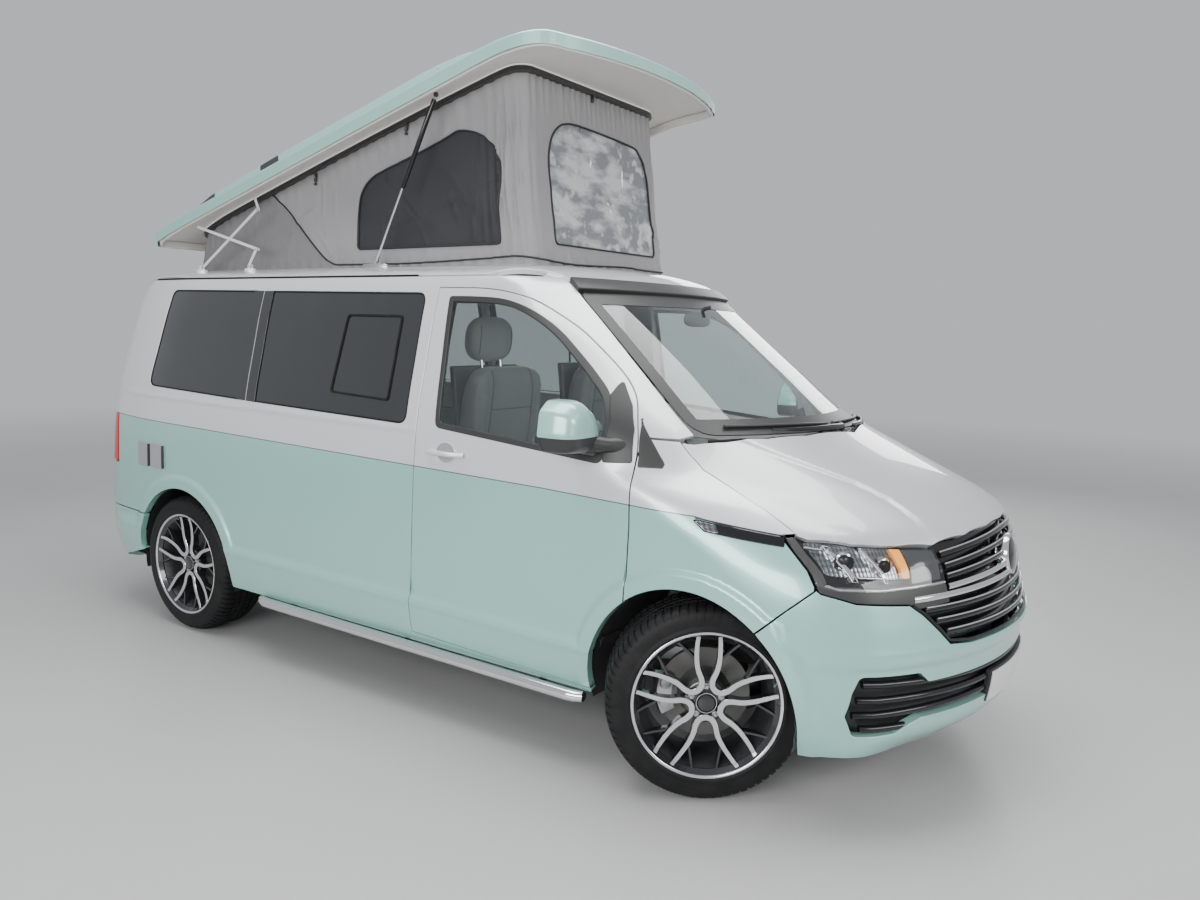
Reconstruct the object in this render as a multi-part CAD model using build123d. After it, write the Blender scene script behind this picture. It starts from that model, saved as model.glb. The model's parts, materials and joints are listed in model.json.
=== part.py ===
from build123d import *
import os
from math import cos, hypot, radians, sin

# Camper van with a raised pop-top roof. Millimetres, +X forward, +Y left, +Z up.
# The origin is on the ground, at the middle of the length and of the width.

# Overall sizes
LENGTH = 4904
X_NOSE = LENGTH / 2
WHEELBASE = 3000
X_FRONT_AXLE = X_NOSE - 909
X_REAR_AXLE = X_FRONT_AXLE - WHEELBASE
HALF_TRACK = 815
TYRE_R = 356
RIM_R = 266
KINGPIN_Y = HALF_TRACK - 25
STEER_REST = 33.0
ROOF_RAISE = 15.0

# Wall and gap sizes
WALL = 55
GAP = 6
GLASS_OUT = 6
GLASS_IN = 12
LAMP_DEPTH = 85
ARCH_R = 402
WELL_INNER_Y = 478
# Space beside the middle plane that holds one side's panels
SIDE_LOW = 560
SIDE_HIGH = 1100

# Outer body by level. Columns: z, x_rear, y_side, x_side, x_mid, y_mid, x_front.
# x_side is where the flat side ends, x_mid and y_mid the end of the front corner.
BODY_LEVELS = (
    (228, -2378, 880, 1720, 2130, 750, 2360),
    (330, -2430, 925, 1740, 2165, 775, 2432),
    (480, -2452, 948, 1750, 2180, 780, 2452),
    (640, -2450, 950, 1740, 2170, 780, 2446),
    (760, -2432, 950, 1700, 2140, 775, 2418),
    (860, -2421, 949, 1620, 2120, 740, 2396),
    (960, -2411, 947, 1480, 2090, 640, 2362),
    (1010, -2406, 946, 1380, 1990, 650, 2300),
    (1060, -2401, 944, 1300, 1860, 670, 2195),
    (1160, -2389, 938, 1100, 1530, 765, 1965),
    (1265, -2375, 926, 1078, 1400, 740, 1735),
    (1500, -2335, 879, 850, 1155, 700, 1405),
    (1750, -2280, 822, 643, 885, 665, 1045),
    (1850, -2235, 785, 565, 770, 640, 880),
    (1900, -2160, 640, 470, 620, 520, 745),
    (1912, -2060, 430, 240, 350, 330, 430),
)
TAPER_LENGTH = 800
TAPER_IN = 45
CORNER_X = 290
CORNER_Y = 280
REAR_CROWN = 40

# Side view outlines, (x, z)
DOOR = ((216, 337), (1180, 303), (1297, 560), (1300, 1256), (1273, 1377), (1137, 1495),
        (930, 1651), (776, 1738), (544, 1790), (253, 1796))
DOOR_WINDOW = ((345, 1228), (1168, 1160), (1181, 1316), (1144, 1400), (978, 1554),
               (794, 1690), (588, 1752), (322, 1758))
SLIDING_DOOR = ((-918, 345), (204, 337), (204, 1800), (-906, 1800))
REAR_PANE = ((-1772, 1283), (-940, 1255), (-928, 1783), (-1689, 1788))
MIDDLE_PANE = ((-896, 1254), (173, 1226), (184, 1774), (-884, 1782))
BODY_SIDE = ((-2500, 392), (-1000, 300), (1294, 285), (1294, 1190), (1430, 1234), (1430, 1261),
             (1398, 1262), (1390, 1300), (840, 1900), (-2500, 1900))
WING = ((1306, 285), (1306, 1182), (1400, 1216), (2030, 1000), (2010, 822), (1815, 660), (1815, 285))
FRONT_BUMPER = ((1821, 200), (1821, 657), (2016, 819), (2600, 819), (2600, 200))
REAR_BUMPER = ((-2600, 200), (-1690, 200), (-1690, 386), (-1752, 584), (-2600, 584))

# Front view outlines, (y, z), the half with positive y first, then mirrored
WINDSCREEN = ((706, 1266), (648, 1792))
TAILGATE = ((775, 592), (800, 1150), (700, 1812))
TAILGATE_WINDOW = ((690, 1262), (620, 1742))
HEADLAMP = ((456, 786), (850, 826), (905, 985), (456, 929))
GRILLE = ((434, 624), (535, 635), (600, 716), (500, 755), (448, 786), (448, 926), (200, 970))
LOWER_INTAKE = ((614, 381), (702, 336), (816, 335), (843, 410), (822, 542), (641, 538), (606, 504))
BONNET_FRONT = ((200, 977), (450, 939), (905, 994), (950, 1258))
TAIL_LAMP = ((812, 828), (1000, 828), (1000, 1108), (812, 1108))

# Plan view outline of the bonnet, (x, y), the half with positive y first
BONNET = ((1772, 0), (1676, 400), (1560, 600), (1470, 680), (1396, 716), (1604, 768), (1880, 802),
          (2060, 800), (2500, 800))

# Blocks of space that the roof panel takes, (x0, x1, half width, z0)
ROOF_BLOCKS = ((-2600, 1300, 1000, 1850), (600, 1300, 648, 1795), (-2600, -2100, 712, 1812))

# Pop-top, in the closed position
POP_PIVOT = (-2360, 1930)
POP_REAR = -1990
POP_FRONT = 965
POP_HALF_W = 745
POP_WALL = 28
POP_TOP = ((POP_REAR, 1930), (-1700, 1932), (-400, 1952), (268, 1949), (620, 1936), (965, 1880),
           (965, 1916), (848, 1962), (520, 2021), (-532, 2052), (-1565, 2034), (POP_REAR, 1985))
POP_POCKET = ((POP_REAR + 60, 1900), (880, 1860), (840, 1930), (500, 1990), (-532, 2020),
              (-1540, 2004), (POP_REAR + 60, 1965))
CANVAS = ((-1650, 1914), (560, 1914), (445, 2700), (-1690, 2118))
CANVAS_HALF_W = 575
CANVAS_WALL = 6
POP_ARCH = ((POP_HALF_W, 1800), (POP_HALF_W, 2004), (600, 2032), (300, 2050))
POP_PLAN = ((POP_FRONT, 0), (880, 640), (700, POP_HALF_W), (POP_REAR + 70, POP_HALF_W), (POP_REAR, 700))
ROOF_OPENING = ((-1450, -520), (560, -520), (560, 520), (-1450, 520))

# Pop-top stays, at their side positions and, for the upper ends, as raised, (x, z)
STAY_Y = 644
STAY_FOOT = (-310, 1922)
STAY_HEAD = (75, 2635)
STAY_TUBE_R = 12
STAY_ROD_R = 7
SCISSOR_FOOT = (-1616, 1914)
LINK_FOOT = (-1182, 1914)
SCISSOR_HEAD = (-1638, 2127)
LINK_HEAD = (-1168, 2250)
ARM_UPPER_END = (-1140, 2195)
ARM_LOWER_END = (-1120, 1995)
BAR_W = 14
BAR_T = 5
# Sideways layers of the scissor bars
Y_UPPER_LINK = 664
Y_ARM_A = 675
Y_ARM_B = 686
Y_LOWER_LINK = 700

# Structure and inside
FLOOR_TOP = 500
FLOOR_T = 40
RAIL_Y = 425
SILL_Y = 800
SILL_Z = 300
TOW_SOCKET_R = 10
TOW_SOCKET_Z = 400
TOW_WAY_TOP = 428
JACK_X = (-950, 980)
# Cross members, (x, half length)
CROSS_MEMBERS = ((-2300, RAIL_Y), (-900, SILL_Y), (0, SILL_Y), (1000, SILL_Y), (1250, RAIL_Y), (2200, RAIL_Y))
SEAT_X = 560
SEAT_Y = 400

# Side bars below the sills
SIDE_BAR_Y = 962
SIDE_BAR_R = 22

# Wheel face, (along, across) from the hub: one of five loops, outer and inner line
LOOP_OUTER = ((250, 142), (60, 44), (42, 22))
LOOP_INNER = ((250, 116), (76, 27), (64, 12))
LOOP_COUNT = 5
LOOP_LOW = 82
LOOP_HIGH = 106

# Wipers, the side positions of pivot and tip
WIPERS = ((520, -60), (-20, -600))
PIVOT_R = 8
PIVOT_BACK = 8


def grown(outline, amount):
    """Moves each side of a convex or concave outline outwards by amount."""
    count = len(outline)
    area = sum(outline[i][0] * outline[(i + 1) % count][1] - outline[(i + 1) % count][0] * outline[i][1]
               for i in range(count))
    turn = 1 if area > 0 else -1
    result = []
    for i in range(count):
        before, here, after = outline[i - 1], outline[i], outline[(i + 1) % count]
        first = (here[0] - before[0], here[1] - before[1])
        second = (after[0] - here[0], after[1] - here[1])
        n1 = (first[1] / hypot(*first) * turn, -first[0] / hypot(*first) * turn)
        n2 = (second[1] / hypot(*second) * turn, -second[0] / hypot(*second) * turn)
        scale = amount / (1 + n1[0] * n2[0] + n1[1] * n2[1])
        result.append((here[0] + (n1[0] + n2[0]) * scale, here[1] + (n1[1] + n2[1]) * scale))
    return result


def both_sides(half):
    """Closes a front view outline, given for one side, about the middle."""
    return list(half) + [(-y, z) for y, z in reversed(half)]


def both_flanks(half):
    """Closes a plan view outline, given for one side, about the middle."""
    return list(half) + [(x, -y) for x, y in reversed(half) if y]


def prism(view, outline, low, high, corner=0):
    """Extrudes an outline along the third axis, with rounded corners where asked."""
    place = {"side": lambda a, b: (a, low, b), "front": lambda a, b: (low, a, b),
             "plan": lambda a, b: (a, b, low)}
    along = {"side": (0, high - low, 0), "front": (high - low, 0, 0), "plan": (0, 0, high - low)}
    face = Face(Wire.make_polygon([place[view](a, b) for a, b in outline], close=True))
    if corner:
        face = face.fillet_2d(corner, face.vertices())
    return Solid.extrude(face, Vector(*along[view]))


def box(x0, x1, y0, y1, z0, z1):
    """Box from its six limits."""
    return Pos((x0 + x1) / 2, (y0 + y1) / 2, (z0 + z1) / 2) * Box(x1 - x0, y1 - y0, z1 - z0)


def rod(start, end, radius):
    """Round bar between two points."""
    way = Vector(*end) - Vector(*start)
    return Solid.make_cylinder(radius, way.length, Plane(origin=start, z_dir=way))


def mirrored(shape):
    """The same shape on the other side of the middle plane."""
    return shape.mirror(Plane.XZ)


def pair(shape):
    """A shape and its mirror image, which don't touch."""
    return Compound(children=[*shape.solids(), *mirrored(shape).solids()])


def together(*shapes):
    """Separate solids in one node."""
    return Compound(children=[solid for shape in shapes for solid in shape.solids()])


def body_level(row, inset):
    """Closed outline of the body at one level, moved inwards."""
    z, x_rear, y_side, x_side, x_mid, y_mid, x_front = row
    x_rear += inset
    y_side -= inset
    x_mid -= inset * 0.7
    y_mid -= inset * 0.7
    x_front -= inset
    z -= inset * 0.6 * min(max((z - 1500) / 350, 0), 1)
    x_taper = x_rear + TAPER_LENGTH
    edges = []
    for side in (-1, 1):
        taper = Edge.make_tangent_arc((x_taper, side * y_side, z), (-1, 0, 0),
                                      (x_rear + CORNER_X, side * (y_side - TAPER_IN), z))
        corner_end = (x_rear + REAR_CROWN, side * (y_side - CORNER_Y), z)
        corner = Edge.make_tangent_arc(taper @ 1, taper % 1, corner_end)
        flank = Edge.make_line((x_taper, side * y_side, z), (x_side, side * y_side, z))
        front = Edge.make_tangent_arc((x_side, side * y_side, z), (1, 0, 0), (x_mid, side * y_mid, z))
        edges.append([corner, taper, flank, front])
    nose = Edge.make_three_point_arc((x_mid, -y_mid, z), (x_front, 0, z), (x_mid, y_mid, z))
    tail = Edge.make_three_point_arc((x_rear + REAR_CROWN, y_side - CORNER_Y, z), (x_rear, 0, z),
                                     (x_rear + REAR_CROWN, -(y_side - CORNER_Y), z))
    return Wire(edges[0] + [nose] + edges[1][::-1] + [tail])


BODY_CACHE = {}


def body(inset):
    """Solid body volume, inset from the outer skin."""
    if inset not in BODY_CACHE:
        rows = [body_level(row, inset) for row in BODY_LEVELS]
        if inset > 0:
            low = BODY_LEVELS[0]
            rows.insert(0, body_level((low[0] - 40, *low[1:]), inset))
        BODY_CACHE[inset] = Solid.make_loft(rows, ruled=True)
    return BODY_CACHE[inset]


def skin(region, outer=0, inner=WALL):
    """The body wall inside a region."""
    return (region & body(outer)) - body(inner)


def side_span(side):
    """Limits across the body of one side's panels."""
    return sorted((side * SIDE_LOW, side * SIDE_HIGH))


def roof_region(gap=0):
    """Space of the roof panel, which the side walls leave free."""
    blocks = [box(x0 - gap, x1, -half - gap, half + gap, z0 - gap, 2000) for x0, x1, half, z0 in ROOF_BLOCKS]
    return blocks[0] + blocks[1] + blocks[2]


def wheel_well(x, side, radius=ARCH_R):
    """Round space about a wheel, open to the outside."""
    return rod((x, side * WELL_INNER_Y, TYRE_R), (x, side * 1300, TYRE_R), radius)


def wells(side, radius=ARCH_R):
    """Both wheel spaces of one side."""
    return wheel_well(X_FRONT_AXLE, side, radius) + wheel_well(X_REAR_AXLE, side, radius)


def raised(shape):
    """Turns a shape from the closed to the raised position of the pop-top."""
    x, z = POP_PIVOT
    return shape.rotate(Axis((x, 0, z), (0, 1, 0)), -ROOF_RAISE)


# Body panels
def body_side(side):
    """Fixed side wall with its pillars, openings and wheel arch."""
    low, high = side_span(side)
    wall = skin(prism("side", BODY_SIDE, low, high)) - roof_region(GAP)
    wall -= prism("side", grown(DOOR, GAP), low, high, 18)
    wall -= prism("side", REAR_PANE, low, high, 40)
    if side < 0:
        wall -= prism("side", MIDDLE_PANE, low, high, 40)
    else:
        wall -= prism("side", grown(SLIDING_DOOR, GAP), low, high, 30)
    wall -= prism("front", grown(both_sides(WINDSCREEN), GAP), 600, 1900)
    wall -= prism("front", grown(both_sides(TAILGATE), GAP), -2600, -2080)
    wall -= prism("side", grown(REAR_BUMPER, 2), low, high)
    wall -= prism("front", grown(tail_lamp_outline(side), 1), -2600, -2120)
    wall -= bonnet_region(GAP)
    return wall - wells(side)


def tail_lamp_outline(side):
    """Outline of the tail lamp seen from behind."""
    return [(side * y, z) for y, z in TAIL_LAMP]


def bonnet_region(gap=0):
    """Space of the bonnet, which the panels beside it leave free."""
    plan = prism("plan", grown(both_flanks(BONNET), gap), 900, 1400)
    return plan & prism("front", grown(both_sides(BONNET_FRONT), gap), 1300, 2600)


def front_door(side):
    """Front door shell with its window opening."""
    low, high = side_span(side)
    door = skin(prism("side", DOOR, low, high, 18))
    door -= prism("side", DOOR_WINDOW, low, high, 40)
    return door - wells(side)


def sliding_door():
    """Sliding door of the left side."""
    door = skin(prism("side", SLIDING_DOOR, SIDE_LOW, SIDE_HIGH, 30))
    return door - prism("side", MIDDLE_PANE, SIDE_LOW, SIDE_HIGH, 40)


def pane(outline, side, corner=40):
    """Pane of glass set in a side opening."""
    low, high = side_span(side)
    return skin(prism("side", grown(outline, -1), low, high, corner), GLASS_OUT, GLASS_IN)


def roof_panel():
    """Roof with its gutters, front header and bed opening."""
    roof = skin(roof_region())
    roof -= prism("plan", ROOF_OPENING, 1700, 2000, 60)
    roof -= prism("front", grown(both_sides(TAILGATE), GAP), -2600, -2080)
    return roof - prism("front", grown(both_sides(WINDSCREEN), GAP), 600, 1900)


def windscreen():
    """Windscreen glass."""
    return skin(prism("front", both_sides(WINDSCREEN), 700, 1900, 40), GLASS_OUT, GLASS_IN)


def tailgate():
    """Tailgate shell with its window opening."""
    gate = skin(prism("front", both_sides(TAILGATE), -2600, -2080, 30))
    return gate - prism("front", both_sides(TAILGATE_WINDOW), -2600, -2080, 50)


def tailgate_glass():
    """Tailgate window."""
    region = prism("front", grown(both_sides(TAILGATE_WINDOW), -1), -2600, -2150, 50)
    return skin(region, GLASS_OUT, GLASS_IN)


def wing(side):
    """Front wing with half of the wheel arch."""
    low, high = side_span(side)
    panel = skin(prism("side", WING, low, high)) - bonnet_region(GAP)
    panel -= prism("front", grown(headlamp_outline(side), 2), 1850, 2600)
    return panel - wheel_well(X_FRONT_AXLE, side)


def headlamp_outline(side):
    """Outline of a headlamp seen from the front."""
    return [(side * y, z) for y, z in HEADLAMP]


def headlamp(side):
    """Headlamp body and lens as one block."""
    return skin(prism("front", headlamp_outline(side), 1852, 2600), 2, LAMP_DEPTH)


def tail_lamp(side):
    """Tail lamp on the rear corner."""
    return skin(prism("front", tail_lamp_outline(side), -2600, -2124), 2, 60)


def front_bumper():
    """Front bumper with its lamp and intake openings."""
    bumper = skin(prism("side", FRONT_BUMPER, -1100, 1100))
    for side in (-1, 1):
        bumper -= prism("front", grown(headlamp_outline(side), 2), 1800, 2600)
        bumper -= wheel_well(X_FRONT_AXLE, side)
    bumper -= prism("front", grown(both_sides(GRILLE), GAP), 1800, 2600)
    bumper -= prism("front", both_sides(LOWER_INTAKE), 1900, 2600)
    return bumper


def barred(outline, bars, low, high, proud):
    """Grille of level bars in front of a back plate."""
    region = prism("front", outline, 1900, 2600)
    grille = skin(region, 38, WALL - 5)
    for count in range(bars):
        z = low + (high - low) * count / (bars - 1)
        grille += skin(region & box(1900, 2600, -1000, 1000, z - 9, z + 9), proud, 42)
    return grille


def lower_grille():
    """Lower intake in four parts, which leave the ways of the towing eyes free."""
    grille = barred(both_sides(LOWER_INTAKE), 3, 442, 496, 14)
    for side in (-1, 1):
        grille -= box(1900, 2600, *sorted((side * (RAIL_Y - 25), side * (RAIL_Y + 25))), 300, TOW_WAY_TOP)
    return grille - box(1900, 2600, -1000, 1000, TOW_WAY_TOP - 2, TOW_WAY_TOP)


def rear_bumper():
    """Rear bumper wrapped around both corners."""
    bumper = skin(prism("side", REAR_BUMPER, -1100, 1100))
    for side in (-1, 1):
        bumper -= wheel_well(X_REAR_AXLE, side)
    return bumper


def bonnet():
    """Bonnet panel."""
    return skin(bonnet_region(), 0, WALL)


def glass_point(y, z, off):
    """Point above the windscreen at a place across it and a height."""
    rows = [row for row in BODY_LEVELS if 1160 <= row[0] <= 1850]
    for low, high in zip(rows, rows[1:]):
        if low[0] <= z <= high[0]:
            share = (z - low[0]) / (high[0] - low[0])
            x_mid, y_mid, x_front = (low[i] + (high[i] - low[i]) * share for i in (4, 5, 6))
            sag = x_front - x_mid
            radius = (y_mid ** 2 + sag ** 2) / (2 * sag)
            return (x_front - radius + (radius ** 2 - y ** 2) ** 0.5 + off, y, z)
    raise ValueError("height outside the windscreen")


def wiper(pivot_y, tip_y):
    """Wiper arm in three straight parts that follow the curved glass."""
    points = []
    for count in range(4):
        y = pivot_y + (tip_y - pivot_y) * count / 3
        points.append(glass_point(y, 1272 + 9 * count, 20))
    pivot_x = points[0][0] - PIVOT_BACK
    arm = rod((pivot_x, pivot_y, 1226), (pivot_x, pivot_y, 1280), PIVOT_R)
    for start, end, radius in zip(points, points[1:], (6.5, 5.5, 4.5)):
        past = Vector(*end) + (Vector(*end) - Vector(*start)).normalized() * 4
        arm += rod(start, (past.X, past.Y, past.Z), radius)
    return arm


def scuttle():
    """Panel between the bonnet and the windscreen, with the two wiper arms."""
    half = ((1820, 0), (1720, 400), (1600, 600), (1560, 640), (1300, 640), (1300, 0))
    region = prism("plan", both_flanks(half), 1130, 1256) - bonnet_region(GAP)
    tray = skin(region, 18, 46) - prism("front", grown(both_sides(WINDSCREEN), 2), 700, 1900)
    return tray + wiper(*WIPERS[0]) + wiper(*WIPERS[1])


# Structure below and inside
def floor_pan():
    """Load floor, cut out over the wheels."""
    floor = body(WALL + 1) & box(-2395, 1390, -1000, 1000, FLOOR_TOP - FLOOR_T, FLOOR_TOP)
    return floor - wells(-1, ARCH_R - 2) - wells(1, ARCH_R - 2)


def bulkhead():
    """Wall between the cab and the engine."""
    half = WELL_INNER_Y - 6
    return body(WALL + 1) & box(1396, 1420, -half, half, FLOOR_TOP - FLOOR_T, 1130)


def chassis_rails():
    """Rails, sill tubes and cross members in one welded frame."""
    low, high = SILL_Z + 20, FLOOR_TOP - FLOOR_T
    frame = box(-2330, 2280, RAIL_Y - 30, RAIL_Y + 30, 360, high)
    frame += box(-2330, 2280, -RAIL_Y - 30, -RAIL_Y + 30, 360, high)
    for side in (-1, 1):
        frame += box(X_REAR_AXLE + 450, X_FRONT_AXLE - 450, side * SILL_Y - 40, side * SILL_Y + 40, low, high)
    for x, half in CROSS_MEMBERS:
        frame += box(x - 30, x + 30, -half, half, 400, high)
    for side in (-1, 1):
        frame -= tow_way(side, TOW_SOCKET_R)
        for x in JACK_X:
            frame += box(x - 50, x + 50, side * SILL_Y - 30, side * SILL_Y + 30, SILL_Z + 4, low + 5)
    return frame


def tow_way(side, radius):
    """Way of a towing eye into the front end of its rail."""
    return rod((2220, side * RAIL_Y, TOW_SOCKET_Z), (2600, side * RAIL_Y, TOW_SOCKET_Z), radius)


def engine():
    """Engine and gearbox as one plain block."""
    return box(1560, 2150, -370, 370, 290, 900)


def front_subframe():
    """Front subframe with the two lower arms."""
    frame = box(1400, 1760, -370, 370, 225, 280)
    for side in (-1, 1):
        arm = [(1440, side * 300), (1700, side * 300), (X_FRONT_AXLE + 30, side * 700),
               (X_FRONT_AXLE - 30, side * 700)]
        frame += prism("plan", arm, 225, 255)
        frame += box(1450, 1510, *sorted((side * 340, side * 455)), 240, 360)
    return frame


def knuckle(side):
    """Upright with its stub axle, straight ahead, turned to the parked angle."""
    x, y = X_FRONT_AXLE, side * KINGPIN_Y
    upright = box(x - 40, x + 40, *sorted((side * 690, side * 735)), 262, 470)
    upright += rod((x, side * 700, TYRE_R), (x, side * (HALF_TRACK + 50), TYRE_R), 30)
    upright += box(x - 180, x - 120, *sorted((side * 700, side * 735)), TYRE_R - 80, TYRE_R + 80)
    upright += box(x - 125, x - 35, *sorted((side * 700, side * 730)), TYRE_R - 25, TYRE_R + 25)
    return upright.rotate(Axis((x, y, 0), (0, 0, 1)), STEER_REST)


def rear_axle():
    """Rear arms, cross beam and stub axles."""
    axle = rod((X_REAR_AXLE + 60, -640, 318), (X_REAR_AXLE + 60, 640, 318), 36)
    for side in (-1, 1):
        axle += box(X_REAR_AXLE - 60, X_REAR_AXLE + 520, side * 610 - 35, side * 610 + 35, 290, 370)
        axle += rod((X_REAR_AXLE, side * 600, TYRE_R), (X_REAR_AXLE, side * (HALF_TRACK + 50), TYRE_R), 30)
        axle += box(X_REAR_AXLE - 60, X_REAR_AXLE, *sorted((side * 430, side * 600)), 300, 360)
    return axle


def wheel(x, side, steered):
    """Tyre and rim of one wheel, in a list."""
    tyre_profile = ((RIM_R - 22, -112), (RIM_R + 8, -127), (320, -127), (346, -112), (TYRE_R, -85),
                    (TYRE_R, 85), (346, 112), (320, 127), (RIM_R + 8, 127), (RIM_R - 22, 112))
    tyre = ring(tyre_profile)
    rim_profile = ((RIM_R - 12, 128), (RIM_R - 23, 128), (RIM_R - 23, 108), (RIM_R - 50, 70), (RIM_R - 50, -90),
                   (RIM_R - 23, -108), (RIM_R - 23, -118), (RIM_R - 35, -118), (RIM_R - 60, -95),
                   (RIM_R - 60, 60), (RIM_R - 34, 116))
    rim = ring(rim_profile)
    rim += disc(31, 165, -32, -10) + disc(31, 78, -14, 92)
    for count in range(LOOP_COUNT):
        rim += loop_spoke().rotate(Axis.Z, count * 360 / LOOP_COUNT - 90)
    parts = []
    for piece in (tyre, rim):
        turned = piece.rotate(Axis.X, 90 if side < 0 else -90)
        placed = Pos(x, side * HALF_TRACK, TYRE_R) * turned
        if steered:
            king = Axis((x, side * KINGPIN_Y, 0), (0, 0, 1))
            placed = placed.rotate(king, STEER_REST)
        parts.append(placed)
    return parts


def loop_spoke():
    """One U-shaped spoke, open towards the rim."""
    loop = prism("plan", both_flanks(LOOP_OUTER), LOOP_LOW, LOOP_HIGH)
    loop -= prism("plan", both_flanks(LOOP_INNER), LOOP_LOW - 1, LOOP_HIGH + 1)
    return loop & Pos(0, 0, (LOOP_LOW + LOOP_HIGH) / 2) * Cylinder(RIM_R - 27, LOOP_HIGH - LOOP_LOW)


def ring(profile):
    """Ring turned about Z from (radius, height) points."""
    face = Face(Wire.make_polygon([(r, 0, z) for r, z in profile], close=True))
    return Solid.revolve(face, 360, Axis.Z)


def disc(inner, outer, low, high):
    """Flat ring about Z."""
    return ring(((inner, low), (outer, low), (outer, high), (inner, high)))


# Inside
def seat(x, y, width):
    """Front seat with its base, back and headrest."""
    low, high = y - width / 2, y + width / 2
    cushion = box(x - 260, x + 260, low, high, 800, 930)
    back = prism("side", [(x - 330, 900), (x - 200, 900), (x - 330, 1480), (x - 440, 1480)], low, high)
    head = prism("side", [(x - 430, 1500), (x - 335, 1500), (x - 355, 1690), (x - 435, 1690)], y - 130, y + 130)
    posts = box(x - 395, x - 375, y - 60, y - 48, 1470, 1510)
    posts += box(x - 395, x - 375, y + 48, y + 60, 1470, 1510)
    base = box(x - 220, x + 220, y - 200, y + 200, FLOOR_TOP, 800)
    return cushion + back + head + posts + base


def on_column(shape):
    """Sets a shape made about Z on the steering column."""
    return Pos(990, -380, 1080) * (Rot(0, -65, 0) * shape)


def dashboard():
    """Dashboard top and face, cut for the steering column."""
    profile = [(1140, 760), (1120, 1010), (1230, 1120), (1392, 1130), (1392, 700)]
    board = prism("side", profile, -770, 770)
    return (board & body(WALL + 2)) - on_column(Solid.make_cylinder(60, 400, Plane((0, 0, -400))))


def steering_wheel():
    """Steering wheel on its column."""
    rim = Solid.make_torus(185, 16)
    for angle in (90, 210, 330):
        rim += rod((0, 0, 0), (180 * cos(radians(angle)), 180 * sin(radians(angle)), 0), 12)
    rim += Solid.make_cylinder(60, 40, Plane((0, 0, -25)))
    rim += Solid.make_cylinder(30, 260, Plane((0, 0, -280)))
    return on_column(rim)


def rear_bench():
    """Folding rear bench."""
    bench = box(-1560, -1000, -560, 560, FLOOR_TOP, 900)
    bench += prism("side", [(-1560, 880), (-1400, 880), (-1500, 1500), (-1650, 1500)], -560, 560)
    return bench


def cabinet():
    """Cabinet with the worktop along the right side."""
    return box(-930, 150, -860, -600, FLOOR_TOP, 1170)


# Outside fittings
def side_bars():
    """Bars below the sills with their brackets."""
    tube = rod((-770, -SIDE_BAR_Y, 286), (1090, -SIDE_BAR_Y, 274), SIDE_BAR_R)
    for x in (-600, 160, 900):
        tube += rod((x, -SIDE_BAR_Y, 272), (x, -SILL_Y, 272), 10)
        tube += rod((x, -SILL_Y, 262), (x, -SILL_Y, SILL_Z + 20), 12)
    return tube


def mirror(side):
    """Door mirror housing and foot."""
    outline = [(930, 1215), (1000, 1196), (1125, 1212), (1148, 1285), (1130, 1372), (1060, 1396),
               (970, 1380), (935, 1310)]
    shell = prism("front", [(side * y, z) for y, z in outline], 1040, 1175, 24)
    arm = [(side * y, z) for y, z in ((846, 1205), (960, 1205), (960, 1255), (846, 1255))]
    foot = prism("front", arm, 1130, 1215)
    return shell + (foot - body(0))


def deflector():
    """Low wind deflector along the front of the roof."""
    region = prism("front", both_sides(((655, 1796), (640, 1850))), 700, 1200)
    strip = (region & body(-26)) - body(-4)
    return strip & box(700, 1300, -1000, 1000, 1780, 1900)


def exhaust():
    """Silencer and tailpipe."""
    return box(-2200, -1900, 120, 380, 226, 326) + rod((-1910, 300, 256), (-700, 300, 256), 25)


def fuel_tank():
    """Fuel tank below the floor."""
    return box(350, 950, 60, 370, 262, 398)


# Pop-top and its stays
def pop_top():
    """Moulded roof shell, hollow below."""
    plan, arch = both_flanks(POP_PLAN), both_sides(POP_ARCH)
    shell = prism("side", POP_TOP, -POP_HALF_W, POP_HALF_W)
    shell &= prism("plan", plan, 1800, 2100)
    shell &= prism("front", arch, POP_REAR - 100, POP_FRONT + 100)
    pocket = prism("side", POP_POCKET, -(POP_HALF_W - POP_WALL), POP_HALF_W - POP_WALL)
    pocket &= prism("plan", grown(plan, -POP_WALL), 1800, 2100)
    pocket &= prism("front", grown(arch, -POP_WALL + 4), POP_REAR - 100, POP_FRONT + 100)
    return raised(shell - pocket)


def canvas():
    """Tent cloth between the roof and the raised shell, as thin walls."""
    outer = prism("side", CANVAS, -CANVAS_HALF_W, CANVAS_HALF_W)
    low, mid = -CANVAS_HALF_W + CANVAS_WALL, CANVAS_HALF_W - CANVAS_WALL
    (x0, z0), (x1, z1), (x2, z2), (x3, z3) = CANVAS
    hollow = [(x0 + CANVAS_WALL, z0 - 20), (x1 - CANVAS_WALL, z1 - 20), (x2 - CANVAS_WALL, z2 + 60),
              (x3 + CANVAS_WALL, z3 + 60)]
    return outer - prism("side", hollow, low, mid)


def bar(start, end, y):
    """Flat bar with round ends between two pivots, at a sideways layer."""
    way = (end[0] - start[0], end[1] - start[1])
    length = hypot(*way)
    across = (-way[1] / length * BAR_W / 2, way[0] / length * BAR_W / 2)
    corners = [(start[0] + across[0], start[1] + across[1]), (end[0] + across[0], end[1] + across[1]),
               (end[0] - across[0], end[1] - across[1]), (start[0] - across[0], start[1] - across[1])]
    flat = prism("side", corners, y, y + BAR_T)
    for x, z in (start, end):
        flat += rod((x, y, z), (x, y + BAR_T, z), BAR_W / 2)
    return flat


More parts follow.
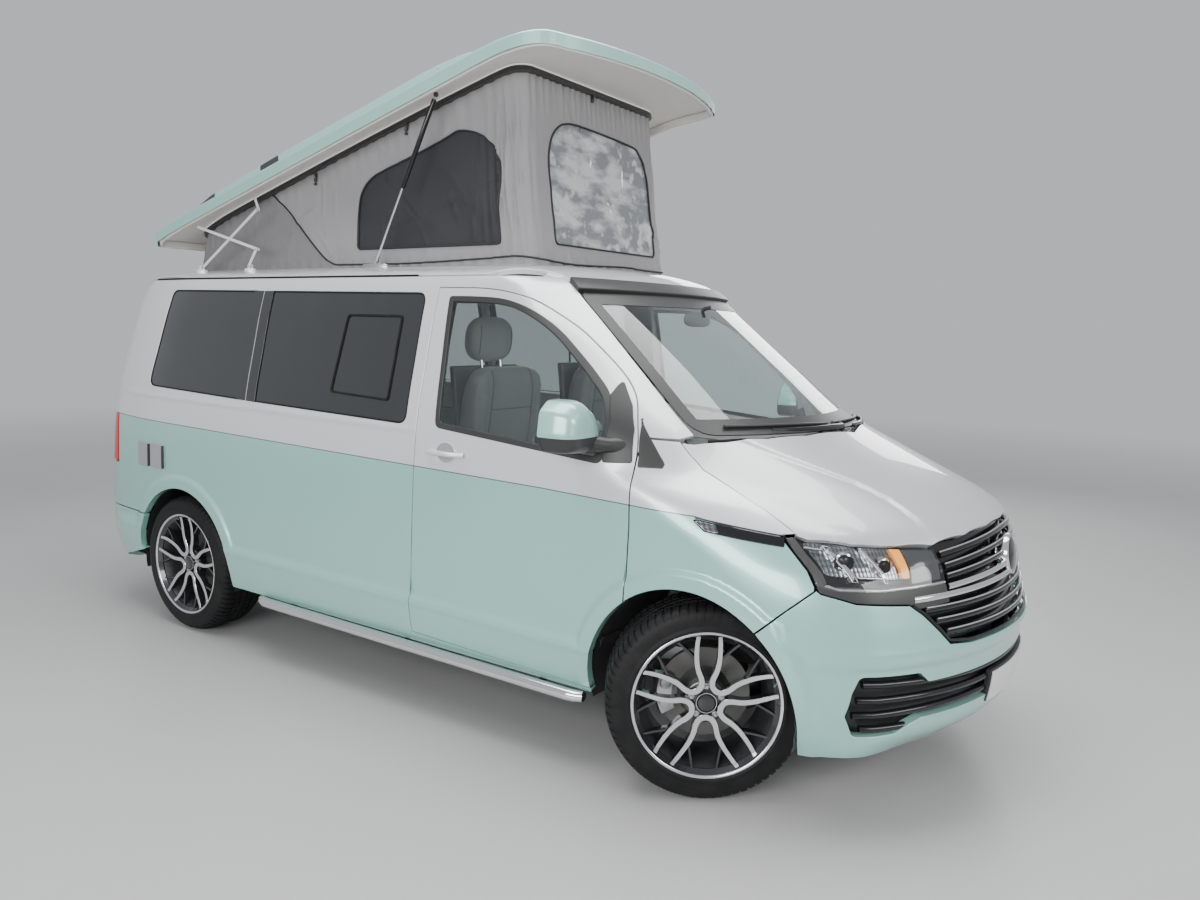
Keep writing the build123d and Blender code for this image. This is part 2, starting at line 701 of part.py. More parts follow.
def stay_brackets():
    """Feet of the stays and scissors on the roof."""
    feet = []
    for x, z, y in ((*STAY_FOOT, STAY_Y + 16), (*SCISSOR_FOOT, Y_ARM_A - 4), (*LINK_FOOT, Y_LOWER_LINK - 2)):
        feet.append(box(x - 22, x + 22, y - 4, y + 1, 1860, z + 9) - body(0))
    return feet


def on_stay(share):
    """Point part of the way up a raised stay."""
    (x0, z0), (x1, z1) = STAY_FOOT, STAY_HEAD
    return (x0 + (x1 - x0) * share, STAY_Y, z0 + (z1 - z0) * share)


def stay_tube():
    """Lower tube of a gas stay, bored for its rod."""
    return rod(on_stay(0), on_stay(0.52), STAY_TUBE_R) - rod(on_stay(0.08), on_stay(0.6), STAY_ROD_R + 1)


def stay_rod():
    """Upper rod of a gas stay."""
    return rod(on_stay(0.51), on_stay(0.98), STAY_ROD_R)


def export(name, shape):
    """Writes one piece."""
    if isinstance(shape, ShapeList):
        shape = together(*shape)
    export_step(shape, f"parts/{name}.step")


def main():
    """Builds every piece and writes it."""
    os.makedirs("parts", exist_ok=True)
    names = {-1: "right", 1: "left"}
    for side, name in names.items():
        export(f"body_side_{name}", body_side(side))
        export(f"front_door_{name}", front_door(side))
        export(f"door_glass_{name}", pane(DOOR_WINDOW, side))
        export(f"mirror_{name}", mirror(side))
        export(f"knuckle_{name}", knuckle(side))
        for place, x, steered in (("front", X_FRONT_AXLE, True), ("rear", X_REAR_AXLE, False)):
            tyre, rim = wheel(x, side, steered)
            export(f"tyre_{place}_{name}", tyre)
            export(f"rim_{place}_{name}", rim)
    export("sliding_door", sliding_door())
    panes = [pane(outline, side) for side in names for outline in (REAR_PANE, MIDDLE_PANE)]
    export("side_glass", together(*panes))
    export("roof_panel", roof_panel())
    export("windscreen", windscreen())
    export("tailgate", tailgate())
    export("tailgate_glass", tailgate_glass())
    export("front_wings", together(wing(-1), wing(1)))
    export("headlamps", together(headlamp(-1), headlamp(1)))
    export("tail_lamps", together(tail_lamp(-1), tail_lamp(1)))
    export("front_bumper", front_bumper())
    export("rear_bumper", rear_bumper())
    export("grille_upper", barred(both_sides(GRILLE), 6, 664, 930, 4))
    export("grille_lower", lower_grille())
    export("bonnet", bonnet())
    export("scuttle", scuttle())
    export("floor_pan", floor_pan())
    export("bulkhead", bulkhead())
    export("chassis_rails", chassis_rails())
    export("engine_block", engine())
    export("front_subframe", front_subframe())
    export("rear_axle", rear_axle())
    export("front_seats", together(seat(SEAT_X, -SEAT_Y, 520), seat(SEAT_X, SEAT_Y, 520)))
    export("dashboard", dashboard())
    export("steering_wheel", steering_wheel())
    export("rear_bench", rear_bench())
    export("cabinet", cabinet())
    export("side_bars", pair(side_bars()))
    export("wind_deflector", deflector())
    export("exhaust", exhaust())
    export("fuel_tank", fuel_tank())
    export("pop_top_shell", pop_top())
    export("canvas", canvas())
    export("stay_brackets", pair(together(*stay_brackets())))
    export("stay_tubes", pair(stay_tube()))
    export("stay_rods", pair(stay_rod()))
    export("scissor_arms_lower", pair(bar(SCISSOR_FOOT, ARM_UPPER_END, Y_ARM_A)))
    export("scissor_arms_upper", pair(bar(SCISSOR_HEAD, ARM_LOWER_END, Y_ARM_B)))
    export("scissor_links_lower", pair(bar(LINK_FOOT, ARM_LOWER_END, Y_LOWER_LINK)))
    export("scissor_links_upper", pair(bar(LINK_HEAD, ARM_UPPER_END, Y_UPPER_LINK)))


main()
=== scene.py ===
import json
import logging
import math
from dataclasses import dataclass
from enum import Enum
from typing import Callable, Iterable, Optional, Sequence

import bmesh
import bpy
import numpy as np
from mathutils import Matrix, Vector
from mathutils.bvhtree import BVHTree
from mathutils.geometry import delaunay_2d_cdt


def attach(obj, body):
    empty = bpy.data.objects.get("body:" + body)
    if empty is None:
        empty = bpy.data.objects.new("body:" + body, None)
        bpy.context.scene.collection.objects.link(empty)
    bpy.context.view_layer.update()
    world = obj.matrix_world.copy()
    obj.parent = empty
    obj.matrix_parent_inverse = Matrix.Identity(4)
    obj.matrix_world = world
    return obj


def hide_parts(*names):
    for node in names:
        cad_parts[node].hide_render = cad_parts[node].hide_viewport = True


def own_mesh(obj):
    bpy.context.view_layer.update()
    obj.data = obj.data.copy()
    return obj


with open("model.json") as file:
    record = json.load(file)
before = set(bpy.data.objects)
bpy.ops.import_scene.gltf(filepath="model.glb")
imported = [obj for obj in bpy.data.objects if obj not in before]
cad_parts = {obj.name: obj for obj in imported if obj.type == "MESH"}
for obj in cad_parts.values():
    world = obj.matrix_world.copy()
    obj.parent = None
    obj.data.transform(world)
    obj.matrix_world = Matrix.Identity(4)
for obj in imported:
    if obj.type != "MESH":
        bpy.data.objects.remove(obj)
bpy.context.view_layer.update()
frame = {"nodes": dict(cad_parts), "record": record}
LOG = logging.getLogger("camper_van")

Points = Sequence[Sequence[float]]
Surface = Callable[[np.ndarray, np.ndarray], np.ndarray]

TYRE_R = 0.356
FRONT_AXLE = 1.543
REAR_AXLE = -1.457
HALF_TRACK = 0.815
KINGPIN_Y = 0.790
STEER_REST = math.radians(33.0)
ROOF_RAISE = math.radians(15.0)
POP_PIVOT = Vector((-2.36, 0.0, 1.93))
PANEL_GAP = 0.0035
HEM = 0.0022
NUDGE = 0.004


class Side(Enum):
    """The two sides of the van, by the sign of Y."""

    RIGHT = -1
    LEFT = 1

    @property
    def word(self) -> str:
        """Lower-case name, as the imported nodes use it."""
        return self.name.lower()


class Effect(Enum):
    """Surface effects, each one shader node group."""

    FLAKE = "flake"
    TWO_TONE = "two_tone"
    GRAIN = "grain"
    WEAVE = "weave"
    TENT_WEAVE = "tent_weave"
    MESH_CLOTH = "mesh_cloth"
    BRUSHED = "brushed"
    RUBBER = "rubber"
    CAST = "cast"
    GLASS = "glass"
    VINYL = "vinyl"
    RIBBED = "ribbed"


@dataclass(frozen=True)
class BodyShape:
    """Outer form of the body as level outlines made of lines and arcs.

    Columns of levels: z, rear x, half width, end x of the flat side, x and y of the
    end of the front corner, nose x.
    """

    levels: tuple = (
        (0.228, -2.378, 0.880, 1.720, 2.130, 0.750, 2.360),
        (0.330, -2.430, 0.925, 1.740, 2.165, 0.775, 2.432),
        (0.480, -2.452, 0.948, 1.750, 2.180, 0.780, 2.452),
        (0.640, -2.450, 0.950, 1.740, 2.170, 0.780, 2.446),
        (0.760, -2.432, 0.950, 1.700, 2.140, 0.775, 2.418),
        (0.860, -2.421, 0.949, 1.620, 2.120, 0.740, 2.396),
        (0.960, -2.411, 0.947, 1.480, 2.090, 0.640, 2.362),
        (1.010, -2.406, 0.946, 1.380, 1.990, 0.650, 2.300),
        (1.060, -2.401, 0.944, 1.300, 1.860, 0.670, 2.195),
        (1.160, -2.389, 0.938, 1.100, 1.530, 0.765, 1.965),
        (1.265, -2.375, 0.926, 1.078, 1.400, 0.740, 1.735),
        (1.500, -2.335, 0.879, 0.850, 1.155, 0.700, 1.405),
        (1.750, -2.280, 0.822, 0.643, 0.885, 0.665, 1.045),
        (1.850, -2.235, 0.785, 0.565, 0.770, 0.640, 0.880),
        (1.900, -2.160, 0.640, 0.470, 0.620, 0.520, 0.745),
        (1.912, -2.060, 0.430, 0.240, 0.350, 0.330, 0.430),
    )
    taper: float = 0.800
    taper_in: float = 0.045
    corner_x: float = 0.290
    corner_y: float = 0.280
    rear_crown: float = 0.040

    def columns(self, z: np.ndarray) -> list[np.ndarray]:
        """Columns of the table at any height, on a monotone cubic.

        Args:
            z: Heights.

        Returns:
            Six arrays: rear x, half width, side end x, corner x, corner y, nose x.
        """
        table = np.array(self.levels)
        knots = table[:, 0]
        z = np.clip(z, knots[0], knots[-1])
        low = np.clip(np.searchsorted(knots, z) - 1, 0, len(knots) - 2)
        step = np.diff(knots)
        share = (z - knots[low]) / step[low]
        found = []
        for column in range(1, 7):
            value = table[:, column]
            rise = np.diff(value) / step
            slope = np.zeros(len(knots))
            same = rise[1:] * rise[:-1] > 0
            slope[1:-1][same] = 2 / (1 / rise[1:][same] + 1 / rise[:-1][same])
            slope[0], slope[-1] = rise[0], rise[-1]
            a, b = share**2 * (3 - 2 * share), share * (1 - share) ** 2
            c = share**2 * (share - 1)
            found.append(value[low] * (1 - a) + value[low + 1] * a
                         + step[low] * (slope[low] * b + slope[low + 1] * c))
        return found

    def raw(self, s: np.ndarray, z: np.ndarray) -> tuple[np.ndarray, np.ndarray]:
        """Point of a level outline, where s is x on the flat side and runs on as length.

        Args:
            s: Distance along the outline, equal to x on the flat side.
            z: Heights.

        Returns:
            x and the half width at each place.
        """
        rear, width, side_x, mid_x, mid_y, nose = self.columns(z)
        dx, dy = mid_x - side_x, width - mid_y
        bend = (dx**2 + dy**2) / (2 * dy)
        turn = 2 * np.arctan2(dy, dx)
        sag = nose - mid_x
        crown = (mid_y**2 + sag**2) / (2 * sag)
        sweep = np.arcsin(np.clip(mid_y / crown, -1, 1))
        along = s - side_x
        angle = np.clip(along / bend, 0, turn)
        front = along > 0
        x = np.where(front, side_x + bend * np.sin(angle), s)
        y = np.where(front, width - bend * (1 - np.cos(angle)), width)
        past = along - bend * turn
        at = sweep - past / crown
        nosed = past > 0
        x = np.where(nosed, nose - crown + crown * np.cos(at), x)
        y = np.where(nosed, crown * np.sin(at), y)
        start = rear + self.taper
        tx, ty = self.taper - self.corner_x, self.taper_in
        big = (tx**2 + ty**2) / (2 * ty)
        big_turn = 2 * math.atan2(ty, tx)
        back = start - s
        angle = np.clip(back / big, 0, big_turn)
        x = np.where(back > 0, start - big * np.sin(angle), x)
        y = np.where(back > 0, width - big * (1 - np.cos(angle)), y)
        cx, cy = self.corner_x - self.rear_crown, self.corner_y - self.taper_in
        heading = big_turn
        chord = math.atan2(cy, cx) - heading
        small = math.hypot(cx, cy) / (2 * math.sin(chord))
        past = back - big * big_turn
        angle = np.clip(past / small, 0, 2 * chord)
        cornered = past > 0
        ex, ey = rear + self.corner_x, width - self.taper_in
        x = np.where(cornered, ex - small * (np.sin(heading + angle) - math.sin(heading)), x)
        y = np.where(cornered, ey - small * (math.cos(heading) - np.cos(heading + angle)), y)
        past = past - small * 2 * chord
        half = width - self.corner_y
        tail = (half**2 + self.rear_crown**2) / (2 * self.rear_crown)
        at = np.arcsin(half / tail) - past / tail
        tailed = past > 0
        x = np.where(tailed, rear + tail - tail * np.cos(at), x)
        y = np.where(tailed, tail * np.sin(at), y)
        return x, y

    def smooth(self, s: np.ndarray, z: np.ndarray, reach: float = 0.03) -> tuple[np.ndarray, np.ndarray]:
        """The outline point averaged over a short reach, so that no line shows at a join.

        Args:
            s: Distance along the outline.
            z: Heights.
            reach: Half width of the averaged window.

        Returns:
            x and half width.
        """
        x, y, total = 0.0, 0.0, 0.0
        for a, wa in ((-1, 1), (0, 2), (1, 1)):
            for b, wb in ((-1, 1), (0, 2), (1, 1)):
                px, py = self.raw(s + a * reach, z + b * reach * 0.6)
                x, y, total = x + px * wa * wb, y + py * wa * wb, total + wa * wb
        return x / total, y / total

    def s_at_x(self, x: np.ndarray, z: np.ndarray) -> np.ndarray:
        """Outline distance of a place given by x, by bisection.

        Args:
            x: Length positions.
            z: Heights.

        Returns:
            Outline distances.
        """
        low, high = np.full_like(x, -3.4), np.full_like(x, 3.4)
        for _ in range(34):
            mid = (low + high) / 2
            under = self.raw(mid, z)[0] < x
            low, high = np.where(under, mid, low), np.where(under, high, mid)
        return (low + high) / 2

    def s_at_y(self, y: np.ndarray, z: np.ndarray, front: bool = True) -> np.ndarray:
        """Outline distance of a place given by y, on the front or the rear.

        Args:
            y: Places across.
            z: Heights.
            front: Whether they are on the front half.

        Returns:
            Outline distances.
        """
        inner, outer = np.full_like(y, 3.4 if front else -3.6), np.full_like(y, 0.0)
        for _ in range(34):
            mid = (inner + outer) / 2
            short = self.raw(mid, z)[1] < np.abs(y)
            inner, outer = np.where(short, mid, inner), np.where(short, outer, mid)
        return (inner + outer) / 2

    def half_at(self, x: np.ndarray, z: np.ndarray) -> np.ndarray:
        """Half width of the level outline at a length position, or -1 outside it.

        Args:
            x: Length positions.
            z: Heights.

        Returns:
            Half widths.
        """
        rear, width, side_x, mid_x, mid_y, nose = self.columns(z)
        dx, dy = mid_x - side_x, width - mid_y
        bend = (dx**2 + dy**2) / (2 * dy)
        half = width - bend + np.sqrt(np.maximum(bend**2 - np.clip(x - side_x, 0, None) ** 2, 0))
        sag = nose - mid_x
        crown = (mid_y**2 + sag**2) / (2 * sag)
        nosed = np.sqrt(np.maximum(crown**2 - (np.clip(x, mid_x, None) - nose + crown) ** 2, 0))
        half = np.where(x > mid_x, nosed, half)
        big = (self.taper - self.corner_x) ** 2 / (2 * self.taper_in) + self.taper_in / 2
        back = np.clip(rear + self.taper - x, 0, None)
        half = half - (big - np.sqrt(np.maximum(big**2 - back**2, 0)))
        deep = np.clip(rear + self.corner_x - x, 0, self.corner_x)
        half = half - (self.corner_y - self.taper_in) * (1 - np.sqrt(np.maximum(1 - (deep / self.corner_x) ** 2, 0)))
        return np.where((x < rear) | (x > nose), -1.0, half)

    def cast(self, start: np.ndarray, way: Sequence[float], far: float = 1.2) -> np.ndarray:
        """Where rays from inside the body leave it.

        Args:
            start: Start points, one a row.
            way: Direction of every ray.
            far: Length of the search.

        Returns:
            Points on the body.
        """
        way = np.array(way, float)
        low, high = np.zeros(len(start)), np.full(len(start), far)
        for _ in range(26):
            mid = (low + high) / 2
            spot = start + way * mid[:, None]
            under = (self.half_at(spot[:, 0], spot[:, 2]) >= np.abs(spot[:, 1])) & (spot[:, 2] < self.levels[-1][0])
            low, high = np.where(under, mid, low), np.where(under, high, mid)
        return start + way * low[:, None]

    def soft_cast(self, start: np.ndarray, way: Sequence[float], first: Sequence[float], second: Sequence[float],
                  reach: float = 0.03) -> np.ndarray:
        """The cast averaged over a short reach each way.

        Args:
            start: Start points.
            way: Direction of the rays.
            first: One direction across the rays.
            second: The other direction across the rays.
            reach: Step of the averaged window.

        Returns:
            Points on the softened body.
        """
        total, found = 0.0, 0.0
        for a, wa in ((-2, 1), (-1, 3), (0, 4), (1, 3), (2, 1)):
            for b, wb in ((-2, 1), (-1, 3), (0, 4), (1, 3), (2, 1)):
                shift = (np.array(first) * a + np.array(second) * b) * reach
                found = found + (self.cast(start + shift, way) - shift) * (wa * wb)
                total += wa * wb
        return found / total


BODY = BodyShape()
WAIST = ((-2.45, 1.113), (0.91, 1.042))
ROCKER = ((-2.5, 0.530), (-0.966, 0.517), (0.21, 0.504), (1.10, 0.489), (2.6, 0.470))


def step(value: np.ndarray, start: float, end: float) -> np.ndarray:
    """Smooth rise from 0 at start to 1 at end."""
    t = np.clip((value - start) / (end - start), 0, 1)
    return t * t * (3 - 2 * t)


def belt_line(x: np.ndarray) -> np.ndarray:
    """Height of the crease below the side windows."""
    return 1.214 - 0.012 * (x + 0.3)


def relief(s: np.ndarray, x: np.ndarray, z: np.ndarray) -> np.ndarray:
    """Height of the pressed lines above the plain body form.

    Args:
        s: Distance along the level outline.
        x: The x of the plain form.
        z: Heights.

    Returns:
        Outward height at each place.
    """
    rocker = np.interp(x, *zip(*ROCKER))
    sides = (1 - step(s, 1.75, 1.95)) * step(s, -2.3, -2.0)
    lift = 0.012 * sides * (1 - step(z, rocker - 0.016, rocker + 0.016))
    lift += 0.005 * sides * np.exp(-(((z - rocker + 0.03) / 0.016) ** 2))
    for centre in (FRONT_AXLE, REAR_AXLE):
        away = np.hypot(x - centre, z - TYRE_R)
        lift = np.maximum(lift, 0.013 * (1 - step(away, 0.452, 0.480)) * (s < 2.3))
    lift = lift + 0.004 * np.exp(-(((z - belt_line(x)) / 0.013) ** 2)) * (1 - step(x, 0.12, 0.32)) * step(x, -2.1, -1.9)
    return lift


def folded(s: np.ndarray, z: np.ndarray) -> np.ndarray:
    """Whether a place of the side lies on a pressed line, where the mesh is finer.

    Args:
        s: Distance along the outline.
        z: Heights.

    Returns:
        A flag for each place.
    """
    x = BODY.raw(s, z)[0]
    near = np.abs(z - np.interp(x, *zip(*ROCKER)) + 0.008) < 0.045
    for centre in (FRONT_AXLE, REAR_AXLE):
        away = np.hypot(x - centre, z - TYRE_R)
        near |= (away < 0.50) & (away > 0.44)
    return near | (np.abs(z - belt_line(x)) < 0.035)


def on_body(side: Side, lift: float = 0.0, pressed: bool = True) -> Surface:
    """Surface of the body in outline distance and height.

    Args:
        side: Side of the van.
        lift: Distance outwards from the surface.
        pressed: Whether the pressed lines are on it.

    Returns:
        Function from s and z to points.
    """

    def place(s: np.ndarray, z: np.ndarray) -> np.ndarray:
        """Points at s and z.

        Args:
            s: Distance along the outline.
            z: Heights.

        Returns:
            The points.
        """
        x, y = BODY.smooth(s, z)
        if pressed or lift:
            ax, ay = BODY.smooth(s + NUDGE, z)
            bx, by = BODY.smooth(s - NUDGE, z)
            tx, ty = ax - bx, ay - by
            size = np.maximum(np.hypot(tx, ty), 1e-9)
            out = lift + (relief(s, x, z) if pressed else 0.0)
            x, y = x - out * ty / size, y + out * tx / size
        return np.stack([x, side.value * y, z + 0 * x], axis=-1)

    return place


def shrink(outline: Points, amount: float) -> np.ndarray:
    """Moves each side of a closed outline inwards by an amount.

    Args:
        outline: Corners in order.
        amount: Distance, outwards where it is negative.

    Returns:
        The moved corners.
    """
    p = np.array(outline, float)
    before, after = p - np.roll(p, 1, 0), np.roll(p, -1, 0) - p
    area = np.sum(p[:, 0] * np.roll(p[:, 1], -1) - np.roll(p[:, 0], -1) * p[:, 1])
    turn = 1.0 if area > 0 else -1.0
    n1 = np.stack([before[:, 1], -before[:, 0]], 1) / np.linalg.norm(before, axis=1)[:, None] * turn
    n2 = np.stack([after[:, 1], -after[:, 0]], 1) / np.linalg.norm(after, axis=1)[:, None] * turn
    scale = -amount / (1 + np.sum(n1 * n2, axis=1))
    return p + (n1 + n2) * scale[:, None]


def rounded(outline: Points, radius: float, spacing: float) -> np.ndarray:
    """Closed outline with round corners, its sides divided.

    Args:
        outline: Corners in order.
        radius: Corner radius, less where a side is short.
        spacing: Longest part of a side.

    Returns:
        Points of the finished line.
    """
    p = np.array(outline, float)
    count = len(p)
    line: list[np.ndarray] = []
    for i in range(count):
        here, before, after = p[i], p[i - 1], p[(i + 1) % count]
        a, b = before - here, after - here
        la, lb = np.linalg.norm(a), np.linalg.norm(b)
        cosine = np.clip(np.dot(a, b) / (la * lb), -1, 1)
        half = math.acos(cosine) / 2
        cut = min(radius / math.tan(half) if half > 0.02 else radius, 0.45 * min(la, lb))
        start, end = here + a / la * cut, here + b / lb * cut
        if cut < 1e-5 or half > 1.56:
            line.append(here)
            continue
        parts = max(2, min(8, int(math.ceil((math.pi - 2 * half) / 0.22))))
        for k in range(parts + 1):
            t = k / parts
            line.append((1 - t) ** 2 * start + 2 * t * (1 - t) * (here * 0.94 + (start + end) * 0.03) + t * t * end)
    full: list[np.ndarray] = []
    for i, here in enumerate(line):
        after = line[(i + 1) % len(line)]
        parts = max(1, int(math.ceil(np.linalg.norm(after - here) / spacing)))
        full += [here + (after - here) * k / parts for k in range(parts)]
    return np.array(full)


def inside(points: np.ndarray, loop: np.ndarray) -> np.ndarray:
    """Whether each point lies inside a closed line.

    Args:
        points: Points to test.
        loop: Corners of the line.

    Returns:
        A flag for each point.
    """
    a, b = loop, np.roll(loop, -1, 0)
    px, py = points[:, 0:1], points[:, 1:2]
    crosses = (a[:, 1] > py) != (b[:, 1] > py)
    with np.errstate(divide="ignore", invalid="ignore"):
        at = a[:, 0] + (py - a[:, 1]) * (b[:, 0] - a[:, 0]) / (b[:, 1] - a[:, 1])
    return np.sum(crosses & (px < at), axis=1) % 2 == 1


@dataclass
class Panel:
    """Pressed panel: a skin on a surface with rolled edges, a flange and an inner side."""

    name: str
    outline: Points
    surface: Surface
    holes: Sequence[Points] = ()
    corner: float = 0.012
    hole_corner: float = 0.045
    spacing: float = 0.03
    hem: float = HEM
    depth: float = 0.022
    gap: float = PANEL_GAP / 2
    closed: bool = False
    dense: Optional[Callable] = None
    edge: int = 0

    def build(self) -> bpy.types.Object:
        """Makes the panel's mesh.

        Returns:
            The object, with material index 1 on its inner side.
        """
        loops = [rounded(shrink(self.outline, self.gap + self.hem), self.corner, self.spacing)]
        loops += [rounded(shrink(hole, -self.gap - self.hem), self.hole_corner, self.spacing) for hole in self.holes]
        for i, loop in enumerate(loops):
            area = np.sum(loop[:, 0] * np.roll(loop[:, 1], -1) - np.roll(loop[:, 0], -1) * loop[:, 1])
            if (area > 0) != (i == 0):
                loops[i] = loop[::-1]
        edge = np.concatenate(loops)
        low, high = edge.min(0), edge.max(0)
        grids = []
        for pitch, fine in ((self.spacing, False), (self.spacing * 0.36, True)):
            if fine and self.dense is None:
                continue
            us, vs = np.arange(low[0] + pitch / 2, high[0], pitch), np.arange(low[1] + pitch / 2, high[1], pitch)
            grid = np.stack(np.meshgrid(us, vs), -1).reshape(-1, 2)
            if self.dense is not None:
                grid = grid[self.dense(grid[:, 0], grid[:, 1]) == fine]
            keep = inside(grid, loops[0])
            for loop in loops[1:]:
                keep &= ~inside(grid, loop)
            grid = grid[keep]
            if len(grid):
                near = np.array([np.min(np.hypot(edge[:, 0] - u, edge[:, 1] - v)) for u, v in grid])
                grids.append(grid[near > pitch * 0.55])
        uv = np.concatenate([edge] + grids)
        links, start = [], 0
        for loop in loops:
            links += [(start + k, start + (k + 1) % len(loop)) for k in range(len(loop))]
            start += len(loop)
        _, _, tris, origin, _, _ = delaunay_2d_cdt([Vector(p) for p in uv], links, [], 0, 1e-7)
        index = [o[0] if o else -1 for o in origin]
        tris = np.array([[index[v] for v in t] for t in tris if len(t) == 3 and all(index[v] >= 0 for v in t)])
        centre = uv[tris].mean(axis=1)
        keep = inside(centre, loops[0])
        for loop in loops[1:]:
            keep &= ~inside(centre, loop)
        tris = tris[keep]
        return self._solid(uv, tris, loops)

    def _solid(self, uv: np.ndarray, tris: np.ndarray, loops: list[np.ndarray]) -> bpy.types.Object:
        """Places the skin in space and adds its edges.

        Args:
            uv: Points of the skin in the surface's own two values.
            tris: Triangles of the skin.
            loops: Boundary lines, the outer one first.

        Returns:
            The finished object.
        """
        spots, normals = self.place(uv)
        facing = np.cross(spots[tris[:, 1]] - spots[tris[:, 0]], spots[tris[:, 2]] - spots[tris[:, 0]])
        flipped = np.sum(facing * normals[tris[:, 0]], axis=1) < 0
        tris = np.where(flipped[:, None], tris[:, ::-1], tris)
        verts, norms = [spots], [normals]
        faces = [list(t) for t in tris]
        marks = [0] * len(faces)
        count, start = len(spots), 0
        for loop in loops:
            size = len(loop)
            ring = np.arange(start, start + size)
            base, up = spots[ring], normals[ring]
            along = np.roll(loop, -1, 0) - np.roll(loop, 1, 0)
            out_uv = np.stack([along[:, 1], -along[:, 0]], 1)
            out_uv /= np.maximum(np.linalg.norm(out_uv, axis=1), 1e-9)[:, None]
            out = self.surface(loop[:, 0] + out_uv[:, 0] * 0.002, loop[:, 1] + out_uv[:, 1] * 0.002)
            out = out - self.surface(loop[:, 0], loop[:, 1])
            out -= np.sum(out * up, 1)[:, None] * up
            out /= np.maximum(np.linalg.norm(out, axis=1), 1e-9)[:, None]
            rows = [ring]
            turns = ((0.55, 0.0), (1.1, 0.0), (math.pi / 2, 0.0), (math.pi / 2, self.depth))
            for angle, sink in turns:
                spot = base + out * self.hem * math.sin(angle) - up * (self.hem * (1 - math.cos(angle)) + sink)
                verts.append(spot)
                norms.append(up * math.cos(angle) + out * math.sin(angle))
                rows.append(np.arange(count, count + size))
                count += size
            if self.closed:
                verts.append(base - up * (self.hem + self.depth))
                norms.append(-up)
                rows.append(np.arange(count, count + size))
                count += size
            sample = np.cross(spots[ring[1]] - spots[ring[0]], out[0])
            flip = np.dot(sample, up[0]) < 0
            for a, b in zip(rows, rows[1:]):
                for k in range(size):
                    quad = [a[k], a[(k + 1) % size], b[(k + 1) % size], b[k]]
                    faces.append(quad[::-1] if flip else quad)
                    marks.append(self.edge)
            start += size
        if self.closed:
            verts.append(spots - normals * (self.hem + self.depth))
            norms.append(-normals)
            faces += [[v + count for v in t[::-1]] for t in tris]
            marks += [1] * len(tris)
        mesh = bpy.data.meshes.new(self.name)
        mesh.from_pydata(np.concatenate(verts).tolist(), [], [[int(v) for v in f] for f in faces])
        mesh.polygons.foreach_set("use_smooth", [True] * len(mesh.polygons))
        mesh.polygons.foreach_set("material_index", marks)
        mesh.normals_split_custom_set_from_vertices(np.concatenate(norms).tolist())
        return link(bpy.data.objects.new(self.name, mesh))

    def place(self, uv: np.ndarray) -> tuple[np.ndarray, np.ndarray]:
        """Points and outward normals of the surface at pairs of values.

        Args:
            uv: Pairs of values.

        Returns:
            The points and the normals.
        """
        u, v, d = uv[:, 0], uv[:, 1], 0.003
        spots = self.surface(u, v)
        du = self.surface(u + d, v) - self.surface(u - d, v)
        dv = self.surface(u, v + d) - self.surface(u, v - d)
        normal = np.cross(du, dv)
        normal /= np.maximum(np.linalg.norm(normal, axis=1), 1e-12)[:, None]
        middle = spots - np.array([0.0, 0.0, 0.9])
        away = np.sum(normal * middle, axis=1).sum()
        return spots, normal if away > 0 else -normal


def link(thing: bpy.types.Object) -> bpy.types.Object:
    """Puts an object in the scene."""
    bpy.context.scene.collection.objects.link(thing)
    return thing


def make(name: str, verts: Points, faces: Sequence[Sequence[int]], sharp: float = 35.0,
         bevel: float = 0.0) -> bpy.types.Object:
    """Object from points and faces, smooth but for its sharp edges.

    Args:
        name: Name of the piece.
        verts: Points.
        faces: Corner numbers of each face.
        sharp: Angle in degrees above which an edge stays sharp.
        bevel: Width of the edge rounding, none where 0.

    Returns:
        The object.
    """
    mesh = bpy.data.meshes.new(name)
    mesh.from_pydata([tuple(map(float, v)) for v in verts], [], [list(map(int, f)) for f in faces])
    box = bmesh.new()
    box.from_mesh(mesh)
    bmesh.ops.recalc_face_normals(box, faces=box.faces)
    box.to_mesh(mesh)
    box.free()
    mesh.shade_smooth()
    mesh.set_sharp_from_angle(angle=math.radians(sharp))
    thing = link(bpy.data.objects.new(name, mesh))
    if bevel:
        round_edges(thing, bevel)
    return thing


def round_edges(thing: bpy.types.Object, width: float, segments: int = 2) -> bpy.types.Object:
    """Adds a bevel to the sharp edges of an object.

    Args:
        thing: The object.
        width: Width of the rounding.
        segments: Faces across it.

    Returns:
        The object.
    """
    mod = thing.modifiers.new("round", "BEVEL")
    mod.width, mod.segments, mod.limit_method = width, segments, "ANGLE"
    mod.angle_limit, mod.harden_normals = math.radians(30), True
    return thing


def lathe(name: str, profile: Points, segments: int = 64, sharp: float = 35.0) -> bpy.types.Object:
    """Solid of revolution about the Z axis from (radius, height) points.

    Args:
        name: Name of the piece.
        profile: Closed section.
        segments: Steps round.
        sharp: Angle in degrees above which an edge stays sharp.

    Returns:
        The object.
    """
    verts, faces, count = [], [], len(profile)
    for i in range(segments):
        a = 2 * math.pi * i / segments
        verts += [(r * math.cos(a), r * math.sin(a), h) for r, h in profile]
    for i in range(segments):
        j = (i + 1) % segments
        for k in range(count):
            m = (k + 1) % count
            faces.append((i * count + k, j * count + k, j * count + m, i * count + m))
    return make(name, verts, faces, sharp)


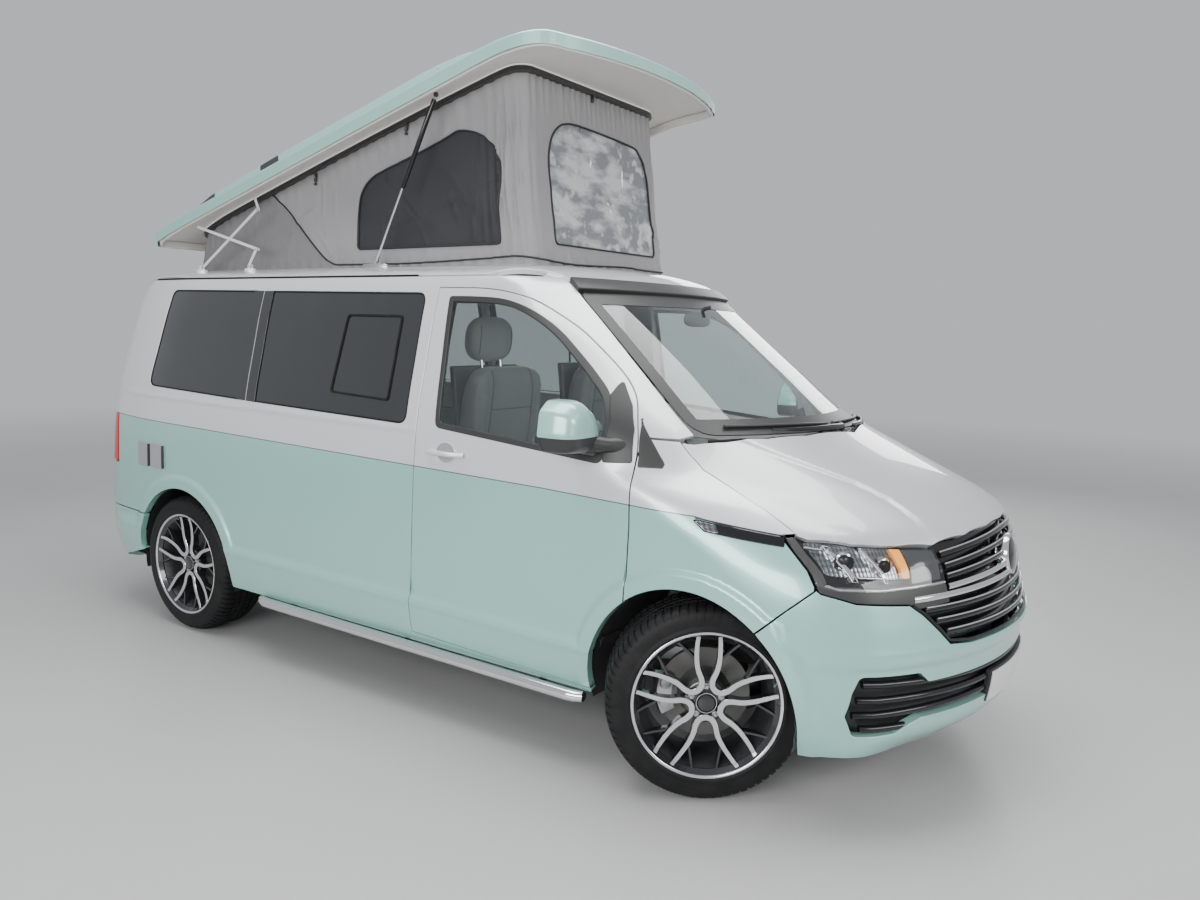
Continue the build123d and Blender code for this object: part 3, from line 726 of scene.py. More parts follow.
def prism(name: str, outline: Points, low: float, high: float, view: str = "side",
          bevel: float = 0.0, corner: float = 0.0) -> bpy.types.Object:
    """Plate cut to an outline and extruded along the third axis.

    Args:
        name: Name of the piece.
        outline: Corners, in (x, z) for side, (y, z) for front or (x, y) for plan.
        low: Start of the extrusion.
        high: End of the extrusion.
        view: side, front or plan.
        bevel: Edge rounding.
        corner: Radius of the outline's corners.

    Returns:
        The object.
    """
    order = {"side": (0, 2, 1), "front": (2, 0, 1), "plan": (0, 1, 2)}[view]
    line = rounded(outline, corner, 9.0) if corner else np.array(outline, float)
    rows = np.array([[p[0], p[1], depth] for depth in (low, high) for p in line])
    verts = rows[:, order]
    count = len(line)
    faces = [list(range(count))[::-1], list(range(count, 2 * count))]
    faces += [[k, (k + 1) % count, count + (k + 1) % count, count + k] for k in range(count)]
    return make(name, verts, faces, 30, bevel)


def tube(name: str, path: Points, radius: float, sides: int = 12, flat: float = 1.0,
         taper: Optional[Sequence[float]] = None, across: Sequence[float] = (0, 0, 1)) -> bpy.types.Object:
    """Bar swept along points, round or oval, with closed ends.

    Args:
        name: Name of the piece.
        path: Centre points in order.
        radius: Half width.
        sides: Steps round the section.
        flat: Height of the section over its width.
        taper: Scale of the section at each point.
        across: Direction that the section's height is nearest to.

    Returns:
        The object.
    """
    p = np.array(path, float)
    way = np.gradient(p, axis=0)
    way /= np.linalg.norm(way, axis=1)[:, None]
    up = np.array(across, float)
    verts, faces = [], []
    for i, here in enumerate(p):
        side = np.cross(way[i], up)
        if np.linalg.norm(side) < 1e-6:
            side = np.cross(way[i], (1.0, 0.0, 0.0))
        side /= np.linalg.norm(side)
        top = np.cross(side, way[i])
        scale = radius * (taper[i] if taper is not None else 1.0)
        for k in range(sides):
            a = 2 * math.pi * k / sides
            verts.append(here + side * math.cos(a) * scale + top * math.sin(a) * scale * flat)
    for i in range(len(p) - 1):
        for k in range(sides):
            m = (k + 1) % sides
            faces.append((i * sides + k, i * sides + m, (i + 1) * sides + m, (i + 1) * sides + k))
    faces.append(list(range(sides))[::-1])
    faces.append([(len(p) - 1) * sides + k for k in range(sides)])
    return make(name, verts, faces, 50)


def curve_points(points: Points, steps: int = 8) -> np.ndarray:
    """Smooth line through points, for bars and hems that bend.

    Args:
        points: Points to pass through.
        steps: Parts between two points.

    Returns:
        Points of the line.
    """
    p = np.array(points, float)
    ends = np.concatenate([[2 * p[0] - p[1]], p, [2 * p[-1] - p[-2]]])
    line = []
    for i in range(len(p) - 1):
        a, b, c, d = ends[i : i + 4]
        for k in range(steps):
            t = k / steps
            line.append(0.5 * (2 * b + (c - a) * t + (2 * a - 5 * b + 4 * c - d) * t**2
                               + (3 * b - a - 3 * c + d) * t**3))
    return np.array(line + [p[-1]])


def joined(name: str, things: Iterable[bpy.types.Object]) -> bpy.types.Object:
    """Joins objects into one, with their modifiers applied.

    Args:
        name: Name of the joined piece.
        things: Objects, each with its materials.

    Returns:
        The joined object.
    """
    things = list(things)
    shapes = bpy.context.evaluated_depsgraph_get()
    for thing in things:
        if thing.modifiers:
            mesh = bpy.data.meshes.new_from_object(thing.evaluated_get(shapes), depsgraph=shapes)
            thing.modifiers.clear()
            thing.data = mesh
    with bpy.context.temp_override(active_object=things[0], object=things[0], selected_objects=things,
                                   selected_editable_objects=things):
        bpy.ops.object.join()
    things[0].name = name
    things[0].data.name = name
    return things[0]


def moved(thing: bpy.types.Object, matrix: Matrix) -> bpy.types.Object:
    """Moves an object's mesh and leaves its origin in place."""
    thing.data.transform(matrix)
    return thing


class NodeBook:
    """Short way of writing a node tree."""

    def __init__(self, tree: bpy.types.NodeTree) -> None:
        """Keeps the tree."""
        self.tree = tree

    def add(self, kind: str, values: Optional[dict] = None, **options: object) -> bpy.types.Node:
        """Adds a node.

        Args:
            kind: Node type without its ShaderNode prefix.
            values: Socket name or number to a constant or to another socket.
            options: Properties of the node.

        Returns:
            The node.
        """
        node = self.tree.nodes.new(kind if kind.startswith("Node") else "ShaderNode" + kind)
        for key, value in options.items():
            setattr(node, key, value)
        for key, value in (values or {}).items():
            if isinstance(value, bpy.types.NodeSocket):
                self.tree.links.new(value, node.inputs[key])
            else:
                node.inputs[key].default_value = value
        return node

    def math(self, operation: str, a: object, b: object = 0.0, c: object = 0.0) -> bpy.types.NodeSocket:
        """Result of a math node."""
        return self.add("Math", {0: a, 1: b, 2: c}, operation=operation).outputs[0]

    def ramp(self, value: object, low: float, high: float, to_low: float = 0.0,
             to_high: float = 1.0) -> bpy.types.NodeSocket:
        """Value mapped from one range to another and held at its ends."""
        return self.add("MapRange", {0: value, 1: low, 2: high, 3: to_low, 4: to_high}).outputs[0]

    def blend(self, share: object, a: object, b: object, way: str = "MIX") -> bpy.types.NodeSocket:
        """Mix of two colours."""
        node = self.add("Mix", {0: share, 6: a, 7: b}, data_type="RGBA", blend_type=way)
        return node.outputs[2]

    def noise(self, place: object, scale: float, detail: float = 2.0, rough: float = 0.5) -> bpy.types.NodeSocket:
        """Noise value at a place."""
        return self.add("TexNoise", {"Vector": place, "Scale": scale, "Detail": detail,
                                     "Roughness": rough}).outputs[0]


class EffectBook(NodeBook):
    """Node group of one surface effect, with a method for each effect."""

    def __init__(self, effect: Effect) -> None:
        """Builds the group: Color, Second, Scale and Roughness in, Color, Roughness, Height and Alpha out.

        Args:
            effect: Which effect.
        """
        super().__init__(bpy.data.node_groups.new(effect.value, "ShaderNodeTree"))
        for way, sockets in (("INPUT", ("Color", "Second", "Scale", "Roughness")),
                             ("OUTPUT", ("Color", "Roughness", "Height", "Alpha"))):
            for name in sockets:
                kind = "Color" if name in ("Color", "Second") else "Float"
                self.tree.interface.new_socket(name, in_out=way, socket_type="NodeSocket" + kind)
        self.given = self.add("NodeGroupInput")
        self.place = self.add("TexCoord").outputs["Object"]
        found = getattr(self, effect.value)()
        self.add("NodeGroupOutput", dict(zip(("Color", "Roughness", "Height", "Alpha"), found)))

    def spread(self, fine: object, share: float) -> bpy.types.NodeSocket:
        """Colour moved towards the second one by a value."""
        given = self.given.outputs
        return self.blend(self.math("MULTIPLY", fine, share), given["Color"], given["Second"])

    def rougher(self, value: object, share: float) -> bpy.types.NodeSocket:
        """Roughness raised by a share of a value."""
        return self.math("ADD", self.given.outputs["Roughness"], self.math("MULTIPLY", value, share))

    def total(self, *terms: tuple) -> bpy.types.NodeSocket:
        """Sum of values, each times its share.

        Args:
            terms: Pairs of a value and its share.

        Returns:
            The sum.
        """
        found = 0.0
        for value, share in terms:
            found = self.math("MULTIPLY_ADD", value, share, found)
        return found

    def wave(self, axis: tuple) -> bpy.types.NodeSocket:
        """Sine along an axis at the given scale."""
        along = self.add("VectorMath", {0: self.place, 1: axis}, operation="DOT_PRODUCT").outputs["Value"]
        return self.math("SINE", self.math("MULTIPLY", along, self.given.outputs["Scale"]))

    def cells(self, output: str = "Color", **options: object) -> bpy.types.NodeSocket:
        """Cells at the given scale."""
        values = {"Vector": self.place, "Scale": self.given.outputs["Scale"]}
        return self.add("TexVoronoi", values, **options).outputs[output]

    def flake(self) -> tuple:
        """Metallic paint: fine flakes and faint orange peel.

        Returns:
            Colour, roughness, height and alpha.
        """
        cells = self.cells()
        colour = self.spread(self.total((cells, 0.35), (self.noise(self.place, 2.2, 4.0), 0.35)), 1.0)
        return colour, self.rougher(cells, 0.06), self.noise(self.place, 55.0, 1.0), 1.0

    def two_tone(self) -> tuple:
        """Two metallic colours that meet on a dark line along the waist, with road dust low down.

        Returns:
            Colour, roughness, height and alpha.
        """
        x, _, z = self.add("SeparateXYZ", {0: self.place}).outputs
        (rear, high), (front, low) = WAIST
        level = self.math("ADD", self.ramp(x, rear, front, high, low), self.ramp(x, front, 1.55, 0.0, -0.025))
        level = self.math("ADD", level, self.ramp(x, 1.55, 1.87, 0.0, -0.060))
        above = self.math("SUBTRACT", z, level)
        shade = self.total((self.cells(), 0.10), (self.noise(self.place, 2.2, 4.0), 0.07))
        upper = self.blend(shade, self.given.outputs["Color"], (0.88, 0.89, 0.90, 1.0))
        lower = self.blend(shade, self.given.outputs["Second"], (0.58, 0.86, 0.80, 1.0))
        colour = self.blend(self.math("GREATER_THAN", above, 0.0), lower, upper)
        line = self.math("LESS_THAN", self.math("ABSOLUTE", above), 0.0021)
        colour = self.blend(line, colour, (0.10, 0.13, 0.14, 1.0))
        dust = self.ramp(self.noise(self.place, 9.0, 6.0), 0.45, 0.8)
        dust = self.math("MULTIPLY", self.ramp(z, 0.62, 0.24), dust)
        colour = self.blend(self.math("MULTIPLY", dust, 0.12), colour, (0.42, 0.42, 0.40, 1.0))
        return colour, self.rougher(dust, 0.15), self.noise(self.place, 55.0, 1.0), 1.0

    def grain(self) -> tuple:
        """Moulded grain with a little haze."""
        cloud = self.noise(self.place, 6.0, 5.0)
        return self.spread(cloud, 0.6), self.rougher(cloud, 0.12), self.cells("Distance", feature="SMOOTH_F1"), 1.0

    def weave(self) -> tuple:
        """Woven cloth: threads both ways, with soft shading over the piece.

        Returns:
            Colour, roughness, height and alpha.
        """
        threads = self.math("MULTIPLY", self.wave((1.0, 0.35, 0.0)), self.wave((0.0, 0.35, 1.0)))
        fluff, cloud = self.noise(self.place, 420.0, 2.0), self.noise(self.place, 3.5, 4.0)
        colour = self.spread(self.total((threads, 0.22), (cloud, 0.55), (fluff, 0.25)), 0.9)
        return colour, self.rougher(fluff, 0.06), self.math("ADD", threads, fluff), 1.0

    def tent_weave(self) -> tuple:
        """Tent cloth: woven, darker behind the slanting seam and darker in patches along its foot.

        Returns:
            Colour, roughness, height and alpha.
        """
        colour, rough, height, alpha = self.weave()
        x, _, z = self.add("SeparateXYZ", {0: self.place}).outputs
        behind = self.ramp(self.math("ADD", z, self.math("MULTIPLY", x, 0.778)), 1.364, 1.357)
        colour = self.blend(self.math("MULTIPLY", behind, 0.42), colour, (0.10, 0.10, 0.11, 1.0))
        foot = self.math("MULTIPLY", self.ramp(z, 2.02, 1.90), self.noise(self.place, 7.0, 5.0))
        return self.blend(self.math("MULTIPLY", foot, 0.4), colour, (0.12, 0.12, 0.13, 1.0)), rough, height, alpha

    def mesh_cloth(self) -> tuple:
        """Open insect mesh: fine holes between dark threads.

        Returns:
            Colour, roughness, height and alpha.
        """
        hole = self.math("MULTIPLY", *(self.ramp(self.wave(axis), 0.15, 0.75)
                                       for axis in ((1.0, 0.0, 0.0), (0.0, 0.0, 1.0))))
        cloud = self.noise(self.place, 5.0, 3.0)
        alpha = self.math("SUBTRACT", 1.0, self.math("MULTIPLY", hole, 0.3))
        return self.spread(cloud, 0.8), self.rougher(cloud, 0.06), hole, alpha

    def brushed(self) -> tuple:
        """Fine turning or polishing lines and small stains on metal.

        Returns:
            Colour, roughness, height and alpha.
        """
        stretched = self.add("Mapping", {"Vector": self.place, "Scale": (0.2, 1.0, 6.0)}).outputs[0]
        lines = self.add("TexNoise", {"Vector": stretched, "Scale": self.given.outputs["Scale"],
                                      "Detail": 3.0}).outputs[0]
        colour = self.spread(self.total((lines, 0.5), (self.noise(self.place, 11.0, 5.0), 0.5)), 0.7)
        return colour, self.rougher(lines, 0.14), lines, 1.0

    def rubber(self) -> tuple:
        """Tyre rubber with dust that has settled unevenly."""
        dust = self.ramp(self.noise(self.place, 14.0, 8.0, 0.62), 0.42, 0.72)
        return self.spread(dust, 0.55), self.rougher(dust, 0.18), self.noise(self.place, 380.0, 2.0), 1.0

    def cast(self) -> tuple:
        """Cast or sprayed metal under the van, with grime."""
        grime = self.ramp(self.noise(self.place, 18.0, 7.0, 0.6), 0.38, 0.7)
        return self.spread(grime, 0.8), self.rougher(grime, 0.2), self.noise(self.place, 240.0, 3.0), 1.0

    def glass(self) -> tuple:
        """Clean glass with the faintest haze."""
        haze = self.ramp(self.noise(self.place, 5.0, 6.0, 0.6), 0.5, 0.85)
        return self.spread(haze, 0.25), self.rougher(haze, 0.03), self.noise(self.place, 3.0, 1.0), 1.0

    def vinyl(self) -> tuple:
        """Clear sheet that has been rolled up: its waves and streaks are painted pale as highlights that stand in for
        glints.

        Returns:
            Colour, roughness, height and alpha.
        """
        bent = self.add("Mapping", {"Vector": self.place, "Scale": (1.0, 1.0, 2.6)}).outputs[0]
        wave = self.ramp(self.noise(bent, 5.5, 3.0), 0.44, 0.62)
        painted_glint_streak = self.ramp(self.noise(self.place, 16.0, 3.0), 0.55, 0.66)
        # Pale colour on the waves and streaks is painted highlight; the waves also roughen the sheet.
        colour = self.spread(self.math("MAXIMUM", wave, painted_glint_streak), 0.9)
        return colour, self.rougher(wave, 0.10), self.noise(bent, 6.0, 2.0), 1.0

    def ribbed(self) -> tuple:
        """Lamp optics: fine upright ribs crossed by level ones.

        Returns:
            Colour, roughness, height and alpha.
        """
        level = self.math("MULTIPLY", self.wave((0.0, 0.0, 1.0)), 0.5)
        ribs = self.math("ADD", self.wave((0.6, 1.0, 0.0)), level)
        colour = self.spread(self.ramp(ribs, -1.5, 1.5), 0.7)
        return colour, self.rougher(self.noise(self.place, 20.0), 0.06), ribs, 1.0


def effect_group(effect: Effect) -> bpy.types.NodeTree:
    """Node group of an effect, built on first use."""
    return bpy.data.node_groups.get(effect.value) or EffectBook(effect).tree


@dataclass(frozen=True)
class Finish:
    """One finish: its effect group and the constants of its shader."""

    name: str
    effect: Effect
    color: tuple
    second: tuple
    roughness: float = 0.5
    metallic: float = 0.0
    scale: float = 900.0
    bump: float = 0.05
    bump_size: float = 0.001
    coat: float = 0.0
    coat_roughness: float = 0.03
    transmission: float = 0.0
    alpha: float = 1.0
    glow: float = 0.0
    sheen: float = 0.0
    specular: float = 0.5
    through: bool = False

    def material(self) -> bpy.types.Material:
        """The finish as a Blender material, made on first use.

        Returns:
            The material.
        """
        known = bpy.data.materials.get(self.name)
        if known:
            return known
        made = bpy.data.materials.new(self.name)
        made.use_nodes = True
        made.diffuse_color = (*self.color, 1.0)
        made.node_tree.nodes.clear()
        book = NodeBook(made.node_tree)
        group = book.add("Group", node_tree=effect_group(self.effect))
        for key, value in (("Color", (*self.color, 1.0)), ("Second", (*self.second, 1.0)),
                           ("Scale", self.scale), ("Roughness", self.roughness)):
            group.inputs[key].default_value = value
        shader = book.add("BsdfPrincipled", {"Base Color": group.outputs["Color"],
                                             "Roughness": group.outputs["Roughness"],
                                             "Metallic": self.metallic, "IOR": 1.5,
                                             "Coat Weight": self.coat, "Coat Roughness": self.coat_roughness,
                                             "Transmission Weight": self.transmission,
                                             "Specular IOR Level": self.specular,
                                             "Sheen Weight": self.sheen, "Alpha": self.alpha})
        if self.bump:
            bump = book.add("Bump", {"Strength": self.bump, "Distance": self.bump_size,
                                     "Height": group.outputs["Height"]})
            made.node_tree.links.new(bump.outputs[0], shader.inputs["Normal"])
        if self.effect is Effect.MESH_CLOTH:
            made.node_tree.links.new(group.outputs["Alpha"], shader.inputs["Alpha"])
        if self.glow:
            shader.inputs["Emission Color"].default_value = (*self.color, 1.0)
            shader.inputs["Emission Strength"].default_value = self.glow
        last = shader.outputs[0]
        if self.through:
            ray = book.add("LightPath").outputs["Is Shadow Ray"]
            clear = book.add("BsdfTransparent")
            last = book.add("MixShader", {0: ray, 1: last, 2: clear.outputs[0]}).outputs[0]
        book.add("OutputMaterial", {"Surface": last})
        return made


class Finishes:
    """Every finish of the van, under the name of what it covers."""

    paint = Finish("two_tone_paint", Effect.TWO_TONE, (0.76, 0.77, 0.79), (0.34, 0.64, 0.57), 0.30, 0.35, 2400.0,
                   0.03, coat=1.0)
    silver = Finish("silver_paint", Effect.FLAKE, (0.56, 0.57, 0.58), (0.74, 0.75, 0.77), 0.30, 0.4, 2400.0,
                    0.03, coat=1.0)
    mint = Finish("mint_paint", Effect.FLAKE, (0.34, 0.62, 0.55), (0.44, 0.72, 0.65), 0.30, 0.35, 2400.0,
                  0.03, coat=1.0)
    gloss_black = Finish("gloss_black", Effect.GRAIN, (0.006, 0.006, 0.007), (0.012, 0.012, 0.014), 0.14, 0.0,
                         300.0, 0.01, coat=0.35, specular=0.3)
    plastic = Finish("black_plastic", Effect.GRAIN, (0.010, 0.010, 0.011), (0.022, 0.022, 0.024), 0.46, 0.0,
                     1400.0, 0.12, 0.0005, specular=0.08)
    trim = Finish("cabin_plastic", Effect.GRAIN, (0.045, 0.046, 0.050), (0.075, 0.076, 0.080), 0.55, 0.0,
                  1200.0, 0.14, 0.0005)
    pale_trim = Finish("pale_lining", Effect.GRAIN, (0.42, 0.42, 0.41), (0.52, 0.52, 0.50), 0.7, 0.0, 900.0,
                       0.10, 0.0005)
    rubber = Finish("seal_rubber", Effect.RUBBER, (0.008, 0.008, 0.008), (0.026, 0.026, 0.025), 0.62, specular=0.2)
    tyre = Finish("tyre_rubber", Effect.RUBBER, (0.010, 0.010, 0.011), (0.028, 0.027, 0.025), 0.50, bump=0.12,
                  bump_size=0.0006, specular=0.2)
    machined = Finish("machined_alloy", Effect.BRUSHED, (0.66, 0.67, 0.69), (0.80, 0.81, 0.83), 0.16, 1.0, 260.0,
                      0.04, 0.0004, coat=0.4)
    wheel_black = Finish("wheel_gloss_black", Effect.GRAIN, (0.012, 0.012, 0.014), (0.030, 0.030, 0.033), 0.14,
                         0.0, 400.0, 0.02, 0.0004, coat=0.8)
    barrel = Finish("inner_barrel", Effect.CAST, (0.05, 0.05, 0.055), (0.09, 0.09, 0.095), 0.42, 0.6, bump=0.05)
    steel = Finish("brake_steel", Effect.BRUSHED, (0.17, 0.165, 0.16), (0.27, 0.265, 0.255), 0.38, 1.0, 320.0, 0.08)
    cast = Finish("cast_metal", Effect.CAST, (0.10, 0.10, 0.10), (0.17, 0.165, 0.16), 0.6, 0.7, bump=0.35)
    chassis = Finish("chassis_black", Effect.CAST, (0.022, 0.022, 0.024), (0.070, 0.068, 0.064), 0.6, 0.1,
                     bump=0.25)
    chrome = Finish("chrome", Effect.BRUSHED, (0.78, 0.79, 0.81), (0.90, 0.90, 0.91), 0.06, 1.0, 90.0, 0.01)
    satin_alloy = Finish("satin_alloy", Effect.BRUSHED, (0.50, 0.51, 0.52), (0.70, 0.70, 0.71), 0.30, 1.0, 200.0,
                         0.04)
    white_steel = Finish("white_steel", Effect.CAST, (0.74, 0.74, 0.73), (0.62, 0.62, 0.60), 0.35, 0.0, bump=0.05)
    clear_glass = Finish("clear_glass", Effect.GLASS, (0.80, 0.90, 0.87), (0.86, 0.93, 0.91), 0.0, 0.0, 1.0, 0.0,
                         transmission=1.0, through=True)
    dark_glass = Finish("privacy_glass", Effect.GLASS, (0.012, 0.014, 0.016), (0.030, 0.033, 0.036), 0.02, 0.0,
                        1.0, 0.02, coat=1.0, coat_roughness=0.0)
    tinted_glass = Finish("tinted_glass", Effect.GLASS, (0.50, 0.53, 0.54), (0.46, 0.49, 0.50), 0.0, 0.0, 1.0, 0.0,
                          transmission=1.0, through=True)
    vent_grey = Finish("vent_grey", Effect.GRAIN, (0.30, 0.30, 0.32), (0.38, 0.38, 0.40), 0.45, 0.0, 1100.0, 0.06)
    lens = Finish("lamp_lens", Effect.GLASS, (0.93, 0.95, 0.96), (0.90, 0.93, 0.95), 0.0, 0.0, 1.0, 0.0,
                  transmission=1.0, through=True)
    smoked = Finish("smoked_lens", Effect.GLASS, (0.030, 0.031, 0.034), (0.06, 0.06, 0.065), 0.05, 0.0, 1.0, 0.0,
                    coat=1.0)
    red_lens = Finish("red_lens", Effect.RIBBED, (0.42, 0.012, 0.016), (0.60, 0.03, 0.035), 0.10, 0.0, 900.0,
                      0.15, coat=1.0)
    amber = Finish("amber_lens", Effect.RIBBED, (0.78, 0.26, 0.03), (0.90, 0.42, 0.07), 0.14, 0.0, 700.0, 0.2,
                   glow=0.25, coat=0.8)
    reflector = Finish("lamp_chrome", Effect.RIBBED, (0.14, 0.145, 0.16), (0.50, 0.52, 0.55), 0.12, 1.0, 420.0, 0.25)
    canvas = Finish("tent_canvas", Effect.TENT_WEAVE, (0.25, 0.242, 0.252), (0.37, 0.358, 0.370), 0.85, 0.0, 2600.0,
                    0.25, 0.0006, sheen=0.15)
    piping = Finish("black_piping", Effect.WEAVE, (0.015, 0.015, 0.017), (0.04, 0.04, 0.043), 0.7, 0.0, 3000.0, 0.2)
    netting = Finish("window_mesh", Effect.MESH_CLOTH, (0.016, 0.017, 0.020), (0.040, 0.042, 0.048), 0.7, 0.0,
                     2800.0, 0.1)
    # Second colour is near white: the painted highlight of the sheet's waves and streaks.
    vinyl = Finish("clear_vinyl", Effect.VINYL, (0.30, 0.32, 0.34), (0.95, 0.96, 0.96), 0.10, 0.0, 1.0, 0.35, 0.01,
                   transmission=0.35, coat=0.8, through=True)
    lining = Finish("roof_lining", Effect.WEAVE, (0.72, 0.69, 0.64), (0.82, 0.80, 0.76), 0.85, 0.0, 2200.0, 0.15)
    seat_cloth = Finish("seat_cloth", Effect.WEAVE, (0.065, 0.065, 0.070), (0.13, 0.13, 0.138), 0.85, 0.0, 1700.0,
                        0.30, 0.0008, sheen=0.2)
    bolster = Finish("seat_bolster", Effect.WEAVE, (0.11, 0.11, 0.115), (0.19, 0.19, 0.195), 0.8, 0.0, 2100.0,
                     0.25, 0.0008, sheen=0.2)
    laminate = Finish("cabinet_laminate", Effect.BRUSHED, (0.34, 0.33, 0.31), (0.46, 0.45, 0.43), 0.4, 0.0, 60.0,
                      0.06)
    # Pale strip with a faint glow: the glow is painted highlight, as the strip is no lamp.
    glowing_highlight_line = Finish("glowing_highlight_line", Effect.GRAIN, (0.92, 0.92, 0.90), (0.98, 0.98, 0.96), 0.4, glow=0.35)
    plate = Finish("blank_plate", Effect.GRAIN, (0.70, 0.70, 0.69), (0.78, 0.78, 0.76), 0.28, 0.0, 500.0, 0.02,
                   coat=0.6)


def finish_piece(piece: bpy.types.Object, body: str, finishes: Sequence[Finish], replaces: Sequence[str] = ()) -> bpy.types.Object:
    """Gives a piece its materials and its body, and reports it.

    Args:
        piece: The piece, in place.
        body: Body that it rides on.
        finishes: Finishes by material index, or none where it has its own.
        replaces: CAD nodes that it stands for.

    Returns:
        The piece.
    """
    if finishes:
        piece.data.materials.clear()
        for finish in finishes:
            piece.data.materials.append(finish.material())
    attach(piece, body)
    if replaces:
        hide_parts(*replaces)
    LOG.info("%s on %s", piece.name, body)
    return piece


@dataclass
class Studio:
    """Floor, light and camera."""

    lens: float = 28.0
    spot: tuple = (3.0284, -3.6970, 1.6494)
    azimuth: float = 34.0249
    down: float = 7.5165
    roll: float = 1.4206
    floor_color: tuple = (0.47, 0.47, 0.465)

    def build(self) -> None:
        """Makes the floor, the lamps, the world and the camera."""
        self.make_camera()
        self.make_floor()
        self.make_light()

    def make_camera(self) -> None:
        """Sets the camera where the photograph was taken."""
        a, e, r = (math.radians(v) for v in (self.azimuth, self.down, self.roll))
        ahead = Vector((-math.sin(a) * math.cos(e), math.cos(a) * math.cos(e), -math.sin(e)))
        right = Vector((math.cos(a), math.sin(a), 0.0))
        up = right.cross(ahead)
        across = math.cos(r) * right + math.sin(r) * up
        upward = -math.sin(r) * right + math.cos(r) * up
        data = bpy.data.cameras.new("camera")
        data.lens, data.sensor_width = self.lens, 36.0
        camera = link(bpy.data.objects.new("camera", data))
        turn = Matrix((across, upward, -ahead)).transposed().to_4x4()
        camera.matrix_world = Matrix.Translation(self.spot) @ turn
        bpy.context.scene.camera = camera

    def make_floor(self) -> None:
        """Plain pale floor that keeps the van's shadow and reads pale in reflections."""
        size = 40.0
        floor = make("floor", [(-size, -size, 0), (size, -size, 0), (size, size, 0), (-size, size, 0)], [(0, 1, 2, 3)])
        paint = bpy.data.materials.new("studio_floor")
        paint.use_nodes = True
        book = NodeBook(paint.node_tree)
        shader = paint.node_tree.nodes["Principled BSDF"]
        place = book.add("TexCoord").outputs["Object"]
        tone = book.blend(book.noise(place, 0.6, 3.0), (*self.floor_color, 1.0), (0.53, 0.53, 0.525, 1.0))
        paint.node_tree.links.new(tone, shader.inputs["Base Color"])
        shader.inputs["Roughness"].default_value = 0.38
        far = book.ramp(book.add("VectorMath", {0: place}, operation="LENGTH").outputs["Value"], 6.0, 15.0)
        clear = book.add("BsdfTransparent")
        mixed = book.add("MixShader", {0: far, 1: shader.outputs[0], 2: clear.outputs[0]})
        paint.node_tree.links.new(mixed.outputs[0], paint.node_tree.nodes["Material Output"].inputs["Surface"])
        floor.data.materials.append(paint)

    def make_light(self) -> None:
        """Soft lamps above and at the sides, and a pale world."""
        world = bpy.data.worlds.new("studio")
        bpy.context.scene.world = world
        world.use_nodes = True
        book = NodeBook(world.node_tree)
        world.node_tree.nodes.clear()
        ray = book.add("LightPath")
        seen = book.math("MAXIMUM", ray.outputs["Is Camera Ray"], ray.outputs["Is Transmission Ray"])
        seen = book.math("MAXIMUM", seen, ray.outputs["Is Glossy Ray"])
        plain = book.add("Background", {"Color": (0.74, 0.76, 0.78, 1.0), "Strength": 0.60})
        shown = book.add("Background", {"Color": (0.56, 0.58, 0.61, 1.0), "Strength": 1.0})
        both = book.add("MixShader", {0: seen, 1: plain.outputs[0], 2: shown.outputs[0]})
        book.add("OutputWorld", {"Surface": both.outputs[0]})
        lamps = (("top", (0.6, -0.4, 5.4), (0.0, 0.0, 0.6), 5.5, 3.2, 330.0),
                 ("right", (1.6, -6.4, 2.7), (0.0, 0.0, 0.9), 5.5, 1.8, 290.0),
                 ("front", (6.6, -0.6, 2.9), (1.0, 0.0, 0.8), 3.4, 2.0, 140.0),
                 ("left", (-1.0, 6.2, 3.0), (0.0, 0.0, 0.8), 5.0, 1.8, 125.0))
        for name, spot, aim, width, depth, power in lamps:
            data = bpy.data.lights.new("lamp_" + name, "AREA")
            data.shape, data.size, data.size_y, data.energy = "RECTANGLE", width, depth, power
            lamp = link(bpy.data.objects.new("lamp_" + name, data))
            way = Vector(aim) - Vector(spot)
            lamp.matrix_world = Matrix.Translation(spot) @ way.to_track_quat("-Z", "Y").to_matrix().to_4x4()


def side_line(outline: Points, radius: float = 0.0, spacing: float = 0.05) -> np.ndarray:
    """Turns a side view line, in x and z, into outline distance and height.

    Args:
        outline: Closed line.
        radius: Radius of its corners.
        spacing: Longest part.

    Returns:
        Pairs of s and z.
    """
    line = rounded(outline, radius, spacing)
    return np.stack([BODY.s_at_x(line[:, 0], line[:, 1]), line[:, 1]], 1)


def side_run(points: Points, spacing: float = 0.05) -> list[tuple[float, float]]:
    """Open run of side view points, in x and z, as outline distance and height."""
    run = divided(points, spacing)
    return list(zip(BODY.s_at_x(run[:, 0], run[:, 1]), run[:, 1]))


def end_run(points: Points, front: bool, spacing: float = 0.05) -> list[tuple[float, float]]:
    """Open run of front or rear view points, in y and z, as outline distance and height."""
    run = divided(points, spacing)
    return list(zip(BODY.s_at_y(run[:, 0], run[:, 1], front), run[:, 1]))


def divided(points: Points, spacing: float) -> np.ndarray:
    """Open line with its parts no longer than a spacing.

    Args:
        points: Corners of the line.
        spacing: Longest part.

    Returns:
        Points of the line.
    """
    p = np.array(points, float)
    line = [p[0]]
    for a, b in zip(p, p[1:]):
        parts = max(1, int(math.ceil(np.linalg.norm(b - a) / spacing)))
        line += [a + (b - a) * k / parts for k in range(1, parts + 1)]
    return np.array(line)


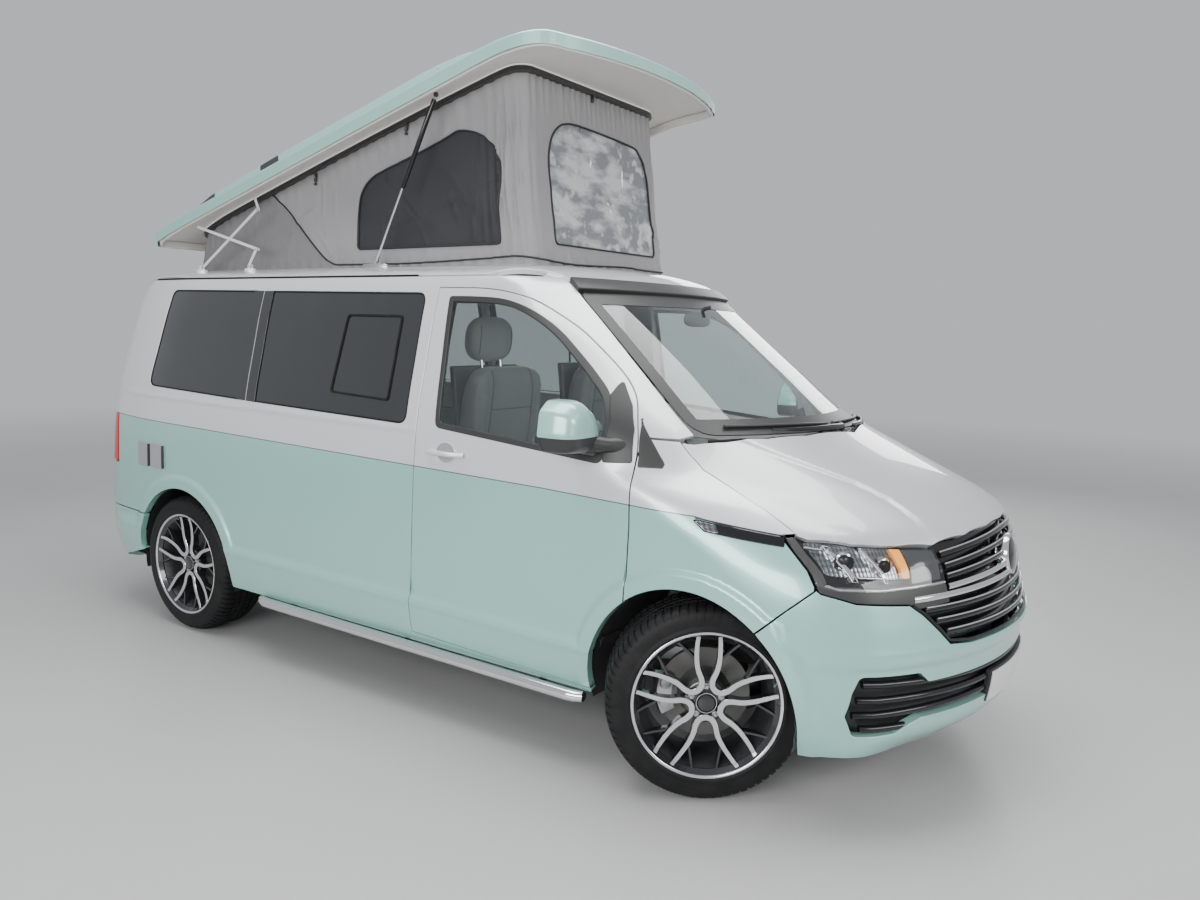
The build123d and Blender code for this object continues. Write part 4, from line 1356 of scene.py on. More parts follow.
def arch(centre: float, start: Sequence[float], end: Sequence[float], parts: int = 30,
         radius: float = 0.402) -> list[tuple[float, float]]:
    """Wheel arch line over an axle, between the directions of two points, in x and z.

    Args:
        centre: Place of the axle along the van.
        start: Point that the line starts towards.
        end: Point that it ends towards.
        parts: Number of points.
        radius: Radius of the arch.

    Returns:
        Points of the line.
    """
    a0 = math.atan2(start[1] - TYRE_R, start[0] - centre)
    a1 = math.atan2(end[1] - TYRE_R, end[0] - centre)
    if a0 < -math.pi / 2:
        a0 += 2 * math.pi
    if a1 < -math.pi / 2:
        a1 += 2 * math.pi
    turns = np.linspace(a0, a1, parts)
    return [(centre + radius * math.cos(a), TYRE_R + radius * math.sin(a)) for a in turns]


def middle_distance(z: np.ndarray, front: bool) -> np.ndarray:
    """Outline distance of the middle of the nose, or of the tail."""
    return BODY.s_at_y(np.zeros_like(z), z, front)


def around(front: bool, lift: float = 0.0, shape: Optional[Callable] = None) -> Surface:
    """Surface round one end of the van, in distance from the middle and height.

    Args:
        front: Whether it is the front end.
        lift: Distance outwards.
        shape: Extra height from the distance and the height.

    Returns:
        Function from distance, positive on the left, and height to points.
    """
    turn = -1 if front else 1

    def place(u: np.ndarray, z: np.ndarray) -> np.ndarray:
        """Points at u and z.

        Args:
            u: Distance from the middle, positive on the left.
            z: Heights.

        Returns:
            The points.
        """
        middle = middle_distance(z, front)
        spot = 0.0
        for shift, weight in ((-0.03, 1), (0.0, 2), (0.03, 1)):
            v = u + shift
            x, y = BODY.smooth(middle + turn * np.abs(v), z)
            spot = spot + np.stack([x, np.sign(v) * y, z + 0 * x], -1) * weight
        spot = spot / 4
        s = middle + turn * np.abs(u)
        x2, y2 = BODY.smooth(s + NUDGE, z)
        x1, y1 = BODY.smooth(s - NUDGE, z)
        tx, ty = x2 - x1, y2 - y1
        size = np.maximum(np.hypot(tx, ty), 1e-9)
        out = lift + relief(s, x2, z) + (shape(u, z) if shape else 0.0)
        near = np.clip(np.abs(u) / 0.12, 0, 1)
        spot[:, 0] -= out * (ty / size * near + turn * (1 - near))
        spot[:, 1] += np.sign(u) * out * tx / size * near
        return spot

    return place


def from_middle(line: np.ndarray, front: bool) -> np.ndarray:
    """Front or rear view points, in y and z, as distance from the middle and height.

    Args:
        line: Points, with y positive on the left.
        front: Whether they are on the front end.

    Returns:
        Pairs of distance and height.
    """
    y, z = line.T
    away = np.abs(middle_distance(z, front) - BODY.s_at_y(y, z, front))
    return np.stack([np.sign(y) * away, z], 1)


def end_line(points: Points, front: bool, spacing: float = 0.05, radius: float = 0.0) -> np.ndarray:
    """Closed front or rear view line, in y and z, as distance from the middle and height."""
    return from_middle(rounded(points, radius, spacing), front)


def end_line_open(points: Points, front: bool, spacing: float) -> np.ndarray:
    """Open front or rear view line, in y and z, as distance from the middle and height."""
    return from_middle(divided(points, spacing), front)


def end_side_run(points: Points, front: bool, spacing: float = 0.05) -> list[tuple[float, float]]:
    """Open side view run, in x and z, as distance from the middle of an end and height."""
    x, z = divided(points, spacing).T
    return list(zip(np.abs(middle_distance(z, front) - BODY.s_at_x(x, z)), z))


def end_face_run(points: Points, front: bool, spacing: float = 0.05) -> list[tuple[float, float]]:
    """Open front or rear view run, in y and z, as distance from the middle and height."""
    return [tuple(p) for p in end_line_open(points, front, spacing)]


def both(half: Points) -> list[tuple[float, float]]:
    """Closes a line given for positive first values about the middle."""
    return [tuple(p) for p in half] + [(-p[0], p[1]) for p in reversed(list(half)) if abs(p[0]) > 1e-6]


def doubled(half: Sequence[Sequence[float]]) -> list[tuple[float, float]]:
    """Closes a plan line given for y of 0 and more about the middle."""
    return [*half, *[(x, -y) for x, y in reversed(half) if y > 1e-4]]


SIDE_WALL = {"door": ((0.216, 0.337), (1.147, 0.304)), "rear": ((0.253, 1.796), *map(tuple, curve_points(
    ((0.440, 1.795), (0.544, 1.789), (0.664, 1.771), (0.776, 1.737), (0.930, 1.651), (1.035, 1.571), (1.130, 1.491),
     (1.186, 1.436), (1.230, 1.379), (1.268, 1.300), (1.286, 1.245), (1.294, 1.190)), 3)))}
BONNET_EDGE = ((1.400, 1.249), (1.441, 1.211), (1.507, 1.160), (1.571, 1.130), (1.636, 1.102), (1.696, 1.076),
               (1.753, 1.051), (1.811, 1.020), (1.855, 0.996), (1.883, 0.981))
DOOR_WINDOW = ((0.345, 1.228), (1.168, 1.160), *map(tuple, curve_points(
    ((1.181, 1.316), (1.140, 1.402), (1.064, 1.478), (0.978, 1.554), (0.888, 1.629), (0.794, 1.687), (0.695, 1.728),
     (0.588, 1.750), (0.450, 1.757), (0.322, 1.758)), 4)))
MIDDLE_PANE = ((-0.896, 1.254), (0.173, 1.226), (0.184, 1.774), (-0.884, 1.782))
REAR_PANE = ((-1.772, 1.283), (-0.940, 1.255), (-0.928, 1.783), (-1.689, 1.788))


@dataclass
class SideWalls:
    """Fixed side walls, the sliding door, their panes and the vent flaps."""

    sill: float = 0.286
    rail: float = 1.846
    depth: float = 0.030
    bridges: tuple = (((-0.990, 1.2560), (-0.9200, 1.2535), (-0.9080, 1.7835), (-0.978, 1.7845)),
                      ((-0.9150, 1.2535), (-0.846, 1.2510), (-0.834, 1.7830), (-0.9030, 1.7835)))
    window: tuple = ((-0.321, 1.329), (0.056, 1.313), (0.070, 1.680), (-0.279, 1.680))

    def build(self) -> None:
        """Makes both sides."""
        for side in Side:
            self.wall(side)
            self.panes(side)
            self.jambs(side)
        self.sliding_door()
        self.vents()

    def wall(self, side: Side) -> None:
        """Makes a fixed wall with its door opening and arches.

        Args:
            side: Side of the van.
        """
        line = side_run([(-1.059, 0.300), (1.1455, self.sill), (1.1455, 0.3025)])
        if side is Side.RIGHT:
            line += side_run([(1.1455, 0.3045), (0.216, 0.337), (0.253, 1.796)])
        else:
            line += side_run([(1.1455, 0.3045), (0.210, 0.337), (-0.918, 0.345), (-0.906, 1.800), (0.253, 1.797)])
        line += side_run(SIDE_WALL["rear"])
        line += side_run([(1.300, 1.2605), (1.397, 1.2525)])
        line += end_run([(0.712, 1.266), (0.650, 1.792), (0.650, 1.844)], True)
        line += side_run([(0.50, self.rail), (-1.60, self.rail)])
        line += end_run([(0.714, self.rail), (0.709, 1.815), (0.800, 1.150), (0.7985, 1.108)], False)
        line += side_run([(-2.120, 1.107), (-2.120, 0.830)])
        line += end_run([(0.788, 0.830), (0.776, 0.590)], False)
        line += side_run([(-2.20, 0.587), (-1.790, 0.587)])
        line += side_run(arch(REAR_AXLE, (-1.790, 0.587), (-1.059, 0.300), 50))
        holes = [side_line(REAR_PANE, 0.045)]
        if side is Side.RIGHT:
            holes.append(side_line(MIDDLE_PANE, 0.045))
        panel = Panel(f"side_wall_{side.word}", tidy_line(line), on_body(side), holes, 0.0, 0.0, closed=True,
                      depth=self.depth, dense=folded)
        finish_piece(panel.build(), "chassis", (Finishes.paint, Finishes.pale_trim), [f"body_side_{side.word}"])

    def sliding_door(self) -> None:
        """Makes the sliding door's skin on the left side."""
        outline = side_line(((-0.918, 0.345), (0.204, 0.337), (0.241, 1.798), (-0.906, 1.799)), 0.012)
        panel = Panel("sliding_door_skin", outline, on_body(Side.LEFT), [side_line(MIDDLE_PANE, 0.045)], 0.0, 0.0,
                      closed=True, depth=self.depth, dense=folded)
        finish_piece(panel.build(), "chassis", (Finishes.paint, Finishes.pale_trim), ["sliding_door"])

    def panes(self, side: Side) -> None:
        """Makes the dark panes with their raised frame line and the inset sliding window.

        Args:
            side: Side of the van.
        """
        parts = []
        finish = Finishes.dark_glass if side is Side.RIGHT else Finishes.tinted_glass
        for outline in (REAR_PANE, MIDDLE_PANE):
            glass = Panel("pane", side_line(outline, 0.045), on_body(side, -0.004, False), (), 0.0, gap=0.001,
                          depth=0.003, closed=True)
            parts.append(tinted(glass.build(), finish, finish))
            rim = Panel("pane_rim", side_line(outline, 0.045), on_body(side, -0.0015, False),
                        [side_line(shrink(outline, 0.006), 0.040)], 0.0, 0.0, gap=0.0, depth=0.004, hem=0.001)
            parts.append(tinted(rim.build(), Finishes.rubber))
        for outline in self.bridges:
            parts.append(applied("bridge", side_line(outline, 0.004), on_body(side, 0.0018, False), 0.005, 0.001,
                                 Finishes.dark_glass))
        line = Panel("window_frame", side_line(self.window, 0.02), on_body(side, 0.002, False),
                     [side_line(shrink(self.window, 0.010), 0.014)], 0.0, 0.0, gap=0.0, depth=0.006, hem=0.002)
        parts.append(tinted(line.build(), Finishes.rubber))
        finish_piece(joined(f"side_panes_{side.word}", parts), "chassis", (), ["side_glass"])

    def jambs(self, side: Side) -> None:
        """Makes the dark pillar behind the gaps of the doors.

        Args:
            side: Side of the van.
        """
        outline = side_line(((0.150, 0.335), (0.285, 0.335), (0.315, 1.800), (0.150, 1.800)))
        panel = Panel(f"pillar_{side.word}", outline, on_body(side, -0.036, False), gap=0.0, corner=0.0, closed=True,
                      depth=0.02)
        finish_piece(panel.build(), "chassis", (Finishes.rubber, Finishes.pale_trim))

    def vents(self) -> None:
        """Makes the two grey flaps low on the right rear quarter."""
        parts = []
        for low, high in ((-1.846, -1.740), (-1.718, -1.605)):
            outline = side_line(((low, 0.850), (high, 0.846), (high, 0.975), (low, 0.980)), 0.014)
            parts.append(applied("vent", outline, on_body(Side.RIGHT, 0.010), 0.012, 0.004, Finishes.vent_grey))
            start, end = high - 0.006, high + 0.003
            edge = side_line(((start, 0.850), (end, 0.850), (end, 0.972), (start, 0.973)))
            parts.append(applied("line", edge, on_body(Side.RIGHT, 0.0115), 0.012, 0.002, Finishes.plastic))
        finish_piece(joined("vent_flaps", parts), "chassis", ())


def tidy_line(line: Sequence[Sequence[float]]) -> np.ndarray:
    """Drops points that repeat the one before.

    Args:
        line: Points in order.

    Returns:
        The points that are left.
    """
    kept: list[Sequence[float]] = []
    for point in line:
        if not kept or math.hypot(point[0] - kept[-1][0], point[1] - kept[-1][1]) > 0.004:
            kept.append(point)
    if math.hypot(kept[0][0] - kept[-1][0], kept[0][1] - kept[-1][1]) < 0.004:
        kept.pop()
    return np.array(kept)


@dataclass
class FrontDoor:
    """One front door: shell, glass, window frame, handle and inner trim."""

    side: Side
    frame_width: float = 0.020
    depth: float = 0.030

    def build(self) -> None:
        """Makes the door's pieces."""
        body = f"front_door_{self.side.word}"
        line = side_run([(0.216, 0.337), (1.147, 0.304)])
        line += side_run(arch(FRONT_AXLE, (1.146, 0.303), (1.296, 0.673), 26))
        line += side_run([(1.296, 0.673), (1.302, 0.95), (1.294, 1.190)])
        line += side_run(list(reversed(SIDE_WALL["rear"]))) + side_run([(0.253, 1.796), (0.216, 0.337)])
        shell = Panel(f"door_skin_{self.side.word}", tidy_line(line), on_body(self.side),
                      [side_line(DOOR_WINDOW, 0.03)], 0.0, 0.0, closed=True, depth=self.depth, dense=folded)
        finish_piece(shell.build(), body, (Finishes.paint, Finishes.trim), [body])
        glass = Panel(f"door_pane_{self.side.word}", side_line(shrink(DOOR_WINDOW, 0.008), 0.03),
                      on_body(self.side, -0.007, False), (), 0.0, gap=0.0, depth=0.002, hem=0.001, closed=True)
        finish_piece(glass.build(), body, (Finishes.clear_glass, Finishes.clear_glass),
                     [f"door_glass_{self.side.word}"])
        rim = Panel(f"door_window_frame_{self.side.word}", side_line(shrink(DOOR_WINDOW, -0.004), 0.034),
                    on_body(self.side, 0.001, False), [side_line(shrink(DOOR_WINDOW, self.frame_width), 0.028)],
                    0.0, 0.0, gap=0.0, depth=0.012, hem=0.003)
        finish_piece(rim.build(), body, (Finishes.plastic,))
        door_handle(self.side, 0.415, f"door_handle_{self.side.word}", body)


@dataclass
class Windscreen:
    """Windscreen with its dark border, and the deflector above it."""

    outline: tuple = ((0.706, 1.266), (0.648, 1.792))
    border: float = 0.055

    def build(self) -> None:
        """Makes the pane, the border and the deflector."""
        half = end_line(both(self.outline), True, 0.04, 0.05)
        ring = Panel("windscreen_border", half, around(True, -0.003), [tidy_line(shrink(half, self.border))],
                     0.0, 0.0, gap=0.001, depth=0.004, hem=0.001)
        finish_piece(ring.build(), "chassis", (Finishes.plastic,))
        pane = Panel("windscreen_pane", half, around(True, -0.006), (), 0.0, gap=0.002, depth=0.002, hem=0.001,
                     closed=True)
        finish_piece(pane.build(), "chassis", (Finishes.clear_glass, Finishes.clear_glass), ["windscreen"])
        self.deflector()

    def deflector(self) -> None:
        """Makes the low black strip along the front of the roof."""
        half = end_line(both(((0.655, 1.797), (0.640, 1.850))), True, 0.04)
        strip = Panel("deflector_strip", half, around(True, 0.024), (), 0.02, gap=0.0, depth=0.018, hem=0.006)
        finish_piece(strip.build(), "chassis", (Finishes.plastic,), ["wind_deflector"])


@dataclass
class FrontEnd:
    """Wings, bumper, lamps, grilles, plate and the bare badge place."""

    lamp: tuple = ((0.503, 0.819), (0.735, 0.812), (0.838, 0.818), (0.866, 0.831), (0.842, 0.975),
                   (0.811, 0.979), (0.707, 0.960), (0.592, 0.946), (0.484, 0.937))
    trim: tuple = ((0.500, 0.760), (0.630, 0.752), (0.662, 0.770), (0.748, 0.778), (0.810, 0.784), (0.866, 0.812),
                   (0.866, 0.834), (0.500, 0.822))
    grille: tuple = ((0.0, 0.622), (0.434, 0.622), (0.535, 0.633), (0.621, 0.737), (0.656, 0.770), (0.500, 0.780),
                     (0.480, 0.936), (0.257, 0.966), (0.0, 0.982))
    intake: tuple = ((0.0, 0.384), (0.614, 0.381), (0.658, 0.364), (0.702, 0.336), (0.816, 0.335), (0.843, 0.410),
                     (0.837, 0.487), (0.822, 0.542), (0.641, 0.538), (0.606, 0.503), (0.0, 0.506))

    def build(self) -> None:
        """Makes every piece of the front end."""
        for side in Side:
            self.wing(side)
            self.patch(side)
            self.indicator(side)
            self.headlamp(side)
        self.bumper()
        self.upper_grille()
        self.lower_grille()
        self.plate()

    def wing(self, side: Side) -> None:
        """Makes a front wing with its half of the arch.

        Args:
            side: Side of the van.
        """
        line = side_run(arch(FRONT_AXLE, (1.296, 0.673), (1.804, 0.663), 44))
        line += side_run([(1.804, 0.663), (1.973, 0.818)])
        line += end_run([(0.868, 0.832), (0.844, 0.977)], True)
        line += side_run(list(reversed(BONNET_EDGE)))
        line += side_run([(1.300, 1.2595), (1.294, 1.190), (1.302, 0.95), (1.296, 0.673)])
        panel = Panel(f"wing_{side.word}", tidy_line(line), on_body(side), (), 0.0, depth=0.030, dense=folded)
        finish_piece(panel.build(), "chassis", (Finishes.paint,), ["front_wings"])

    def patch(self, side: Side) -> None:
        """Makes the black corner patch at the foot of the pillar.

        Args:
            side: Side of the van.
        """
        outline = side_line(((1.304, 1.158), (1.388, 1.158), (1.390, 1.176), (1.365, 1.204), (1.306, 1.277),
                             (1.283, 1.306), (1.262, 1.336), (1.277, 1.298), (1.300, 1.192)), 0.006)
        panel = Panel(f"pillar_patch_{side.word}", outline, on_body(side, 0.004, False), (), 0.0, gap=0.0,
                      depth=0.01, hem=0.005)
        finish_piece(panel.build(), "chassis", (Finishes.plastic,))

    def indicator(self, side: Side) -> None:
        """Makes the slim side lamp that runs back from the headlamp.

        Args:
            side: Side of the van.
        """
        outline = ((1.846, 0.974), (1.560, 1.010), (1.546, 1.006), (1.594, 0.972), (1.856, 0.944))
        clear = ((1.627, 0.998), (1.562, 1.006), (1.556, 1.002), (1.598, 0.976), (1.648, 0.970))
        parts = [applied(name, side_line(part, 0.006), on_body(side, lift, False), 0.006, 0.002, finish)
                 for name, part, finish, lift in (("strip", outline, Finishes.gloss_black, 0.003),
                                                  ("clear", clear, Finishes.reflector, 0.0055))]
        x = np.linspace(1.555, 1.846, 10)
        z = 1.014 - (x - 1.555) * 0.128
        path = on_body(side, 0.003, False)(BODY.s_at_x(x, z), z)
        parts.append(tinted(tube("line", path, 0.0028, 8), Finishes.gloss_black))
        finish_piece(joined(f"side_indicator_{side.word}", parts), "chassis", ())

    def lamp_area(self, points: Points, side: Side, radius: float = 0.0) -> np.ndarray:
        """Front view line on one side, for the surface round the nose."""
        return end_line([(side.value * y, z) for y, z in points], True, 0.04, radius)

    def headlamp(self, side: Side) -> None:
        """Makes a headlamp: housing, reflectors, amber strip, smoked end, chrome line and lens.

        Args:
            side: Side of the van.
        """
        rows = (
            ("housing", ((0.495, 0.760), (0.866, 0.815), (0.866, 0.832), (0.842, 0.974), (0.811, 0.978),
                         (0.707, 0.959), (0.592, 0.945), (0.480, 0.936)), -0.062, Finishes.gloss_black, 0.006,
             0.004),
            ("bowl", ((0.715, 0.836), (0.842, 0.850), (0.826, 0.948), (0.715, 0.938)), -0.048, Finishes.reflector,
             0.012, 0.030),
            ("blade", ((0.780, 0.840), (0.795, 0.842), (0.788, 0.948), (0.774, 0.946)), -0.018, Finishes.chrome,
             0.002, 0.030),
            ("inner_bowl", ((0.640, 0.832), (0.704, 0.834), (0.698, 0.934), (0.618, 0.928)), -0.046,
             Finishes.reflector, 0.010, 0.025),
            ("inner_blade", ((0.702, 0.834), (0.714, 0.835), (0.704, 0.940), (0.694, 0.938)), -0.016,
             Finishes.chrome, 0.002, 0.030),
            ("amber", ((0.628, 0.846), (0.655, 0.846), (0.624, 0.934), (0.594, 0.931)), -0.016, Finishes.amber,
             0.003, 0.020),
            ("smoked_end", ((0.514, 0.832), (0.632, 0.828), (0.592, 0.930), (0.492, 0.924)), -0.014,
             Finishes.smoked, 0.006, 0.020),
            ("under_trim", self.trim, -0.004, Finishes.plastic, 0.004, 0.016),
            ("edge", ((0.848, 0.826), (0.866, 0.832), (0.842, 0.974), (0.826, 0.972)), -0.004,
             Finishes.plastic, 0.003, 0.020),
        )
        parts = [applied(name, self.lamp_area(points, side, radius), around(True, lift), depth, 0.003, finish)
                 for name, points, lift, finish, radius, depth in rows]
        parts += self.lamp_lines(side) + self.lamp_eyes(side)
        finish_piece(joined(f"headlamp_inside_{side.word}", parts), "chassis", ())
        lens = Panel(f"headlamp_lens_{side.word}", self.lamp_area(self.lamp, side, 0.008), around(True, -0.001), (),
                     0.0, gap=0.002, depth=0.010, hem=0.003)
        finish_piece(lens.build(), "chassis", (Finishes.lens,), ["headlamps"])

    def lamp_eyes(self, side: Side) -> list[bpy.types.Object]:
        """Dark round projectors with bright rims inside the lamp.

        Args:
            side: Side of the van.

        Returns:
            The parts.
        """
        made = []
        for y, z, size in ((0.776, 0.896, 0.027), (0.682, 0.884, 0.020)):
            run = end_line_open([(side.value * y, z), (side.value * (y + 0.01), z)], True, 0.03)[:1]
            spot = around(True, -0.030)(run[:, 0], run[:, 1])[0]
            way = Vector(around(True, -0.020)(run[:, 0], run[:, 1])[0] - spot)
            dome = lathe("dome", ((0.0005, 0.016), (size * 0.55, 0.013), (size * 0.9, 0.004), (size, -0.012),
                                  (0.0005, -0.012)), 32)
            rim = lathe("rim", ((size, 0.000), (size + 0.003, 0.006), (size + 0.008, 0.003), (size + 0.009, -0.012),
                                (size, -0.012)), 32)
            turn = Matrix.Translation(spot) @ way.to_track_quat("Z", "Y").to_matrix().to_4x4()
            made += [tinted(moved(dome, turn), Finishes.gloss_black), tinted(moved(rim, turn), Finishes.chrome)]
        return made

    def lamp_lines(self, side: Side) -> list[bpy.types.Object]:
        """Chrome line along the bottom of the lamp and the light bars in it.

        Args:
            side: Side of the van.

        Returns:
            The parts.
        """
        made = []
        for points, lift, radius, finish in (
                (((0.505, 0.826), (0.735, 0.819), (0.830, 0.824), (0.852, 0.834)), -0.008, 0.0055, Finishes.chrome),
                (((0.716, 0.852), (0.775, 0.856)), -0.016, 0.005, Finishes.chrome),
                (((0.798, 0.934), (0.828, 0.940)), -0.016, 0.005, Finishes.chrome)):
            run = end_line_open([(side.value * y, z) for y, z in points], True, 0.03)
            made.append(tinted(tube("line", around(True, lift)(*run.T), radius, 10), finish))
        return made

    def bumper(self) -> None:
        """Makes the front bumper round both corners."""
        half = end_side_run([(1.936, 0.250), (1.9395, 0.290)], True)
        half += end_side_run(arch(FRONT_AXLE, (1.9395, 0.290), (1.804, 0.663), 24), True)
        half += end_side_run([(1.804, 0.663), (1.976, 0.822)], True)
        half += end_face_run([(0.866, 0.810), (0.810, 0.782), (0.748, 0.776), (0.662, 0.768), (0.624, 0.735),
                              (0.537, 0.630), (0.434, 0.619), (0.0, 0.619)], True)
        low = end_face_run([(0.0, 0.262), (0.60, 0.252), (0.83, 0.246)], True)
        intake = end_line(both(self.intake), True, 0.05, 0.016)
        panel = Panel("bumper_front", tidy_line(both(low + half)), around(True, 0.0, self.ledge), [intake], 0.0,
                      0.0, depth=0.030)
        finish_piece(panel.build(), "chassis", (Finishes.paint,), ["front_bumper"])

    def ledge(self, u: np.ndarray, z: np.ndarray) -> np.ndarray:
        """Fold above the lower intake and the lip below it.

        Args:
            u: Distance from the middle.
            z: Heights.

        Returns:
            Outward height at each place.
        """
        front = 1 - step(np.abs(u), 0.85, 1.20)
        fold = -0.015 * (1 - step(z, 0.552, 0.592)) * step(z, 0.24, 0.34)
        tuck = -0.045 * (1 - step(z, 0.235, 0.335)) * (1 - step(np.abs(u), 0.55, 0.95))
        return front * (fold + 0.008 * np.exp(-(((z - 0.610) / 0.030) ** 2))) + tuck

    def bars(self, side_lift: float, rows: Sequence[tuple], prefix: str) -> list[bpy.types.Object]:
        """Level bars across the front.

        Args:
            side_lift: Lift of the bars' middle line.
            rows: z at the middle, z at the ends, half length, gap in the middle, half height,
                thickness and finish of each bar.
            prefix: Name of the pieces.

        Returns:
            The bars.
        """
        made = []
        for z0, z1, half, middle, high, thick, finish in rows:
            for sign in (-1, 1):
                y = np.linspace(middle, half, 18)
                z = z0 + (z1 - z0) * (y / half) ** 1.5
                u = sign * np.abs(middle_distance(z, True) - BODY.s_at_y(y, z, True))
                path = around(True, side_lift)(u, z)
                made.append(tinted(tube(prefix, path, thick, 10, high / thick), finish))
        return made

    def backing(self, name: str, half: Points, lift: float, finish: Finish) -> bpy.types.Object:
        """Back plate of a grille."""
        return applied(name, end_line(both(half), True, 0.05), around(True, lift), 0.010, HEM, finish)

    def upper_grille(self) -> None:
        """Makes the grille between the lamps with its chrome-edged bars."""
        chrome, black = Finishes.chrome, Finishes.gloss_black
        slats = ((0.944, 0.906, 0.474, 0.002), (0.903, 0.870, 0.480, 0.002), (0.864, 0.838, 0.486, 0.002),
                 (0.744, 0.742, 0.606, 0.006), (0.703, 0.703, 0.574, 0.006), (0.663, 0.664, 0.540, 0.006))
        rows = [(z0, z1, half, 0.0, 0.0120, 0.010, black) for z0, z1, half, _ in slats]
        lines = [(z0 + 0.011, z1 + 0.011, half - cut, 0.0, 0.0030, 0.0035, chrome) for z0, z1, half, cut in slats]
        wide = [(0.826, 0.808, 0.492, 0.0, 0.0120, 0.008, chrome), (0.790, 0.780, 0.640, 0.0, 0.0120, 0.008, chrome)]
        parts = [self.backing("grille_back", self.grille, -0.045, Finishes.gloss_black)]
        parts += self.bars(-0.014, rows, "bar") + self.bars(-0.006, lines, "line") + self.bars(-0.008, wide, "wide")
        parts += self.surround()
        finish_piece(joined("grille_upper_bars", parts), "chassis", (), ["grille_upper"])
        self.badge()

    def surround(self) -> list[bpy.types.Object]:
        """Thin black edge round the grille opening.

        Returns:
            Its two halves.
        """
        half = ((0.0, 0.626), (0.434, 0.626), (0.532, 0.638), (0.617, 0.738), (0.650, 0.766))
        made = []
        for sign in (-1, 1):
            run = end_line_open([(sign * max(y, 0.001), z) for y, z in half], True, 0.03)
            made.append(tinted(tube("edge", around(True, -0.004)(*run.T), 0.006, 8), Finishes.gloss_black))
        return made

    def badge(self) -> None:
        """Makes the blank round boss in the middle of the grille."""
        centre = around(True, 0.0)(np.array([0.001]), np.array([0.845]))[0]
        boss = lathe("boss", ((0.0005, 0.020), (0.052, 0.017), (0.062, 0.013), (0.066, 0.006), (0.066, -0.03),
                              (0.0005, -0.03)), 56)
        ring = lathe("ring", ((0.066, 0.010), (0.069, 0.015), (0.074, 0.015), (0.077, 0.008), (0.077, -0.03),
                              (0.066, -0.03)), 56)
        turn = Matrix.Translation((centre[0] - 0.010, 0, 0.845)) @ Matrix.Rotation(math.radians(82), 4, "Y")
        parts = [moved(tinted(boss, Finishes.gloss_black), turn), moved(tinted(ring, Finishes.chrome), turn)]
        finish_piece(joined("badge_boss", parts), "chassis", ())

    def lower_grille(self) -> None:
        """Makes the lower intake with its slats."""
        rows = [(z0, z1, half, middle, 0.0125, 0.014, Finishes.gloss_black) for z0, z1, half, middle in (
            (0.490, 0.512, 0.815, 0.0), (0.448, 0.458, 0.825, 0.0), (0.408, 0.405, 0.828, 0.0),
            (0.340, 0.356, 0.805, 0.64))]
        parts = [self.backing("intake_back", ((0.0, 0.360), (0.590, 0.360), (0.700, 0.315), (0.830, 0.315),
                                              (0.862, 0.410), (0.840, 0.565), (0.0, 0.545)), -0.060,
                              Finishes.plastic)]
        parts += self.bars(-0.034, rows, "slat")
        finish_piece(joined("grille_lower_slats", parts), "chassis", (), ["grille_lower"])

    def plate(self) -> None:
        """Makes the blank number plate on its holder."""
        outline = end_line(((-0.260, 0.357), (0.260, 0.357), (0.260, 0.468), (-0.260, 0.468)), True, 0.04, 0.006)
        holder = Panel("holder", outline, around(True, -0.012), (), 0.0, gap=-0.006, depth=0.016).build()
        parts = [tinted(holder, Finishes.plastic),
                 applied("face", outline, around(True, -0.005), 0.004, 0.001, Finishes.plate)]
        finish_piece(joined("plate_front", parts), "chassis", ())


